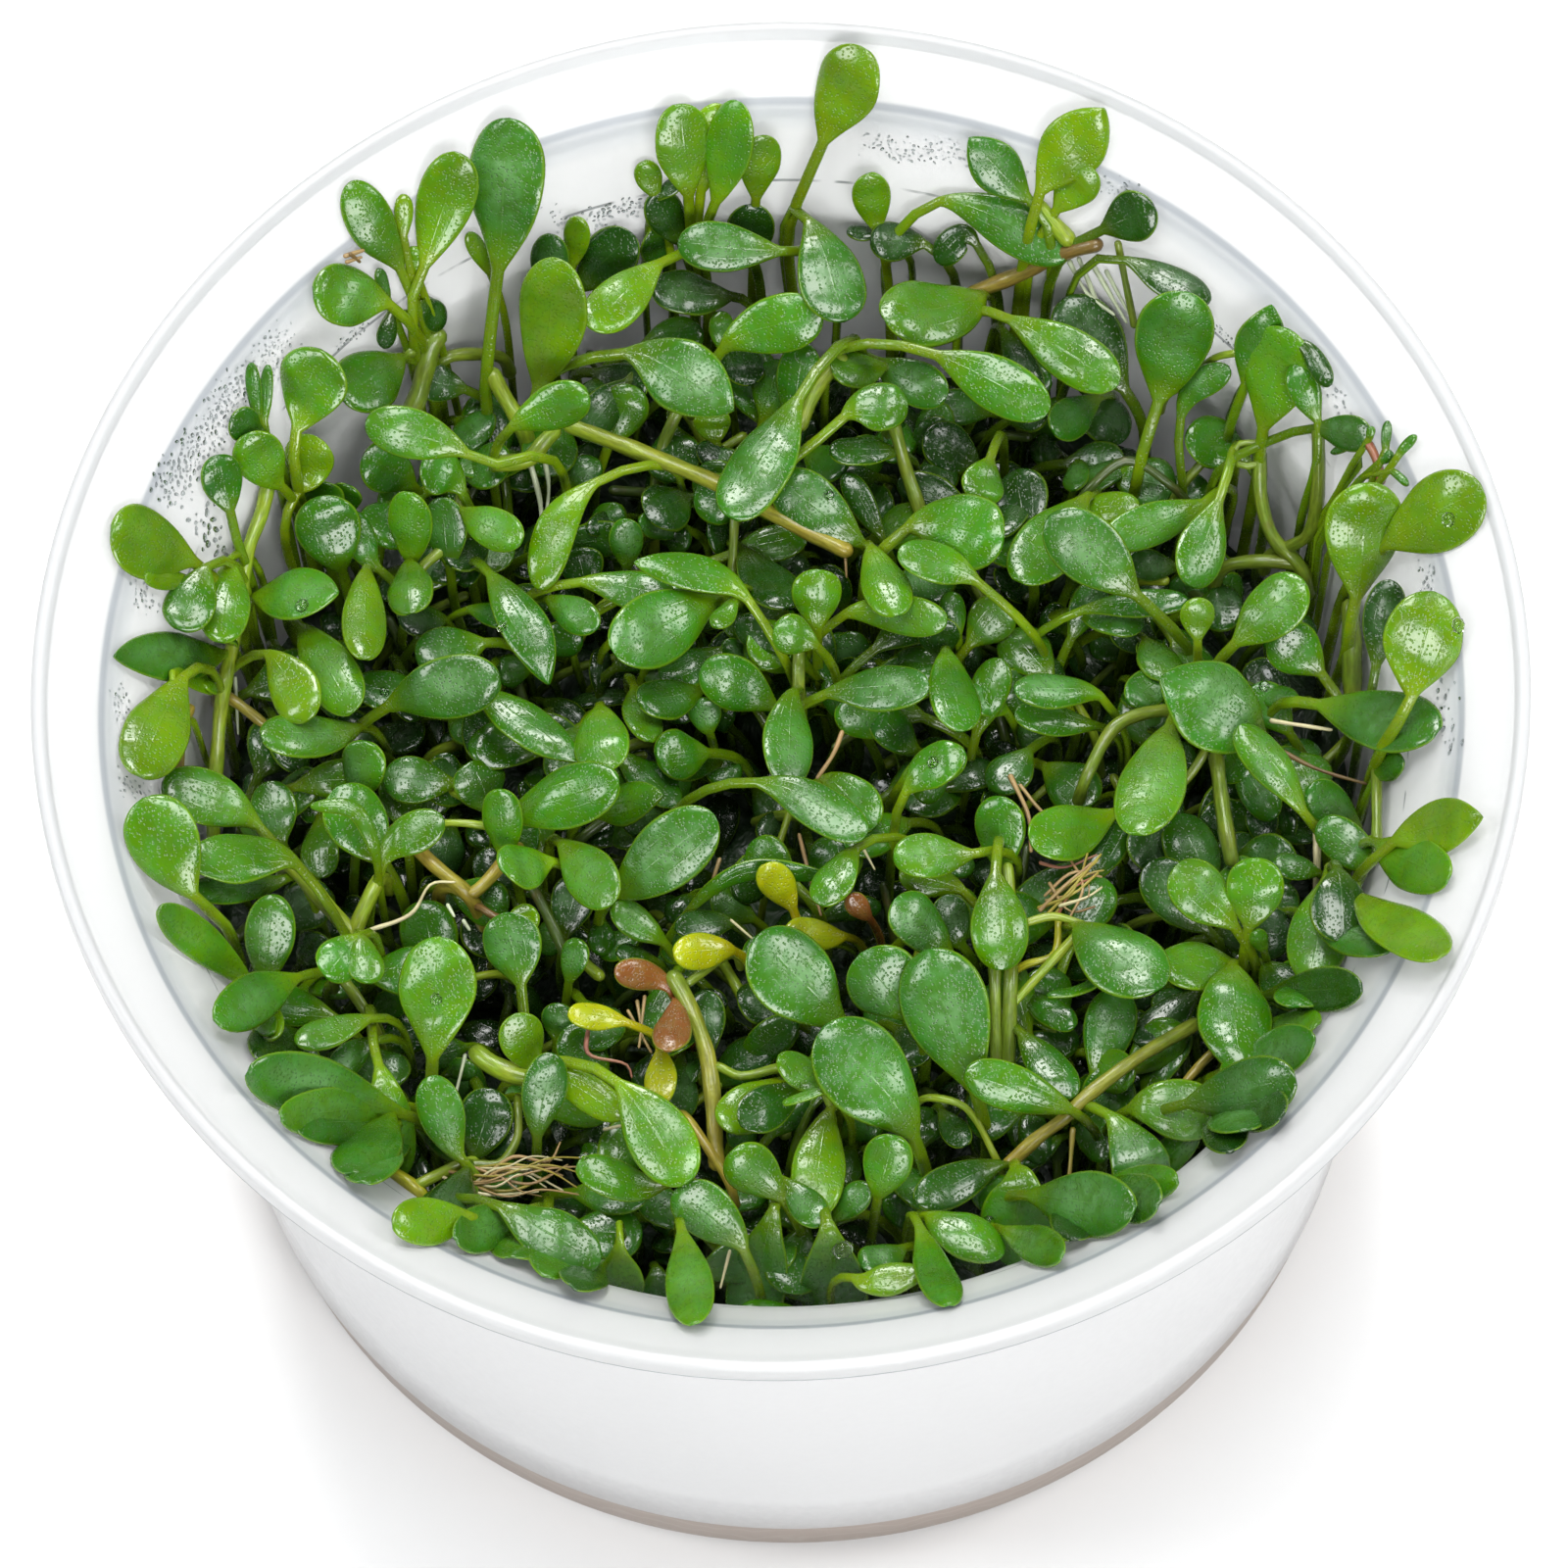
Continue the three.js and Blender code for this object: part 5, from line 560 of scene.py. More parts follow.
class Builder:
    """Collects closed ring bodies into one mesh with a tint, a value for the waxy film and painted sheen, and UVs."""

    def __init__(self):
        self.v, self.f, self.tint, self.frost, self.uv = [], [], [], [], []
        self.n = 0

    def rings(self, rings, first, last, tint, frost, uv):
        """rings: (R, K, 3); first and last are the closing points."""
        R, K, _ = rings.shape
        base = self.n
        verts = np.concatenate([[first], rings.reshape(-1, 3), [last]])
        self.v.append(verts)
        self.tint.append(tint)
        self.frost.append(frost)
        self.uv.append(uv)
        k = np.arange(K)
        j = (k + 1) % K
        end = base + 1 + R * K
        self.f.extend([(base, base + 1 + b, base + 1 + a) for a, b in zip(k, j)])
        for i in range(R - 1):
            o = base + 1 + i * K
            self.f.extend(zip(o + k, o + j, o + K + j, o + K + k))
        o = base + 1 + (R - 1) * K
        self.f.extend([(o + a, o + b, end) for a, b in zip(k, j)])
        self.n += len(verts)

    def object(self, name, material):
        v = np.concatenate(self.v)
        tint = np.concatenate(self.tint)
        frost = np.concatenate(self.frost)
        uv = np.concatenate(self.uv)
        me = bpy.data.meshes.new(name)
        me.from_pydata((v * MM).tolist(), [], [tuple(int(x) for x in f) for f in self.f])
        a = me.attributes.new("tint", "FLOAT_COLOR", "POINT")
        a.data.foreach_set("color", np.c_[tint, np.ones(len(tint))].astype(np.float32).ravel())
        a = me.attributes.new("frost", "FLOAT", "POINT")
        a.data.foreach_set("value", frost.astype(np.float32))
        layer = me.uv_layers.new(name="UVMap")
        loops = np.zeros(len(me.loops), np.int32)
        me.loops.foreach_get("vertex_index", loops)
        layer.data.foreach_set("uv", uv[loops].astype(np.float32).ravel())
        me.polygons.foreach_set("use_smooth", np.ones(len(me.polygons), bool))
        me.materials.append(material)
        me.update()
        # faces point outward
        ob = bpy.data.objects.new(name, me)
        bpy.context.scene.collection.objects.link(ob)
        return ob


def catmull(points, n):
    """n points, evenly spaced, on a smooth curve through the given points, and its tangents."""
    p = np.asarray(points, float)
    if len(p) == 2:
        p = np.array([p[0], (p[0] + p[1]) / 2, p[1]])
    ext = np.vstack([2 * p[0] - p[1], p, 2 * p[-1] - p[-2]])
    out = []
    for i in range(1, len(ext) - 2):
        p0, p1, p2, p3 = ext[i - 1], ext[i], ext[i + 1], ext[i + 2]
        t0 = 0.0
        t1 = t0 + max(1e-6, np.linalg.norm(p1 - p0)) ** 0.5
        t2 = t1 + max(1e-6, np.linalg.norm(p2 - p1)) ** 0.5
        t3 = t2 + max(1e-6, np.linalg.norm(p3 - p2)) ** 0.5
        for t in np.linspace(t1, t2, 16, endpoint=False):
            a1 = (t1 - t) / (t1 - t0) * p0 + (t - t0) / (t1 - t0) * p1
            a2 = (t2 - t) / (t2 - t1) * p1 + (t - t1) / (t2 - t1) * p2
            a3 = (t3 - t) / (t3 - t2) * p2 + (t - t2) / (t3 - t2) * p3
            b1 = (t2 - t) / (t2 - t0) * a1 + (t - t0) / (t2 - t0) * a2
            b2 = (t3 - t) / (t3 - t1) * a2 + (t - t1) / (t3 - t1) * a3
            out.append((t2 - t) / (t2 - t1) * b1 + (t - t1) / (t2 - t1) * b2)
    out.append(ext[-2])
    out = np.array(out)
    seg = np.linalg.norm(np.diff(out, axis=0), axis=1)
    cum = np.r_[0, np.cumsum(seg)]
    s = np.linspace(0, cum[-1], n) if np.isscalar(n) else np.asarray(n) * cum[-1]
    pts = np.stack([np.interp(s, cum, out[:, k]) for k in range(3)], 1)
    e = cum[-1] * 0.004
    a = np.stack([np.interp(np.clip(s - e, 0, cum[-1]), cum, out[:, k]) for k in range(3)], 1)
    b = np.stack([np.interp(np.clip(s + e, 0, cum[-1]), cum, out[:, k]) for k in range(3)], 1)
    tan = b - a
    tan /= np.linalg.norm(tan, axis=1)[:, None] + 1e-12
    return pts, tan, cum[-1]


# linear colours of the leaf groups, each with a second colour it varies to
def lin(r, g, b):
    return np.array([(c / 255 / 12.92) if c / 255 <= 0.04045 else ((c / 255 + 0.055) / 1.055) ** 2.4 for c in (r, g, b)])


GROUP = {
    "b": (lin(76, 128, 0), lin(53, 112, 0)),
    "y": (lin(106, 146, 0), lin(82, 128, 0)),
    "g": (lin(52, 108, 0), lin(38, 92, 0)),
    "d": (lin(32, 74, 2), lin(22, 60, 3)),
    "p": (lin(50, 108, 0), lin(40, 96, 1)),
    "o": (lin(138, 92, 44), lin(122, 78, 34)),
    "Y": (lin(166, 172, 10), lin(130, 148, 8)),
}
STALK = lin(116, 142, 10)
VIEW = BACK + np.array([0, 0, 1.0])
VIEW /= np.linalg.norm(VIEW)


def leaf(B, kind, width, start, roll, crown, tip, points, K=18, rows=24, own_rng=None, root=True, gloss=1.0, thick=0.40, shade=1.0):
    r_ = own_rng or rng
    pts = np.array(points, float)
    stalk_r = 0.23 + 0.036 * width
    lead = []
    if root:
        # the stalk goes on down into the mat
        d = pts[0] - pts[1]
        d /= np.linalg.norm(d) + 1e-9
        a = pts[0] + d * 1.6 + np.array([0, 0, -1.8])
        b = a * np.array([0.97, 0.97, 1]) + np.array([r_.uniform(-.8, .8), r_.uniform(-.8, .8), -5.0])
        b[2] = min(b[2], 30.5)
        for q in (b, a):
            rr = math.hypot(q[0], q[1])
            lim = inner_r(q[2]) - 1.0
            if rr > lim:
                q[:2] *= lim / rr
            lead.append(q)
    allp = np.vstack([*lead, pts]) if lead else pts
    L = [np.linalg.norm(allp[i + 1] - allp[i]) for i in range(len(allp) - 1)]
    total = sum(L)
    u0 = sum(L[:len(lead)]) / total
    s_st = np.linspace(0, u0 + (1 - u0) * start, 6 + 2 * len(lead), endpoint=False) if (u0 + (1 - u0) * start) > 0.01 else np.array([0.0])
    sb = 0.5 - 0.5 * np.cos(np.linspace(0.12, 1, rows) * math.pi)
    sb = (sb - sb[0]) / (sb[-1] - sb[0]) * 0.992
    s_bl = u0 + (1 - u0) * (start + (1 - start) * sb)
    s = np.r_[s_st, s_bl]
    c, tan, length = catmull(allp, s)
    blade_s = np.clip((s - s_bl[0]) / (1 - s_bl[0]), 0, 1)
    nb = len(s_st)
    # section normal: seen face on from the picture's side at mid blade, then carried along
    mid = nb + int(rows * 0.45)
    nor = np.zeros_like(c)
    n0 = VIEW - tan[mid] * np.dot(VIEW, tan[mid])
    if np.linalg.norm(n0) < 0.25:
        n0 = np.array([0, 0, 1.0]) - tan[mid] * tan[mid][2]
    n0 /= np.linalg.norm(n0)
    a = math.radians(roll)
    n0 = n0 * math.cos(a) + np.cross(tan[mid], n0) * math.sin(a)
    nor[mid] = n0
    for i in range(mid + 1, len(c)):
        v = nor[i - 1] - tan[i] * np.dot(nor[i - 1], tan[i])
        nor[i] = v / np.linalg.norm(v)
    for i in range(mid - 1, -1, -1):
        v = nor[i + 1] - tan[i] * np.dot(nor[i + 1], tan[i])
        nor[i] = v / np.linalg.norm(v)
    side = np.cross(tan, nor)
    # outline
    sm = 0.60 if tip == "round" else 0.52
    sm += r_.uniform(-0.03, 0.03)
    w2 = width / 2
    rise = np.sin(np.clip(blade_s / sm, 0, 1) * math.pi / 2) ** r_.uniform(1.0, 1.25)
    u = np.clip((blade_s - sm) / (1 - sm), 0, 1)
    if tip == "point":
        fall = (1 - u ** 1.9) ** 0.82
    else:
        fall = np.sqrt(np.clip(1 - u ** 2.25, 0, 1))
    hw = stalk_r + (w2 - stalk_r) * rise
    hw = np.where(blade_s > sm, w2 * fall + 1e-3, hw)
    hw = np.maximum(hw, 0.03 * w2)
    if tip == "notch":
        pass
    ht = stalk_r * 0.8 + (thick / 2 - stalk_r * 0.8) * np.clip(blade_s / 0.35, 0, 1)
    ht = ht * np.where(blade_s > 0.86, np.sqrt(np.clip(1 - ((blade_s - 0.86) / 0.14) ** 2 * 0.75, 0, 1)), 1)
    blade = np.clip(blade_s / 0.3, 0, 1)
    bend = -0.05 * w2 * np.clip((blade_s - 0.72) / 0.28, 0, 1) ** 2 * 2.2
    wav_p, wav_a = r_.uniform(0, 6.28, 2), r_.uniform(0.0, 0.05) * w2
    th = np.arange(K) / K * 2 * math.pi
    cx, sy = np.cos(th), np.sin(th)
    x = np.sign(cx) * np.abs(cx) ** 0.85
    y = np.sign(sy) * np.abs(sy) ** 0.72
    X = hw[:, None] * x[None, :]
    edge = np.abs(x)[None, :]
    drop = -crown * blade[:, None] * hw[:, None] * 0.42 * edge ** 2
    wave = wav_a * blade[:, None] * edge ** 3 * np.sin(blade_s[:, None] * 7 + np.where(x > 0, wav_p[0], wav_p[1])[None, :])
    groove = -0.02 * blade[:, None] * (1 - blade_s[:, None]) * np.exp(-(x[None, :] / 0.12) ** 2) * (y[None, :] > 0)
    und = 0.045 * w2 * blade[:, None] * np.sin(blade_s[:, None] * r_.uniform(7, 13) + r_.uniform(0, 6.28) + x[None, :] * r_.uniform(-2.5, 2.5))
    Y = ht[:, None] * y[None, :] + drop + wave + groove + und + bend[:, None]
    P = c[:, None, :] + side[:, None, :] * X[:, :, None] + nor[:, None, :] * Y[:, :, None]
    # the blade stays clear of the wall: it comes forward along the line of sight, or else moves inward as a whole
    wgt = np.clip(s / max(1e-6, s_bl[0]), 0, 1)
    wgt = wgt * wgt * (3 - 2 * wgt)

    def over(Q):
        return float((np.hypot(Q[..., 0], Q[..., 1]) - inner_v(Q[..., 2])).max()) + 0.22

    best, worst = 0.0, over(P[nb:])
    if worst > 0:
        top = P[nb:, :, 2].max()
        for t in np.arange(0.15, 3.6, 0.15):
            if top + t * BACK[2] > 59.7:
                break
            o = over(P[nb:] + BACK * t)
            if o < worst - 0.01:
                best, worst = t, o
            if o <= 0:
                break
        P += (wgt * best)[:, None, None] * BACK
        c += (wgt * best)[:, None] * BACK
        for _ in range(6):
            over_at = np.hypot(P[nb:, :, 0], P[nb:, :, 1]) - inner_v(P[nb:, :, 2]) + 0.22
            i, j = np.unravel_index(int(over_at.argmax()), over_at.shape)
            o = over_at[i, j]
            if o <= 0:
                break
            q = P[nb + i, j, :2]
            sh = -q / np.linalg.norm(q) * (o + 0.01)
            P[:, :, :2] += wgt[:, None, None] * sh
            c[:, :2] += wgt[:, None] * sh
    for i in range(len(c)):
        o = over(P[i])
        if o > 0:
            q = c[i, :2] / max(1e-6, math.hypot(c[i, 0], c[i, 1])) * o
            P[i, :, :2] -= q
            c[i, :2] -= q
    first = c[0] - tan[0] * 0.1
    last = c[-1] + tan[-1] * 0.04 * w2 + nor[-1] * bend[-1]
    # colour
    g1, g2 = GROUP[kind]
    mix = r_.uniform(0, 1)
    val = r_.uniform(0.76, 1.04) * shade
    col = (g1 * (1 - mix) + g2 * mix) * val
    st = col * np.array([1.0, 0.8, 0.8])
    if kind not in "oY":
        k = {"b": 0.75, "y": 0.8, "g": 0.5, "p": 0.6}.get(kind, 0.3)
        st = STALK * val * k + col * np.array([1.25, 1.0, 0.9]) * (1 - k)
    f = np.clip(blade_s / 0.35, 0, 1) ** 0.7
    rowcol = st[None, :] * (1 - f[:, None]) + col[None, :] * f[:, None]
    rc = np.repeat(rowcol[:, None, :], K, 1)
    tint = np.concatenate([[rowcol[0]], rc.reshape(-1, 3), [rowcol[-1]]])
    # painted sheen with a waxy film: a pale patch on the upper face of the blade, strongest on the pale leaves
    wax_and_sheen_amount = {"p": 0.95, "b": 0.20, "g": 0.18, "y": 0.08, "d": 0.14}.get(kind, 0.03) * r_.uniform(0.7, 1.2) * gloss
    if kind in "bgd" and r_.uniform() < 0.30:
        wax_and_sheen_amount = 0.60 * gloss
    ux = r_.uniform(-0.15, 0.15)
    wax_and_sheen_mask = wax_and_sheen_amount * np.exp(-((x[None, :] - ux) / 0.62) ** 2 - ((blade_s[:, None] - r_.uniform(0.5, 0.68)) / 0.30) ** 2) * (y[None, :] > -0.1) * blade[:, None]
    frost = np.r_[0, wax_and_sheen_mask.ravel(), wax_and_sheen_mask[-1].mean()]
    uu = 0.5 + 0.5 * np.repeat(x[None, :], len(c), 0)
    vv = np.repeat(blade_s[:, None], K, 1)
    uv = np.concatenate([[[0.5, 0]], np.stack([uu.ravel(), vv.ravel()], 1), [[0.5, 1]]])
    B.rings(P, first, last, tint, frost, uv)


def tube(B, points, radius, colour, K=10, step=0.5, wob=0.06, own_rng=None, taper=(1, 1), col2=None):
    r_ = own_rng or rng
    pts = np.array(points, float)
    for q in pts:
        rr = math.hypot(q[0], q[1])
        lim = inner_r(q[2]) - radius - 0.25
        if rr > lim:
            q[:2] *= lim / rr
    _, _, length = catmull(pts, 8)
    n = max(6, int(length / step))
    e = min(0.2, 1.05 * radius / length)
    s = np.r_[0.015 * e, 0.13 * e, 0.5 * e, np.linspace(e, 1 - e, n), 1 - 0.5 * e, 1 - 0.13 * e, 1 - 0.015 * e]
    endf = np.sqrt(np.clip(1 - (1 - np.minimum(np.minimum(s, 1 - s) / e, 1.0)) ** 2, 0.02, 1))
    n = len(s)
    c, tan, length = catmull(pts, s)
    nor = np.zeros_like(c)
    v = np.array([0, 0, 1.0]) - tan[0] * tan[0][2]
    if np.linalg.norm(v) < 0.1:
        v = np.array([1.0, 0, 0]) - tan[0] * tan[0][0]
    nor[0] = v / np.linalg.norm(v)
    for i in range(1, n):
        v = nor[i - 1] - tan[i] * np.dot(nor[i - 1], tan[i])
        nor[i] = v / np.linalg.norm(v)
    side = np.cross(tan, nor)
    th = np.arange(K) / K * 2 * math.pi
    rad = radius * (taper[0] + (taper[1] - taper[0]) * s) * endf
    ph = r_.uniform(0, 6.28, 3)
    rad = rad * (1 + wob * np.sin(s * length * 0.9 + ph[0]) + wob * 0.6 * np.sin(s * length * 2.3 + ph[1]))
    ridge = 1 + 0.05 * np.cos(th * 4 + ph[2])
    P = c[:, None, :] + (side[:, None, :] * np.cos(th)[None, :, None] + nor[:, None, :] * np.sin(th)[None, :, None]) * (rad[:, None] * ridge[None, :])[:, :, None]
    col = np.asarray(colour) * r_.uniform(0.9, 1.1)
    colb = col if col2 is None else np.asarray(col2)
    rowcol = col[None, :] * (1 - s[:, None]) + colb[None, :] * s[:, None]
    rc = np.repeat(rowcol[:, None, :], K, 1)
    tint = np.concatenate([[rowcol[0]], rc.reshape(-1, 3), [rowcol[-1]]])
    uu = np.repeat((np.arange(K) / K)[None, :], n, 0)
    vv = np.repeat((s * length)[:, None], K, 1)
    uv = np.concatenate([[[0.5, 0]], np.stack([uu.ravel(), vv.ravel()], 1), [[0.5, length]]])
    B.rings(P, c[0] - tan[0] * 0.004, c[-1] + tan[-1] * 0.004, tint, np.zeros(n * K + 2), uv)


# -------------------------------------------------------------- materials
def new_material(name):
    mat = bpy.data.materials.new(name)
    mat.use_nodes = True
    nt = mat.node_tree
    bsdf = nt.nodes["Principled BSDF"]
    return mat, nt, bsdf


def node(nt, kind, **props):
    n = nt.nodes.new(kind)
    for k, v in props.items():
        if k in n.inputs:
            n.inputs[k].default_value = v
        else:
            setattr(n, k, v)
    return n


def math_node(nt, op, a, b=None, c=None, clamp=False):
    n = nt.nodes.new("ShaderNodeMath")
    n.operation = op
    n.use_clamp = clamp
    for i, v in enumerate((a, b, c)):
        if v is None:
            continue
        if isinstance(v, (int, float)):
            n.inputs[i].default_value = v
        else:
            nt.links.new(v, n.inputs[i])
    return n.outputs[0]


def remap(nt, value, a, b, lo, hi, smooth=True):
    n = nt.nodes.new("ShaderNodeMapRange")
    n.interpolation_type = "SMOOTHSTEP" if smooth else "LINEAR"
    nt.links.new(value, n.inputs["Value"])
    n.inputs["From Min"].default_value = a
    n.inputs["From Max"].default_value = b
    n.inputs["To Min"].default_value = lo
    n.inputs["To Max"].default_value = hi
    return n.outputs[0]


def mix_colour(nt, fac, a, b, blend="MIX"):
    n = nt.nodes.new("ShaderNodeMix")
    n.data_type = "RGBA"
    n.blend_type = blend
    for sock, v in ((n.inputs["Factor"], fac), (n.inputs[6], a), (n.inputs[7], b)):
        if isinstance(v, (int, float)):
            sock.default_value = v
        elif isinstance(v, (tuple, list, np.ndarray)):
            sock.default_value = tuple(v)[:3] + (1,)
        else:
            nt.links.new(v, sock)
    return n.outputs[2]


def noise(nt, scale, detail=2, rough=0.5, vector=None, dist=0.0):
    n = nt.nodes.new("ShaderNodeTexNoise")
    n.inputs["Scale"].default_value = scale
    n.inputs["Detail"].default_value = detail
    n.inputs["Roughness"].default_value = rough
    n.inputs["Distortion"].default_value = dist
    if vector is not None:
        nt.links.new(vector, n.inputs["Vector"])
    return n.outputs["Fac"]


def bump(nt, height, distance, strength=1.0, normal=None):
    n = nt.nodes.new("ShaderNodeBump")
    n.inputs["Strength"].default_value = strength
    n.inputs["Distance"].default_value = distance
    nt.links.new(height, n.inputs["Height"])
    if normal is not None:
        nt.links.new(normal, n.inputs["Normal"])
    return n.outputs["Normal"]


def leaf_material(name):
    mat, nt, bsdf = new_material(name)
    co = nt.nodes.new("ShaderNodeTexCoord").outputs["Object"]
    tint = nt.nodes.new("ShaderNodeAttribute")
    tint.attribute_name = "tint"
    frost = nt.nodes.new("ShaderNodeAttribute")
    frost.attribute_name = "frost"
    uvn = nt.nodes.new("ShaderNodeUVMap")
    sep = nt.nodes.new("ShaderNodeSeparateXYZ")
    nt.links.new(uvn.outputs[0], sep.inputs[0])
    across = math_node(nt, "ABSOLUTE", math_node(nt, "SUBTRACT", sep.outputs[0], 0.5))
    along = sep.outputs[1]
    big = noise(nt, 230, 2, 0.55, co)
    mid = noise(nt, 1000, 2, 0.55, co)
    cells = nt.nodes.new("ShaderNodeTexVoronoi")
    cells.inputs["Scale"].default_value = 4300
    nt.links.new(co, cells.inputs["Vector"])
    dots = remap(nt, cells.outputs["Distance"], 0.12, 0.42, 1, 0)
    hsv = nt.nodes.new("ShaderNodeHueSaturation")
    nt.links.new(tint.outputs["Color"], hsv.inputs["Color"])
    nt.links.new(remap(nt, big, 0.3, 0.7, 0.80, 1.18), hsv.inputs["Value"])
    nt.links.new(remap(nt, mid, 0.3, 0.7, 0.492, 0.510), hsv.inputs["Hue"])
    hsv.inputs["Saturation"].default_value = 1.0
    # paler veins and margin
    vein = remap(nt, across, 0.0, 0.022, 1, 0)
    v2 = remap(nt, math_node(nt, "ABSOLUTE", math_node(nt, "SUBTRACT", across, 0.22)), 0.0, 0.02, 0.35, 0)
    veins = math_node(nt, "MULTIPLY", math_node(nt, "MAXIMUM", vein, v2), remap(nt, along, 0.55, 0.95, 1, 0))
    margin = remap(nt, across, 0.445, 0.5, 0, 1)
    light = mix_colour(nt, math_node(nt, "MULTIPLY", veins, 0.10), hsv.outputs[0], (0.11, 0.24, 0.01))
    light = mix_colour(nt, math_node(nt, "MULTIPLY", margin, 0.55), light, (0.21, 0.37, 0.012))
    # pale patches on some blades, partly a waxy film and partly painted sheen, broken by the dark pits
    wax_and_sheen_patch = math_node(nt, "MULTIPLY", frost.outputs["Fac"], remap(nt, mid, 0.30, 0.66, 0.35, 1.1), clamp=True)
    light = mix_colour(nt, math_node(nt, "MULTIPLY", wax_and_sheen_patch, 0.40), light, (0.20, 0.40, 0.15))
    # painted shade: the pits darken the colour, more so inside the painted sheen
    dark = math_node(nt, "MULTIPLY", dots, math_node(nt, "ADD", math_node(nt, "MULTIPLY", wax_and_sheen_patch, 0.55), 0.22))
    colour = mix_colour(nt, dark, light, (0.006, 0.030, 0.003))
    nt.links.new(colour, bsdf.inputs["Base Color"])
    rough = math_node(nt, "ADD", remap(nt, mid, 0.32, 0.68, 0.15, 0.23), math_node(nt, "MULTIPLY", dots, 0.16))
    nt.links.new(math_node(nt, "ADD", rough, math_node(nt, "MULTIPLY", wax_and_sheen_patch, 0.12)), bsdf.inputs["Roughness"])
    pit = bump(nt, math_node(nt, "SUBTRACT", 1.0, dots), 0.00004, 0.55)
    swell = bump(nt, big, 0.0006, 0.35, bump(nt, mid, 0.00009, 0.5, pit))
    nt.links.new(bump(nt, veins, 0.00004, 0.4, swell), bsdf.inputs["Normal"])
    bsdf.inputs["IOR"].default_value = 1.55
    bsdf.inputs["Specular IOR Level"].default_value = 0.60
    return mat


def stem_material(name, rough=0.34):
    mat, nt, bsdf = new_material(name)
    co = nt.nodes.new("ShaderNodeTexCoord").outputs["Object"]
    tint = nt.nodes.new("ShaderNodeAttribute")
    tint.attribute_name = "tint"
    uvn = nt.nodes.new("ShaderNodeUVMap")
    mp = nt.nodes.new("ShaderNodeMapping")
    nt.links.new(uvn.outputs[0], mp.inputs[0])
    mp.inputs["Scale"].default_value = (9, 0.5, 1)
    streak = noise(nt, 1.6, 3, 0.6, mp.outputs[0])
    big = noise(nt, 420, 3, 0.6, co)
    fine = noise(nt, 3600, 2, 0.6, co)
    hsv = nt.nodes.new("ShaderNodeHueSaturation")
    nt.links.new(tint.outputs["Color"], hsv.inputs["Color"])
    nt.links.new(remap(nt, streak, 0.3, 0.7, 0.72, 1.22), hsv.inputs["Value"])
    nt.links.new(remap(nt, big, 0.3, 0.7, 0.485, 0.515), hsv.inputs["Hue"])
    brown = mix_colour(nt, remap(nt, big, 0.56, 0.74, 0, 0.4), hsv.outputs[0], (0.16, 0.085, 0.03))
    nt.links.new(brown, bsdf.inputs["Base Color"])
    nt.links.new(remap(nt, fine, 0.3, 0.7, rough + 0.1, rough - 0.06), bsdf.inputs["Roughness"])
    h = bump(nt, streak, 0.00008, 0.5)
    h = bump(nt, fine, 0.00004, 0.4, h)
    nt.links.new(h, bsdf.inputs["Normal"])
    bsdf.inputs["IOR"].default_value = 1.5
    bsdf.inputs["Coat Weight"].default_value = 0.3
    bsdf.inputs["Coat Roughness"].default_value = 0.12
    return mat


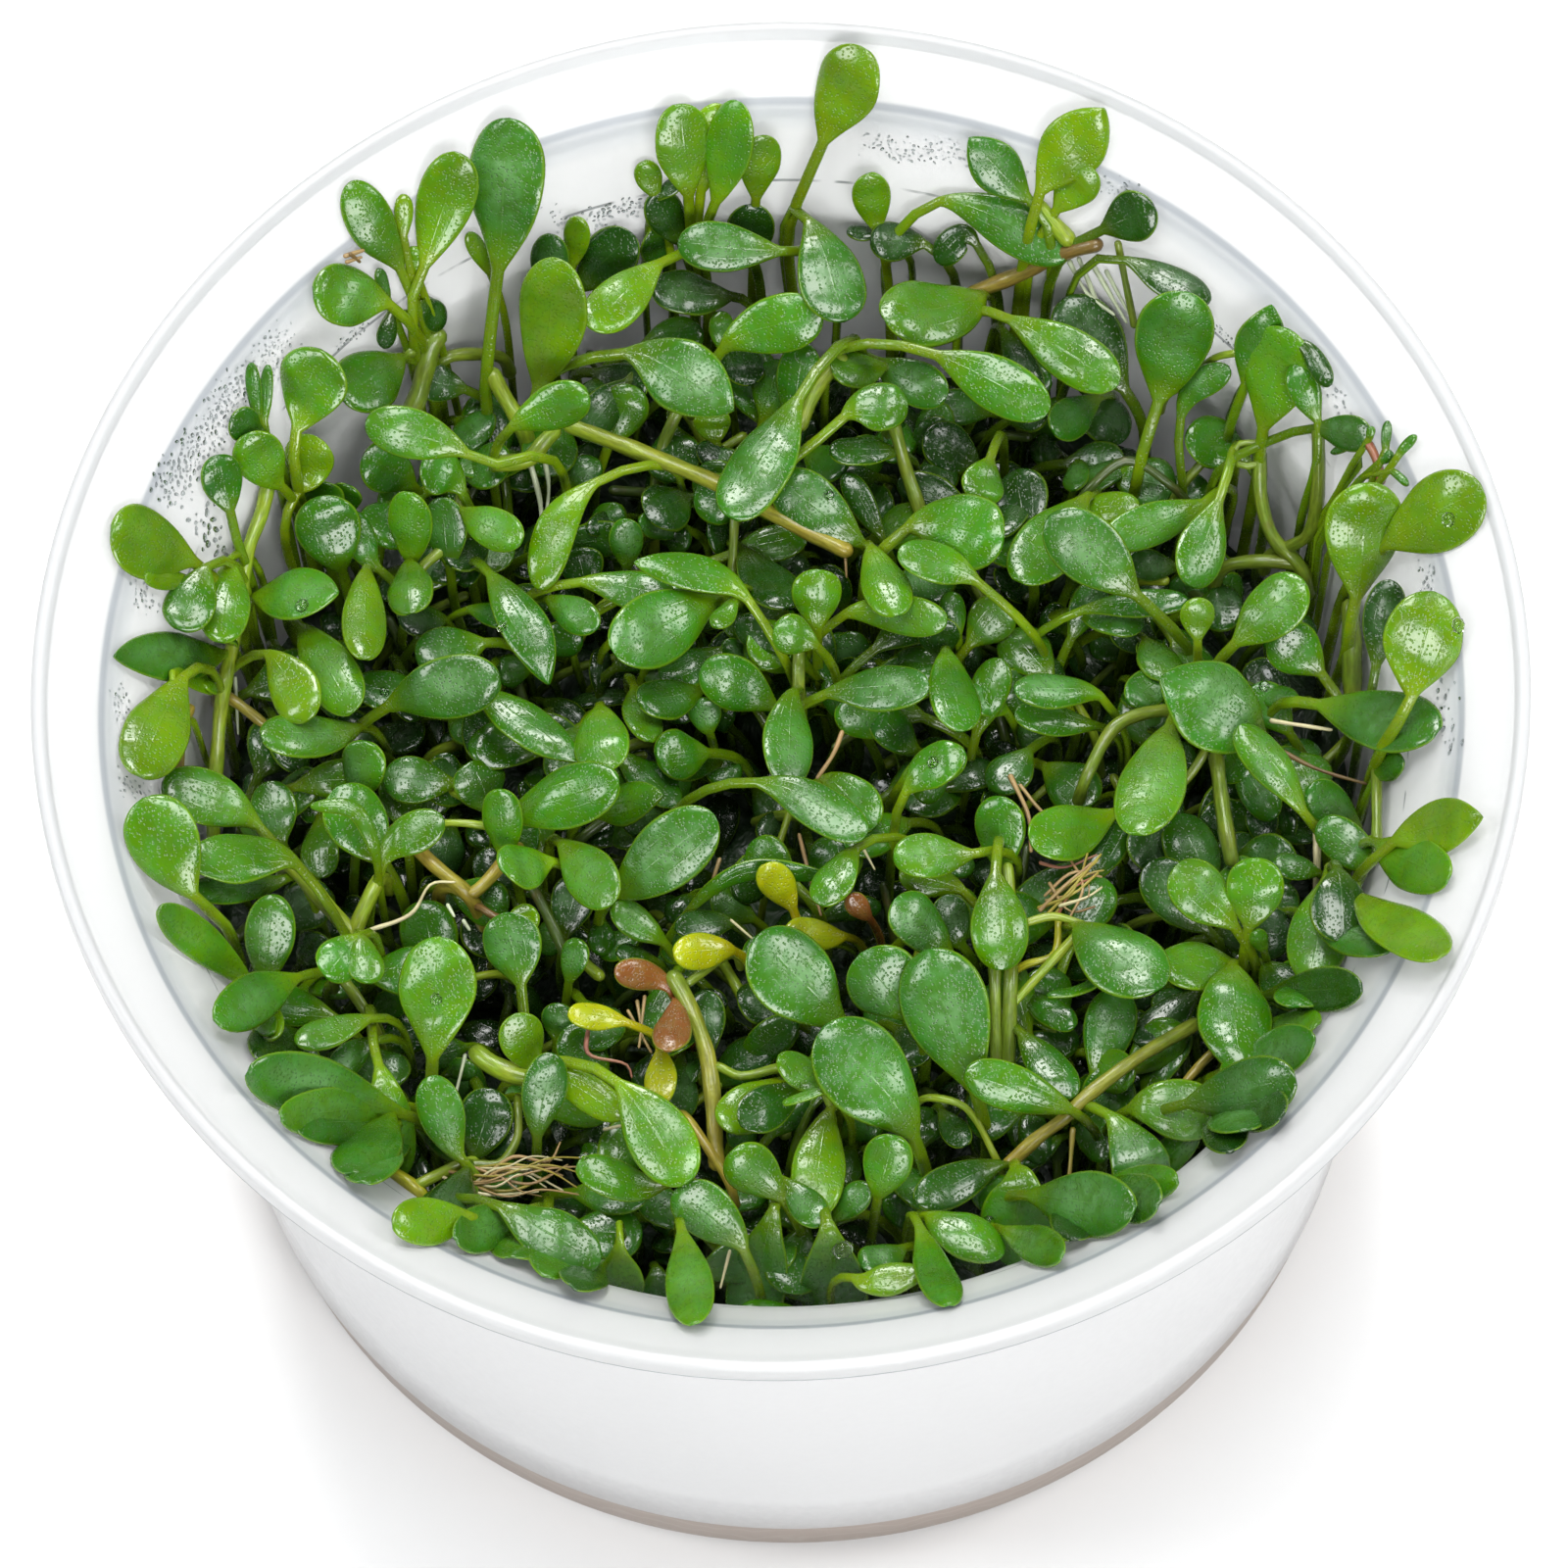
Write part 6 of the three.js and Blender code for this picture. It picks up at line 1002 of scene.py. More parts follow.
def cup_material():
    mat, nt, bsdf = new_material("cup_plastic")
    co = nt.nodes.new("ShaderNodeTexCoord").outputs["Object"]
    big = noise(nt, 60, 3, 0.5, co)
    fine = noise(nt, 2600, 2, 0.6, co)
    # painted shade on the moulding: a grey-blue band and a darker line along the lip of the mouth
    sep = nt.nodes.new("ShaderNodeSeparateXYZ")
    nt.links.new(co, sep.inputs[0])
    r2 = math_node(nt, "ADD", math_node(nt, "MULTIPLY", sep.outputs[0], sep.outputs[0]), math_node(nt, "MULTIPLY", sep.outputs[1], sep.outputs[1]))
    rr = math_node(nt, "SQRT", r2)
    lip = math_node(nt, "MULTIPLY", remap(nt, rr, 0.0441, 0.0450, 0, 1), remap(nt, rr, 0.0455, 0.0461, 1, 0))
    line = math_node(nt, "MULTIPLY", remap(nt, rr, 0.0454, 0.0457, 0, 1), remap(nt, rr, 0.04585, 0.0461, 1, 0))
    above = remap(nt, sep.outputs[2], 0.0528, 0.0535, 0, 1)
    col = mix_colour(nt, big, (0.852, 0.857, 0.86), (0.872, 0.876, 0.879))
    col = mix_colour(nt, math_node(nt, "MULTIPLY", math_node(nt, "MULTIPLY", lip, above), 0.35), col, (0.55, 0.60, 0.64))
    col = mix_colour(nt, math_node(nt, "MULTIPLY", math_node(nt, "MULTIPLY", line, above), 0.70), col, (0.28, 0.32, 0.37))
    # painted shade: a fine broken dark line at the step in the mould above the straight wall, and a dark line along the
    # edge of the skirt
    zz = sep.outputs[2]
    step = math_node(nt, "MULTIPLY", remap(nt, zz, 0.04986, 0.04992, 0, 1), remap(nt, zz, 0.05003, 0.05009, 1, 0))
    step = math_node(nt, "MULTIPLY", math_node(nt, "MULTIPLY", step, remap(nt, rr, 0.0423, 0.0425, 1, 0)), remap(nt, noise(nt, 260, 2, 0.6, co), 0.46, 0.56, 0, 1))
    col = mix_colour(nt, math_node(nt, "MULTIPLY", step, 0.85), col, (0.10, 0.12, 0.12))
    skirt_shade_line = math_node(nt, "MULTIPLY", remap(nt, zz, 0.0568, 0.0570, 1, 0), remap(nt, rr, 0.0494, 0.0497, 0, 1))
    col = mix_colour(nt, math_node(nt, "MULTIPLY", skirt_shade_line, 0.9), col, (0.16, 0.19, 0.20))
    # painted shade: a faint grey ring across the middle of the flange
    ring = math_node(nt, "MULTIPLY", remap(nt, rr, 0.0485, 0.0491, 0, 1), remap(nt, rr, 0.0493, 0.0498, 1, 0))
    col = mix_colour(nt, math_node(nt, "MULTIPLY", math_node(nt, "MULTIPLY", ring, above), 0.10), col, (0.55, 0.58, 0.60))
    # the gel shows through the clear foot below the wrap
    foot = math_node(nt, "MULTIPLY", remap(nt, zz, 0.0052, 0.0056, 1, 0), remap(nt, rr, 0.0350, 0.0372, 0, 1))
    wave = remap(nt, math_node(nt, "SINE", math_node(nt, "ADD", math_node(nt, "MULTIPLY", zz, 5200.0), math_node(nt, "MULTIPLY", noise(nt, 150, 3, 0.6, co), 24.0))), 0.5, 0.95, 0, 1)
    taupe = mix_colour(nt, wave, (0.58, 0.475, 0.405), (0.64, 0.54, 0.47))
    # painted shade: darker along the bottom edge of the foot, where it stands on the floor
    taupe = mix_colour(nt, remap(nt, zz, 0.0003, 0.0006, 0.7, 0), taupe, (0.22, 0.16, 0.12))
    col = mix_colour(nt, math_node(nt, "MULTIPLY", foot, 0.9), col, taupe)
    nt.links.new(col, bsdf.inputs["Base Color"])
    nt.links.new(remap(nt, big, 0.3, 0.7, 0.34, 0.40), bsdf.inputs["Roughness"])
    nt.links.new(bump(nt, fine, 0.00001, 0.2), bsdf.inputs["Normal"])
    bsdf.inputs["IOR"].default_value = 1.49
    bsdf.inputs["Specular IOR Level"].default_value = 0.35
    bsdf.inputs["Transmission Weight"].default_value = 0.52
    return mat


def label_material():
    mat, nt, bsdf = new_material("label_film")
    co = nt.nodes.new("ShaderNodeTexCoord").outputs["Object"]
    big = noise(nt, 45, 3, 0.5, co)
    fine = noise(nt, 1500, 3, 0.6, co)
    col = mix_colour(nt, remap(nt, big, 0.3, 0.7, 0, 1), (0.95, 0.955, 0.96), (0.965, 0.968, 0.972))
    nt.links.new(col, bsdf.inputs["Base Color"])
    nt.links.new(remap(nt, fine, 0.3, 0.7, 0.36, 0.48), bsdf.inputs["Roughness"])
    nt.links.new(bump(nt, fine, 0.00001, 0.3, bump(nt, big, 0.0005, 0.3)), bsdf.inputs["Normal"])
    bsdf.inputs["IOR"].default_value = 1.3
    bsdf.inputs["Transmission Weight"].default_value = 0.48
    return mat


def gel_material():
    mat, nt, bsdf = new_material("gel")
    co = nt.nodes.new("ShaderNodeTexCoord").outputs["Object"]
    big = noise(nt, 120, 4, 0.55, co, 0.6)
    fine = noise(nt, 900, 3, 0.6, co)
    # faint wavy layers where the gel set against the wall
    sep = nt.nodes.new("ShaderNodeSeparateXYZ")
    nt.links.new(co, sep.inputs[0])
    level = math_node(nt, "ADD", math_node(nt, "MULTIPLY", sep.outputs[2], 5200.0), math_node(nt, "MULTIPLY", noise(nt, 95, 2, 0.5, co), 9.0))
    wave = remap(nt, math_node(nt, "SINE", level), 0.55, 0.95, 0, 1)
    col = mix_colour(nt, remap(nt, big, 0.35, 0.65, 0, 1), (0.40, 0.345, 0.31), (0.54, 0.48, 0.44))
    col = mix_colour(nt, math_node(nt, "MULTIPLY", wave, 0.45), col, (0.74, 0.68, 0.63))
    nt.links.new(col, bsdf.inputs["Base Color"])
    nt.links.new(remap(nt, fine, 0.3, 0.7, 0.2, 0.4), bsdf.inputs["Roughness"])
    nt.links.new(bump(nt, big, 0.0006, 0.5), bsdf.inputs["Normal"])
    bsdf.inputs["IOR"].default_value = 1.34
    return mat


def base_material():
    mat, nt, bsdf = new_material("mat_dark")
    co = nt.nodes.new("ShaderNodeTexCoord").outputs["Object"]
    big = noise(nt, 300, 4, 0.6, co, 0.5)
    fine = noise(nt, 1400, 3, 0.6, co)
    # painted shade: the mass of the mat below the leaves is near black
    col = mix_colour(nt, remap(nt, big, 0.35, 0.65, 0, 1), (0.006, 0.022, 0.006), (0.02, 0.05, 0.012))
    nt.links.new(col, bsdf.inputs["Base Color"])
    nt.links.new(remap(nt, fine, 0.3, 0.7, 0.3, 0.6), bsdf.inputs["Roughness"])
    nt.links.new(bump(nt, big, 0.0015, 0.8), bsdf.inputs["Normal"])
    return mat


def water_material(name, tint):
    mat, nt, bsdf = new_material(name)
    co = nt.nodes.new("ShaderNodeTexCoord").outputs["Object"]
    n = noise(nt, 1200, 1, 0.5, co)
    nt.links.new(remap(nt, n, 0.3, 0.7, 0.0, 0.04), bsdf.inputs["Roughness"])
    bsdf.inputs["Base Color"].default_value = tint + (1,)
    bsdf.inputs["IOR"].default_value = 1.333
    bsdf.inputs["Transmission Weight"].default_value = 1.0
    return mat


M_LEAF, M_STEM, M_ROOT = leaf_material("leaf_wet"), stem_material("stem_wet"), stem_material("root_fibre", 0.5)
# painted shade: the condensation drops are tinted grey, so the clear water looks dark against the wall
M_CUP, M_LABEL, M_GEL, M_BASE, M_WATER = cup_material(), label_material(), gel_material(), base_material(), water_material("water_drops", (0.60, 0.64, 0.64))
M_BEAD = water_material("water_beads", (1.0, 1.0, 1.0))

# --------------------------------------------------------------- lathes


def fillet(profile, closed=False, steps=5):
    """Rounds each inner corner of an open profile; each point is (r, z, radius)."""
    out = []
    n = len(profile)
    for i, (r, z, f) in enumerate(profile):
        if f <= 0 or (not closed and i in (0, n - 1)):
            out.append((r, z))
            continue
        p = np.array([r, z])
        a = np.array(profile[i - 1][:2]) - p
        b = np.array(profile[(i + 1) % n][:2]) - p
        la, lb = np.linalg.norm(a), np.linalg.norm(b)
        f = min(f, la * 0.45, lb * 0.45)
        s, e = p + a / la * f, p + b / lb * f
        for t in np.linspace(0, 1, steps + 1):
            q = (1 - t) ** 2 * s + 2 * t * (1 - t) * p + t * t * e
            out.append((q[0], q[1]))
    return out


def lathe(name, profile, segments, material, on_axis=True, wobble=None, closed=False):
    """A body of revolution from a profile that starts and ends on the axis, or is closed."""
    prof = [(r * MM, z * MM) for r, z in profile]
    verts, faces = [], []
    rows = []
    for r, z in prof:
        if r < 1e-7:
            rows.append([len(verts)])
            verts.append((0, 0, z))
        else:
            row = []
            for k in range(segments):
                a = 2 * math.pi * k / segments
                dr = 0 if wobble is None else wobble(r / MM, z / MM, a) * MM
                row.append(len(verts))
                verts.append(((r + dr) * math.cos(a), (r + dr) * math.sin(a), z))
            rows.append(row)
    pairs = list(zip(rows, rows[1:])) + ([(rows[-1], rows[0])] if closed else [])
    for a, b in pairs:
        for k in range(segments):
            j = (k + 1) % segments
            if len(a) == 1 and len(b) == 1:
                continue
            if len(a) == 1:
                faces.append((a[0], b[k], b[j]))
            elif len(b) == 1:
                faces.append((a[k], b[0], a[j]))
            else:
                faces.append((a[k], b[k], b[j], a[j]))
    me = bpy.data.meshes.new(name)
    me.from_pydata(verts, [], faces)
    me.update()
    me.polygons.foreach_set("use_smooth", np.ones(len(me.polygons), bool))
    me.materials.append(material)
    ob = bpy.data.objects.new(name, me)
    bpy.context.scene.collection.objects.link(ob)
    fix_normals(ob)
    return ob


def fix_normals(ob):
    import bmesh
    bm = bmesh.new()
    bm.from_mesh(ob.data)
    bmesh.ops.recalc_face_normals(bm, faces=bm.faces)
    if bm.calc_volume(signed=True) < 0:
        bmesh.ops.reverse_faces(bm, faces=bm.faces)
    bm.to_mesh(ob.data)
    bm.free()


cup_profile = [
    (0, 0.7, 0), (35.0, 0.7, 0), (37.2, 0.72, 0.5), (37.93, 1.4, 0.6),
    (inner_r(46.4), 46.4, 1.2), (42.2, 50.0, 1.6), (45.45, 54.65, 0.6), (46.0, 55.25, 0.5),
    (48.9, 57.55, 0.9), (49.7, 58.3, 0.45), (50.36, 58.1, 0.6), (50.36, 56.6, 0.22),
    (49.75, 56.6, 0.22), (49.55, 57.0, 0.5), (46.3, 54.35, 1.0), (42.95, 49.65, 1.6),
    (wall_outer(46.6) + 0.05, 46.6, 1.0), (wall_outer(0.4), 0.4, 0.3), (38.35, 0.0, 0.25), (36.9, 0.0, 0.4), (36.2, 0.0, 0.4),
    (35.6, 0.25, 0.4), (0, 0.25, 0),
]
cup = lathe("cup_body", fillet(cup_profile), 160, M_CUP)
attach(cup, "root")
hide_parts(*[n for n in ("cup_bowl", "cup_rim", "cup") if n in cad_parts])

lz0, lz1 = 5.0, 46.0


def seam(r, z, a):
    # the wrap's loose end overlaps its start behind the cup
    d = (a - math.radians(100) + math.pi) % (2 * math.pi) - math.pi
    if r > wall_outer(z) + 0.42:
        return 0.16 * max(0.0, 1 - abs(d) / 0.09) ** 0.25 if abs(d) < 0.09 else 0.0
    return 0.0


lab = []
for z in np.linspace(lz0, lz1, 8):
    lab.append((wall_outer(z) + 0.3, z))
for z in np.linspace(lz1, lz0, 8):
    lab.append((wall_outer(z) + 0.55, z))
label = lathe("label_wrap", lab, 240, M_LABEL, wobble=seam, closed=True)
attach(label, "root")
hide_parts("label_sleeve")

gel_prof = [(0, 1.05, 0), (36.4, 1.05, 0.5), (37.45, 1.9, 0.5), (inner_r(8.6) - 0.3, 8.6, 0), (inner_r(9.0) - 0.35, 9.0, 0.2), (36.5, 8.75, 0.4), (0, 8.8, 0)]
gel = lathe("gel_disc", fillet(gel_prof), 128, M_GEL,
            wobble=lambda r, z, a: 0.10 * math.sin(7 * a + z) * (1 if r < 37 else 0))
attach(gel, "root")
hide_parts("gel_medium")

# ------------------------------------------------------------ plant mat base
def rough_base():
    S, R = 120, 34
    verts, faces = [], []
    pr = random.Random(3)
    ph = [(pr.uniform(0.1, 0.5), pr.uniform(0.1, 0.5), pr.uniform(0, 6.28)) for _ in range(10)]

    def h(x, y):
        v = 29.5
        for a, b, c in ph:
            v += 0.35 * math.sin(x * a * 2 + c) * math.cos(y * b * 2 + c * 1.7)
        return v
    rows = [[0]]
    verts.append((0, 0, h(0, 0)))
    for i in range(1, R + 1):
        row = []
        for k in range(S):
            a = 2 * math.pi * k / S
            r = (inner_r(29) - 0.4) * i / R
            z = h(r * math.cos(a), r * math.sin(a))
            row.append(len(verts))
            verts.append((r * math.cos(a), r * math.sin(a), z))
        rows.append(row)
    for z in (20.0, 9.4):
        row = []
        for k in range(S):
            a = 2 * math.pi * k / S
            r = inner_r(z) - 0.4
            row.append(len(verts))
            verts.append((r * math.cos(a), r * math.sin(a), z))
        rows.append(row)
    verts.append((0, 0, 9.4))
    rows.append([len(verts) - 1])
    for a, b in zip(rows, rows[1:]):
        for k in range(S):
            j = (k + 1) % S
            if len(a) == 1:
                faces.append((a[0], b[k], b[j]))
            elif len(b) == 1:
                faces.append((a[k], b[0], a[j]))
            else:
                faces.append((a[k], b[k], b[j], a[j]))
    me = bpy.data.meshes.new("mat_base")
    me.from_pydata([tuple(c * MM for c in v) for v in verts], [], faces)
    me.polygons.foreach_set("use_smooth", np.ones(len(me.polygons), bool))
    me.materials.append(M_BASE)
    ob = bpy.data.objects.new("mat_base", me)
    bpy.context.scene.collection.objects.link(ob)
    fix_normals(ob)
    return ob


mat_base = rough_base()
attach(mat_base, "root")
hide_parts("leaf_mat")

# ------------------------------------------------------------------ leaves
zones = {}


def zone(x, y):
    r = math.hypot(x, y)
    if r < 17:
        return "centre"
    a = math.degrees(math.atan2(y, x)) % 360
    if a < 45 or a >= 315:
        return "right"
    if a < 135:
        return "far"
    if a < 225:
        return "left"
    return "near"


own_built = []
for idx, (name, kind, width, start, roll, crown, tip, pts) in enumerate(LEAVES):
    r_ = np.random.default_rng(1000 + idx)
    if roll == 0:
        roll = r_.uniform(-20, 20)
        width = width / math.cos(math.radians(roll)) * 1.0
    if name in OWN:
        B = Builder()
        leaf(B, kind, width, start, roll, crown, tip, pts, own_rng=r_)
        own_built.append(B)
        ob = B.object("plant_leaf_" + name, M_LEAF)
        fix_normals(ob)
        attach(ob, "root")
        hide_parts("leaf_" + name)
    else:
        z = zone(pts[-1][0], pts[-1][1])
        B = zones.setdefault(z, Builder())
        leaf(B, kind, width, start, roll, crown, tip, pts, own_rng=r_)
for z, B in zones.items():
    ob = B.object("foliage_" + z, M_LEAF)
    fix_normals(ob)
    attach(ob, "root")
    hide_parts("leaf_mat")

# small leaves deeper in the mat
under = {}
ur = np.random.default_rng(21)
count = 0
while count < 620:
    r = 37.2 * math.sqrt(ur.uniform(0, 1))
    a = ur.uniform(0, 2 * math.pi)
    x, y = r * math.cos(a), r * math.sin(a)
    edge = max(0.0, (r - 26) / 12)
    far = max(0.0, math.sin(a))
    top = 41.0 - edge ** 2 * (1.0 + 4.5 * far + 2.5 * abs(math.cos(a)))
    z = top - 11.5 * ur.uniform(0, 1) ** 1.3
    az = ur.uniform(0, 2 * math.pi)
    el = math.radians(ur.uniform(5, 65))
    ln = ur.uniform(3.0, 6.2)
    d = np.array([math.cos(az) * math.cos(el), math.sin(az) * math.cos(el), math.sin(el)])
    b0 = np.array([x, y, z - 1.0])
    mid = b0 + d * ln * 0.5 + np.array([0, 0, 0.5])
    tipp = b0 + d * ln + np.array([0, 0, -0.25 * ln * ur.uniform(0, 1)])
    if tipp[2] > top + 0.8 or math.hypot(tipp[0], tipp[1]) > inner_r(tipp[2]) - 1.0:
        continue
    kind = ur.choice(["d", "g", "d", "g", "d", "d", "p"])
    # painted shade: leaves lower in the mat are darker, and those near the wall lighter
    dark = float(np.clip(1 - (top - tipp[2]) / 9.0, 0.34, 0.95)) * (1 + 0.35 * edge)
    zname = zone(x, y)
    B = under.setdefault(zname, Builder())
    leaf(B, kind, ur.uniform(1.6, 3.3), ur.uniform(0.1, 0.35), ur.uniform(-35, 35), ur.uniform(0.1, 0.6), "round", [b0, mid, tipp],
         K=10, rows=10, own_rng=ur, gloss=0.8, shade=dark)
    count += 1
# larger leaves half hidden under the top ones
count = 0
while count < 190:
    r = 37.4 * math.sqrt(ur.uniform(0.03, 1))
    a = ur.uniform(0, 2 * math.pi)
    x, y = r * math.cos(a), r * math.sin(a)
    edge = max(0.0, (r - 27) / 11)
    far = max(0.0, math.sin(a))
    near = max(0.0, -math.sin(a))
    top = 43.4 + 0.5 * near * edge - edge ** 2 * (3.6 * far + 1.2 * abs(math.cos(a)))
    z = top - 4.2 * ur.uniform(0, 1) ** 1.4
    az = ur.uniform(0, 2 * math.pi)
    el = math.radians(ur.uniform(0, 42))
    ln = ur.uniform(4.5, 7.8)
    d = np.array([math.cos(az) * math.cos(el), math.sin(az) * math.cos(el), math.sin(el)])
    tipp = np.array([x, y, z]) + d * ln * 0.45
    b0 = np.array([x, y, z]) - d * ln * 0.55 + np.array([0, 0, -0.6])
    mid = (b0 + tipp) / 2 + np.array([0, 0, ur.uniform(0.3, 0.9)])
    if tipp[2] > top + 0.9 or max(math.hypot(q[0], q[1]) - inner_r(q[2]) for q in (tipp, b0)) > -1.3:
        continue
    kind = ur.choice(["g", "b", "g", "p", "d", "g", "b"])
    # painted shade: darker the further below the top they sit, a little lighter near the wall
    shade = float(np.clip(1.0 - (top - z) / 8.0, 0.6, 0.98)) * (1 + 0.15 * edge)
    B = under.setdefault(zone(x, y), Builder())
    leaf(B, kind, ur.uniform(2.6, 4.1), ur.uniform(0.15, 0.35), ur.uniform(-30, 30), ur.uniform(0.1, 0.5), "round", [b0, mid, tipp],
         K=14, rows=16, own_rng=ur, gloss=0.9, shade=shade)
    count += 1
# leaves that lean on the ramp below the mouth, at the lower right and the lower left
lean = np.random.default_rng(77)
lean_b = Builder()
for a0, a1, n in ((-70, -24, 13), (210, 252, 12)):
    for i in range(n):
        a = math.radians(a0 + (a1 - a0) * (i + 0.5) / n + lean.uniform(-1.5, 1.5))
        zt = lean.uniform(50.8, 54.6)
        rt = inner_r(zt) - lean.uniform(0.3, 0.8)
        rb, zb, a2 = lean.uniform(34.5, 37.4), lean.uniform(40.5, 43.5), a + lean.uniform(-0.16, 0.16)
        b0 = np.array([rb * math.cos(a2), rb * math.sin(a2), zb])
        tipp = np.array([rt * math.cos(a), rt * math.sin(a), zt])
        leaf(lean_b, lean.choice(["g", "b", "g", "p", "d"]), lean.uniform(2.6, 4.8), lean.uniform(0.12, 0.35), lean.uniform(-26, 26), lean.uniform(0.1, 0.5), "round",
             [b0, (b0 + tipp) / 2 + np.array([0, 0, 0.4]), tipp], K=14, rows=16, own_rng=lean, shade=0.95)


def tree_of(B):
    return BVHTree.FromPolygons(np.concatenate(B.v).tolist(), [tuple(int(i) for i in f) for f in B.f])


# a few more reach up to the lip at the left and near side, where they clear the placed leaves and each other
taken = [tree_of(B) for B in list(zones.values()) + own_built + [lean_b]]
lip_count = 0
for a0, a1, n in ((206, 254, 16),):
    for i in (0, 1, 2, 3, 4, 15):
        for attempt in range(14):
            q = np.random.default_rng(11000 + 40 * i + attempt)
            a = math.radians(a0 + (a1 - a0) * (i + 0.5) / n + q.uniform(-2.5, 2.5))
            zt = q.uniform(54.6, 57.3)
            rt = inner_r(zt) - q.uniform(0.8, 1.5)
            rb, zb, a2 = q.uniform(33.0, 37.0), q.uniform(43.5, 47.5), a + q.uniform(-0.32, 0.32)
            b0 = np.array([rb * math.cos(a2), rb * math.sin(a2), zb])
            tipp = np.array([rt * math.cos(a), rt * math.sin(a), zt])
            mid = (b0 + tipp) / 2 + np.array([0, 0, q.uniform(0.7, 1.6)])
            args = (q.choice(["g", "b", "g", "b", "y"]), q.uniform(2.8, 4.4), q.uniform(0.12, 0.4), q.uniform(-34, 34), q.uniform(0.1, 0.45), "round",
                    [b0, mid, tipp])
            T = Builder()
            leaf(T, *args, K=12, rows=14, own_rng=np.random.default_rng(i + 50))
            pv = np.concatenate(T.v)
            if (np.hypot(pv[:, 0], pv[:, 1]) > inner_v(pv[:, 2]) - 0.2).any():
                continue
            t = tree_of(T)
            if any(t.overlap(o) for o in taken):
                continue
            taken.append(t)
            leaf(lean_b, *args, K=12, rows=14, own_rng=np.random.default_rng(i + 50))
            lip_count += 1
            break
print("leaves at the lip", lip_count)
ob = lean_b.object("leaves_leaning", M_LEAF)
fix_normals(ob)
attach(ob, "root")
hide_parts("leaf_mat")
for z, B in under.items():
    ob = B.object("understory_" + z, M_LEAF)
    fix_normals(ob)
    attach(ob, "root")
    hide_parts("leaf_mat")

# ------------------------------------------------------------------- stems
SC = {
    "yg": lin(124, 148, 30), "ol": lin(104, 126, 30), "dk": lin(60, 80, 22), "yb": lin(146, 134, 44), "br": lin(108, 84, 42),
    "ye": lin(160, 160, 30), "cr": lin(198, 190, 146), "tn": lin(160, 132, 84), "wh": lin(190, 200, 166), "pk": lin(160, 108, 84),
    "rd": lin(136, 82, 50),
}
joined = Builder()
for idx, (nodename, radius, col, pts) in enumerate(STEMS):
    r_ = np.random.default_rng(3000 + idx)
    c1, _, c2 = col.partition("-")
    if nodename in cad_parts:
        B = Builder()
        tube(B, pts, radius, SC[c1], own_rng=r_, col2=SC[c2] if c2 else None)
        ob = B.object("plant_" + nodename, M_STEM)
        fix_normals(ob)
        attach(ob, "root")
        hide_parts(nodename)
    else:
        q = [np.array(v, float) for v in pts]
        for end, nxt in ((0, 1), (-1, -2)):
            if pts[end][2] > 45.3:
                continue
            d = q[end] - q[nxt]
            d[2] = 0
            d /= np.linalg.norm(d) + 1e-9
            more = [q[end] + d * 0.9 + np.array([0, 0, -1.3]), q[end] + d * 1.4 + np.array([0, 0, -4.2])]
            q = more[::-1] + q if end == 0 else q + more
        tube(joined, q, radius, SC[c1], own_rng=r_, col2=SC[c2] if c2 else None)
# thin stems in the dark between the leaves
for k in range(110):
    r = 36 * math.sqrt(ur.uniform(0, 1))
    a = ur.uniform(0, 2 * math.pi)
    x, y = r * math.cos(a), r * math.sin(a)
    z1 = ur.uniform(35, 41.5)
    if r > 29:
        z1 = ur.uniform(33, 38)
    b = ur.uniform(0, 2 * math.pi)
    L = ur.uniform(3, 9)
    p0 = [x, y, z1 - ur.uniform(5, 9)]
    p1 = [x + 0.4 * L * math.cos(b), y + 0.4 * L * math.sin(b), z1 - 1.5]
    p2 = [x + L * math.cos(b), y + L * math.sin(b), z1]
    tube(joined, [p0, p1, p2], ur.uniform(0.25, 0.45), SC[ur.choice(["ol", "dk", "yg", "dk"])], K=7, own_rng=ur)
ob = joined.object("stems_joined", M_STEM)
fix_normals(ob)
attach(ob, "root")
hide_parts("leaf_mat")

roots = Builder()
for idx, (radius, col, pts) in enumerate(ROOTS):
    tube(roots, pts, radius, SC[col], K=6, step=0.4, wob=0.12, own_rng=np.random.default_rng(5000 + idx), taper=(1, 0.6))
ob = roots.object("roots_joined", M_ROOT)
fix_normals(ob)
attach(ob, "root")
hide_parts("leaf_mat")

# ------------------------------------------------------------- water drops
drops = Builder()


def drop(B, centre, normal, radius, height, turn=0.0, stretch=1.0):
    n = np.array(normal, float)
    n /= np.linalg.norm(n)
    a = np.cross(n, [0.3, 0.5, 0.8])
    a /= np.linalg.norm(a)
    b = np.cross(n, a)
    a, b = (a * math.cos(turn) + b * math.sin(turn)) * stretch, (b * math.cos(turn) - a * math.sin(turn)) / stretch
    K, R = 8, 3
    rings = []
    for i in range(R):
        t = (i + 0.6) / (R + 0.2) * math.pi
        rr = radius * math.sin(t)
        hh = height * math.cos(t)
        if hh < 0:
            hh *= 0.15
        th = np.arange(K) / K * 2 * math.pi
        rings.append(np.array(centre)[None, :] + rr * (np.cos(th)[:, None] * a + np.sin(th)[:, None] * b) + hh * n)
    P = np.array(rings)
    cnt = R * K + 2
    B.rings(P, np.array(centre) + n * height, np.array(centre) - n * height * 0.15, np.ones((cnt, 3)), np.zeros(cnt), np.zeros((cnt, 2)))


wr = np.random.default_rng(11)


placed = []


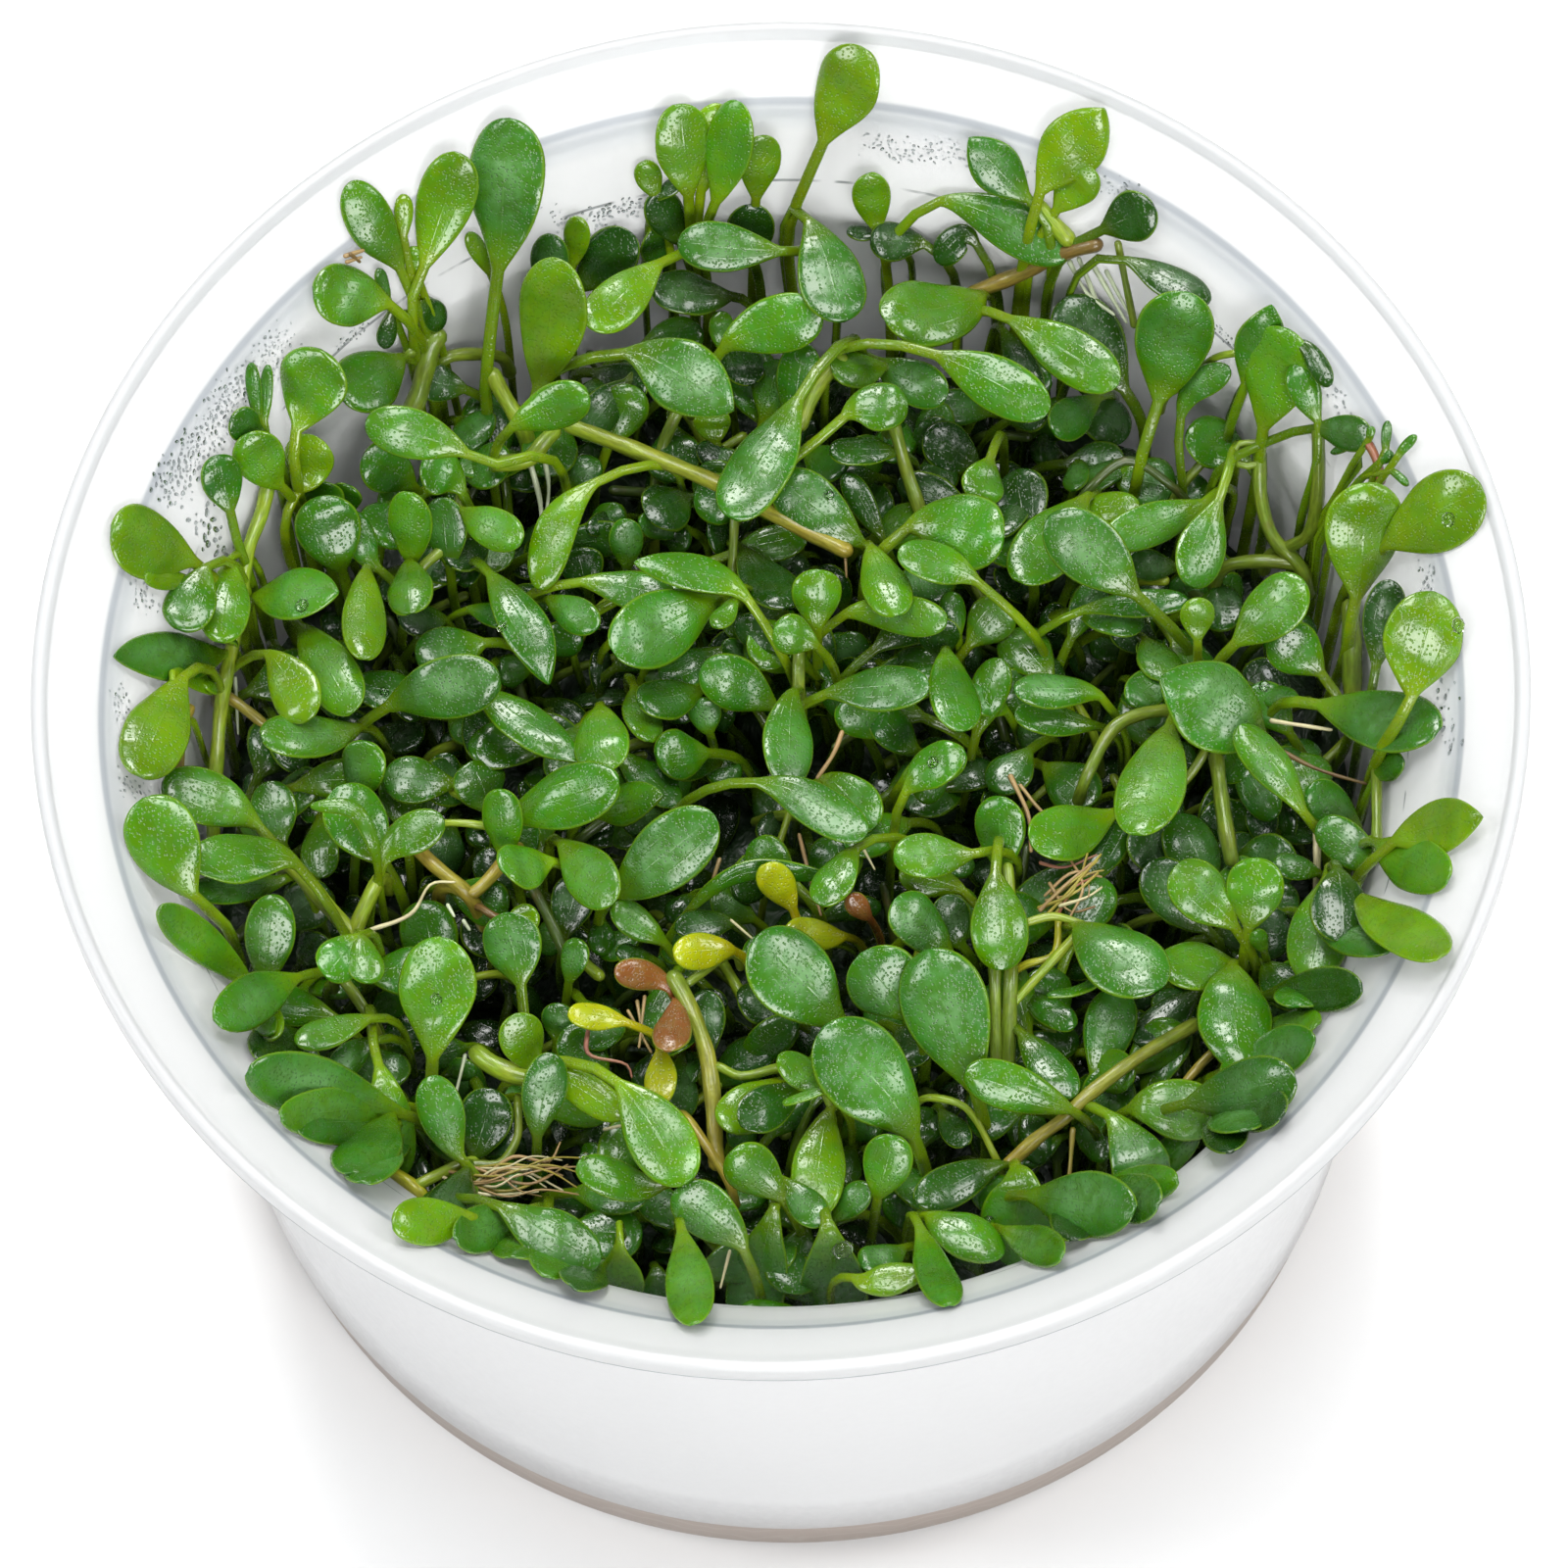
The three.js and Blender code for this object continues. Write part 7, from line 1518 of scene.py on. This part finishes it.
def mist(x0, y0, x1, y1, n, spread, lo=0.12, hi=0.38):
    for _ in range(n):
        t = wr.uniform(0, 1)
        px = x0 + (x1 - x0) * t + wr.normal(0, spread)
        py = y0 + (y1 - y0) * t + wr.normal(0, spread)
        s = wr.uniform(lo, hi)
        if any((px - a) ** 2 + (py - b) ** 2 < (15.2 * (s + c) * 0.86) ** 2 for a, b, c in placed):
            continue
        p = on_wall(px, py)
        if p is None or not (34 < p[2] < 56):
            continue
        placed.append((px, py, s))
        n_ = np.array([-p[0], -p[1], 0.0 if p[2] < 46.5 else 0.55 * math.hypot(p[0], p[1])])
        drop(drops, p + n_ / np.linalg.norm(n_) * (0.02 + 0.06 * s), n_, s, s * 0.72, wr.uniform(0, 3.14), wr.uniform(1.0, 1.45))


mist(170, 505, 200, 458, 420, 8, 0.09, 0.23)
mist(198, 462, 246, 398, 700, 9, 0.08, 0.22)
mist(244, 402, 290, 343, 300, 8, 0.06, 0.17)
mist(205, 525, 226, 568, 90, 7, 0.12, 0.28)
mist(140, 595, 152, 622, 50, 6, 0.09, 0.19)
mist(122, 705, 134, 745, 60, 5, 0.08, 0.17)
mist(125, 790, 150, 820, 45, 6, 0.08, 0.17)
mist(600, 222, 655, 211, 110, 5, 0.08, 0.19)
mist(560, 218, 600, 240, 50, 6, 0.07, 0.16)
mist(890, 148, 1000, 160, 190, 6, 0.07, 0.16)
mist(1000, 165, 1160, 195, 130, 6, 0.05, 0.13)
mist(345, 355, 375, 330, 30, 3, 0.06, 0.13)
mist(1235, 330, 1258, 350, 30, 3, 0.06, 0.13)
mist(1350, 395, 1372, 415, 30, 5, 0.09, 0.22)
mist(1450, 575, 1462, 605, 36, 6, 0.09, 0.22)
mist(1472, 700, 1478, 760, 44, 6, 0.09, 0.24)
ob = drops.object("condensation", M_WATER)
fix_normals(ob)
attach(ob, "root")
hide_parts(*[n for n in ("cup_rim", "cup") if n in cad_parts][:1])

# a few drops rest on the leaves
bpy.context.view_layer.update()
deps = bpy.context.evaluated_depsgraph_get()
beads = Builder()
for px, py, pr in ((308, 618, 8), (1488, 638, 9), (860, 1275, 12), (1478, 530, 8), (445, 1020, 7), (952, 778, 7), (1103, 1215, 8), (512, 640, 6),
                   (694, 742, 6), (1290, 700, 6), (1010, 1246, 7), (846, 505, 6), (1170, 632, 6), (596, 1180, 6), (392, 706, 6)):
    far_p = np.array(at_height(px, py, 30.0))
    ray = far_p - CAM
    ray /= np.linalg.norm(ray)
    start = np.array(at_height(px, py, 70.0))
    for _ in range(60):
        ok, loc, nrm, _i, ob, _m = bpy.context.scene.ray_cast(deps, Vector(start * MM), Vector(ray))
        if not ok:
            break
        start = np.array(loc) / MM + ray * 0.02
        if ob.name.split("_")[0] in ("plant", "foliage", "understory"):
            nv = np.array(nrm)
            if np.dot(nv, ray) > 0:
                nv = -nv
            rad_ = pr / 15.2
            drop(beads, np.array(loc) / MM + nv * 0.01, nv, rad_, rad_ * 0.62)
            break
ob = beads.object("leaf_drops", M_BEAD)
fix_normals(ob)
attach(ob, "root")
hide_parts("leaf_mat")

# ------------------------------------------------------------ floor, light
me = bpy.data.meshes.new("floor")
me.from_pydata([(-3, -3, -0.0002), (3, -3, -0.0002), (3, 3, -0.0002), (-3, 3, -0.0002)], [], [(0, 1, 2, 3)])
floor = bpy.data.objects.new("floor", me)
bpy.context.scene.collection.objects.link(floor)
fm, nt, bsdf = new_material("floor_white")
bsdf.inputs["Base Color"].default_value = (0.93, 0.93, 0.93, 1)
bsdf.inputs["Roughness"].default_value = 0.9
bsdf.inputs["Specular IOR Level"].default_value = 0.1
me.materials.append(fm)

world = bpy.data.worlds.new("world")
bpy.context.scene.world = world
world.use_nodes = True
world.node_tree.nodes["Background"].inputs["Color"].default_value = (0.97, 0.985, 1.0, 1)
world.node_tree.nodes["Background"].inputs["Strength"].default_value = 0.09


def area(name, loc, target, size, power, colour=(1, 1, 1), size_y=None):
    l = bpy.data.lights.new(name, "AREA")
    l.shape = "RECTANGLE"
    l.size, l.size_y = size, size_y or size
    l.energy = power
    l.color = colour
    o = bpy.data.objects.new(name, l)
    bpy.context.scene.collection.objects.link(o)
    o.location = loc
    o.rotation_mode = "QUATERNION"
    o.rotation_quaternion = (Vector(target) - Vector(loc)).to_track_quat("-Z", "Y")
    return o


area("softbox_top", (0, 0.16, 1.30), (0, 0, 0.05), 0.72, 11.6, (1, 1, 1), 0.56)
area("softbox_far", (-0.10, 0.85, 0.85), (0, 0, 0.05), 0.42, 6.4, (1, 0.995, 0.98), 0.34)
area("softbox_left", (-0.92, 0.05, 0.80), (0, 0, 0.05), 0.40, 4.1, (0.97, 0.985, 1))
area("softbox_right", (0.90, 0.20, 0.85), (0, 0, 0.05), 0.40, 4.1, (1, 1, 1))
area("softbox_near", (0.22, -0.95, 0.80), (0, 0, 0.05), 0.78, 11.8, (1, 1, 1), 0.52)

bpy.context.scene.view_settings.view_transform = "Standard"
bpy.context.scene.view_settings.look = "None"
bpy.context.scene.view_settings.exposure = 0.0
bpy.context.scene.view_settings.gamma = 1.0
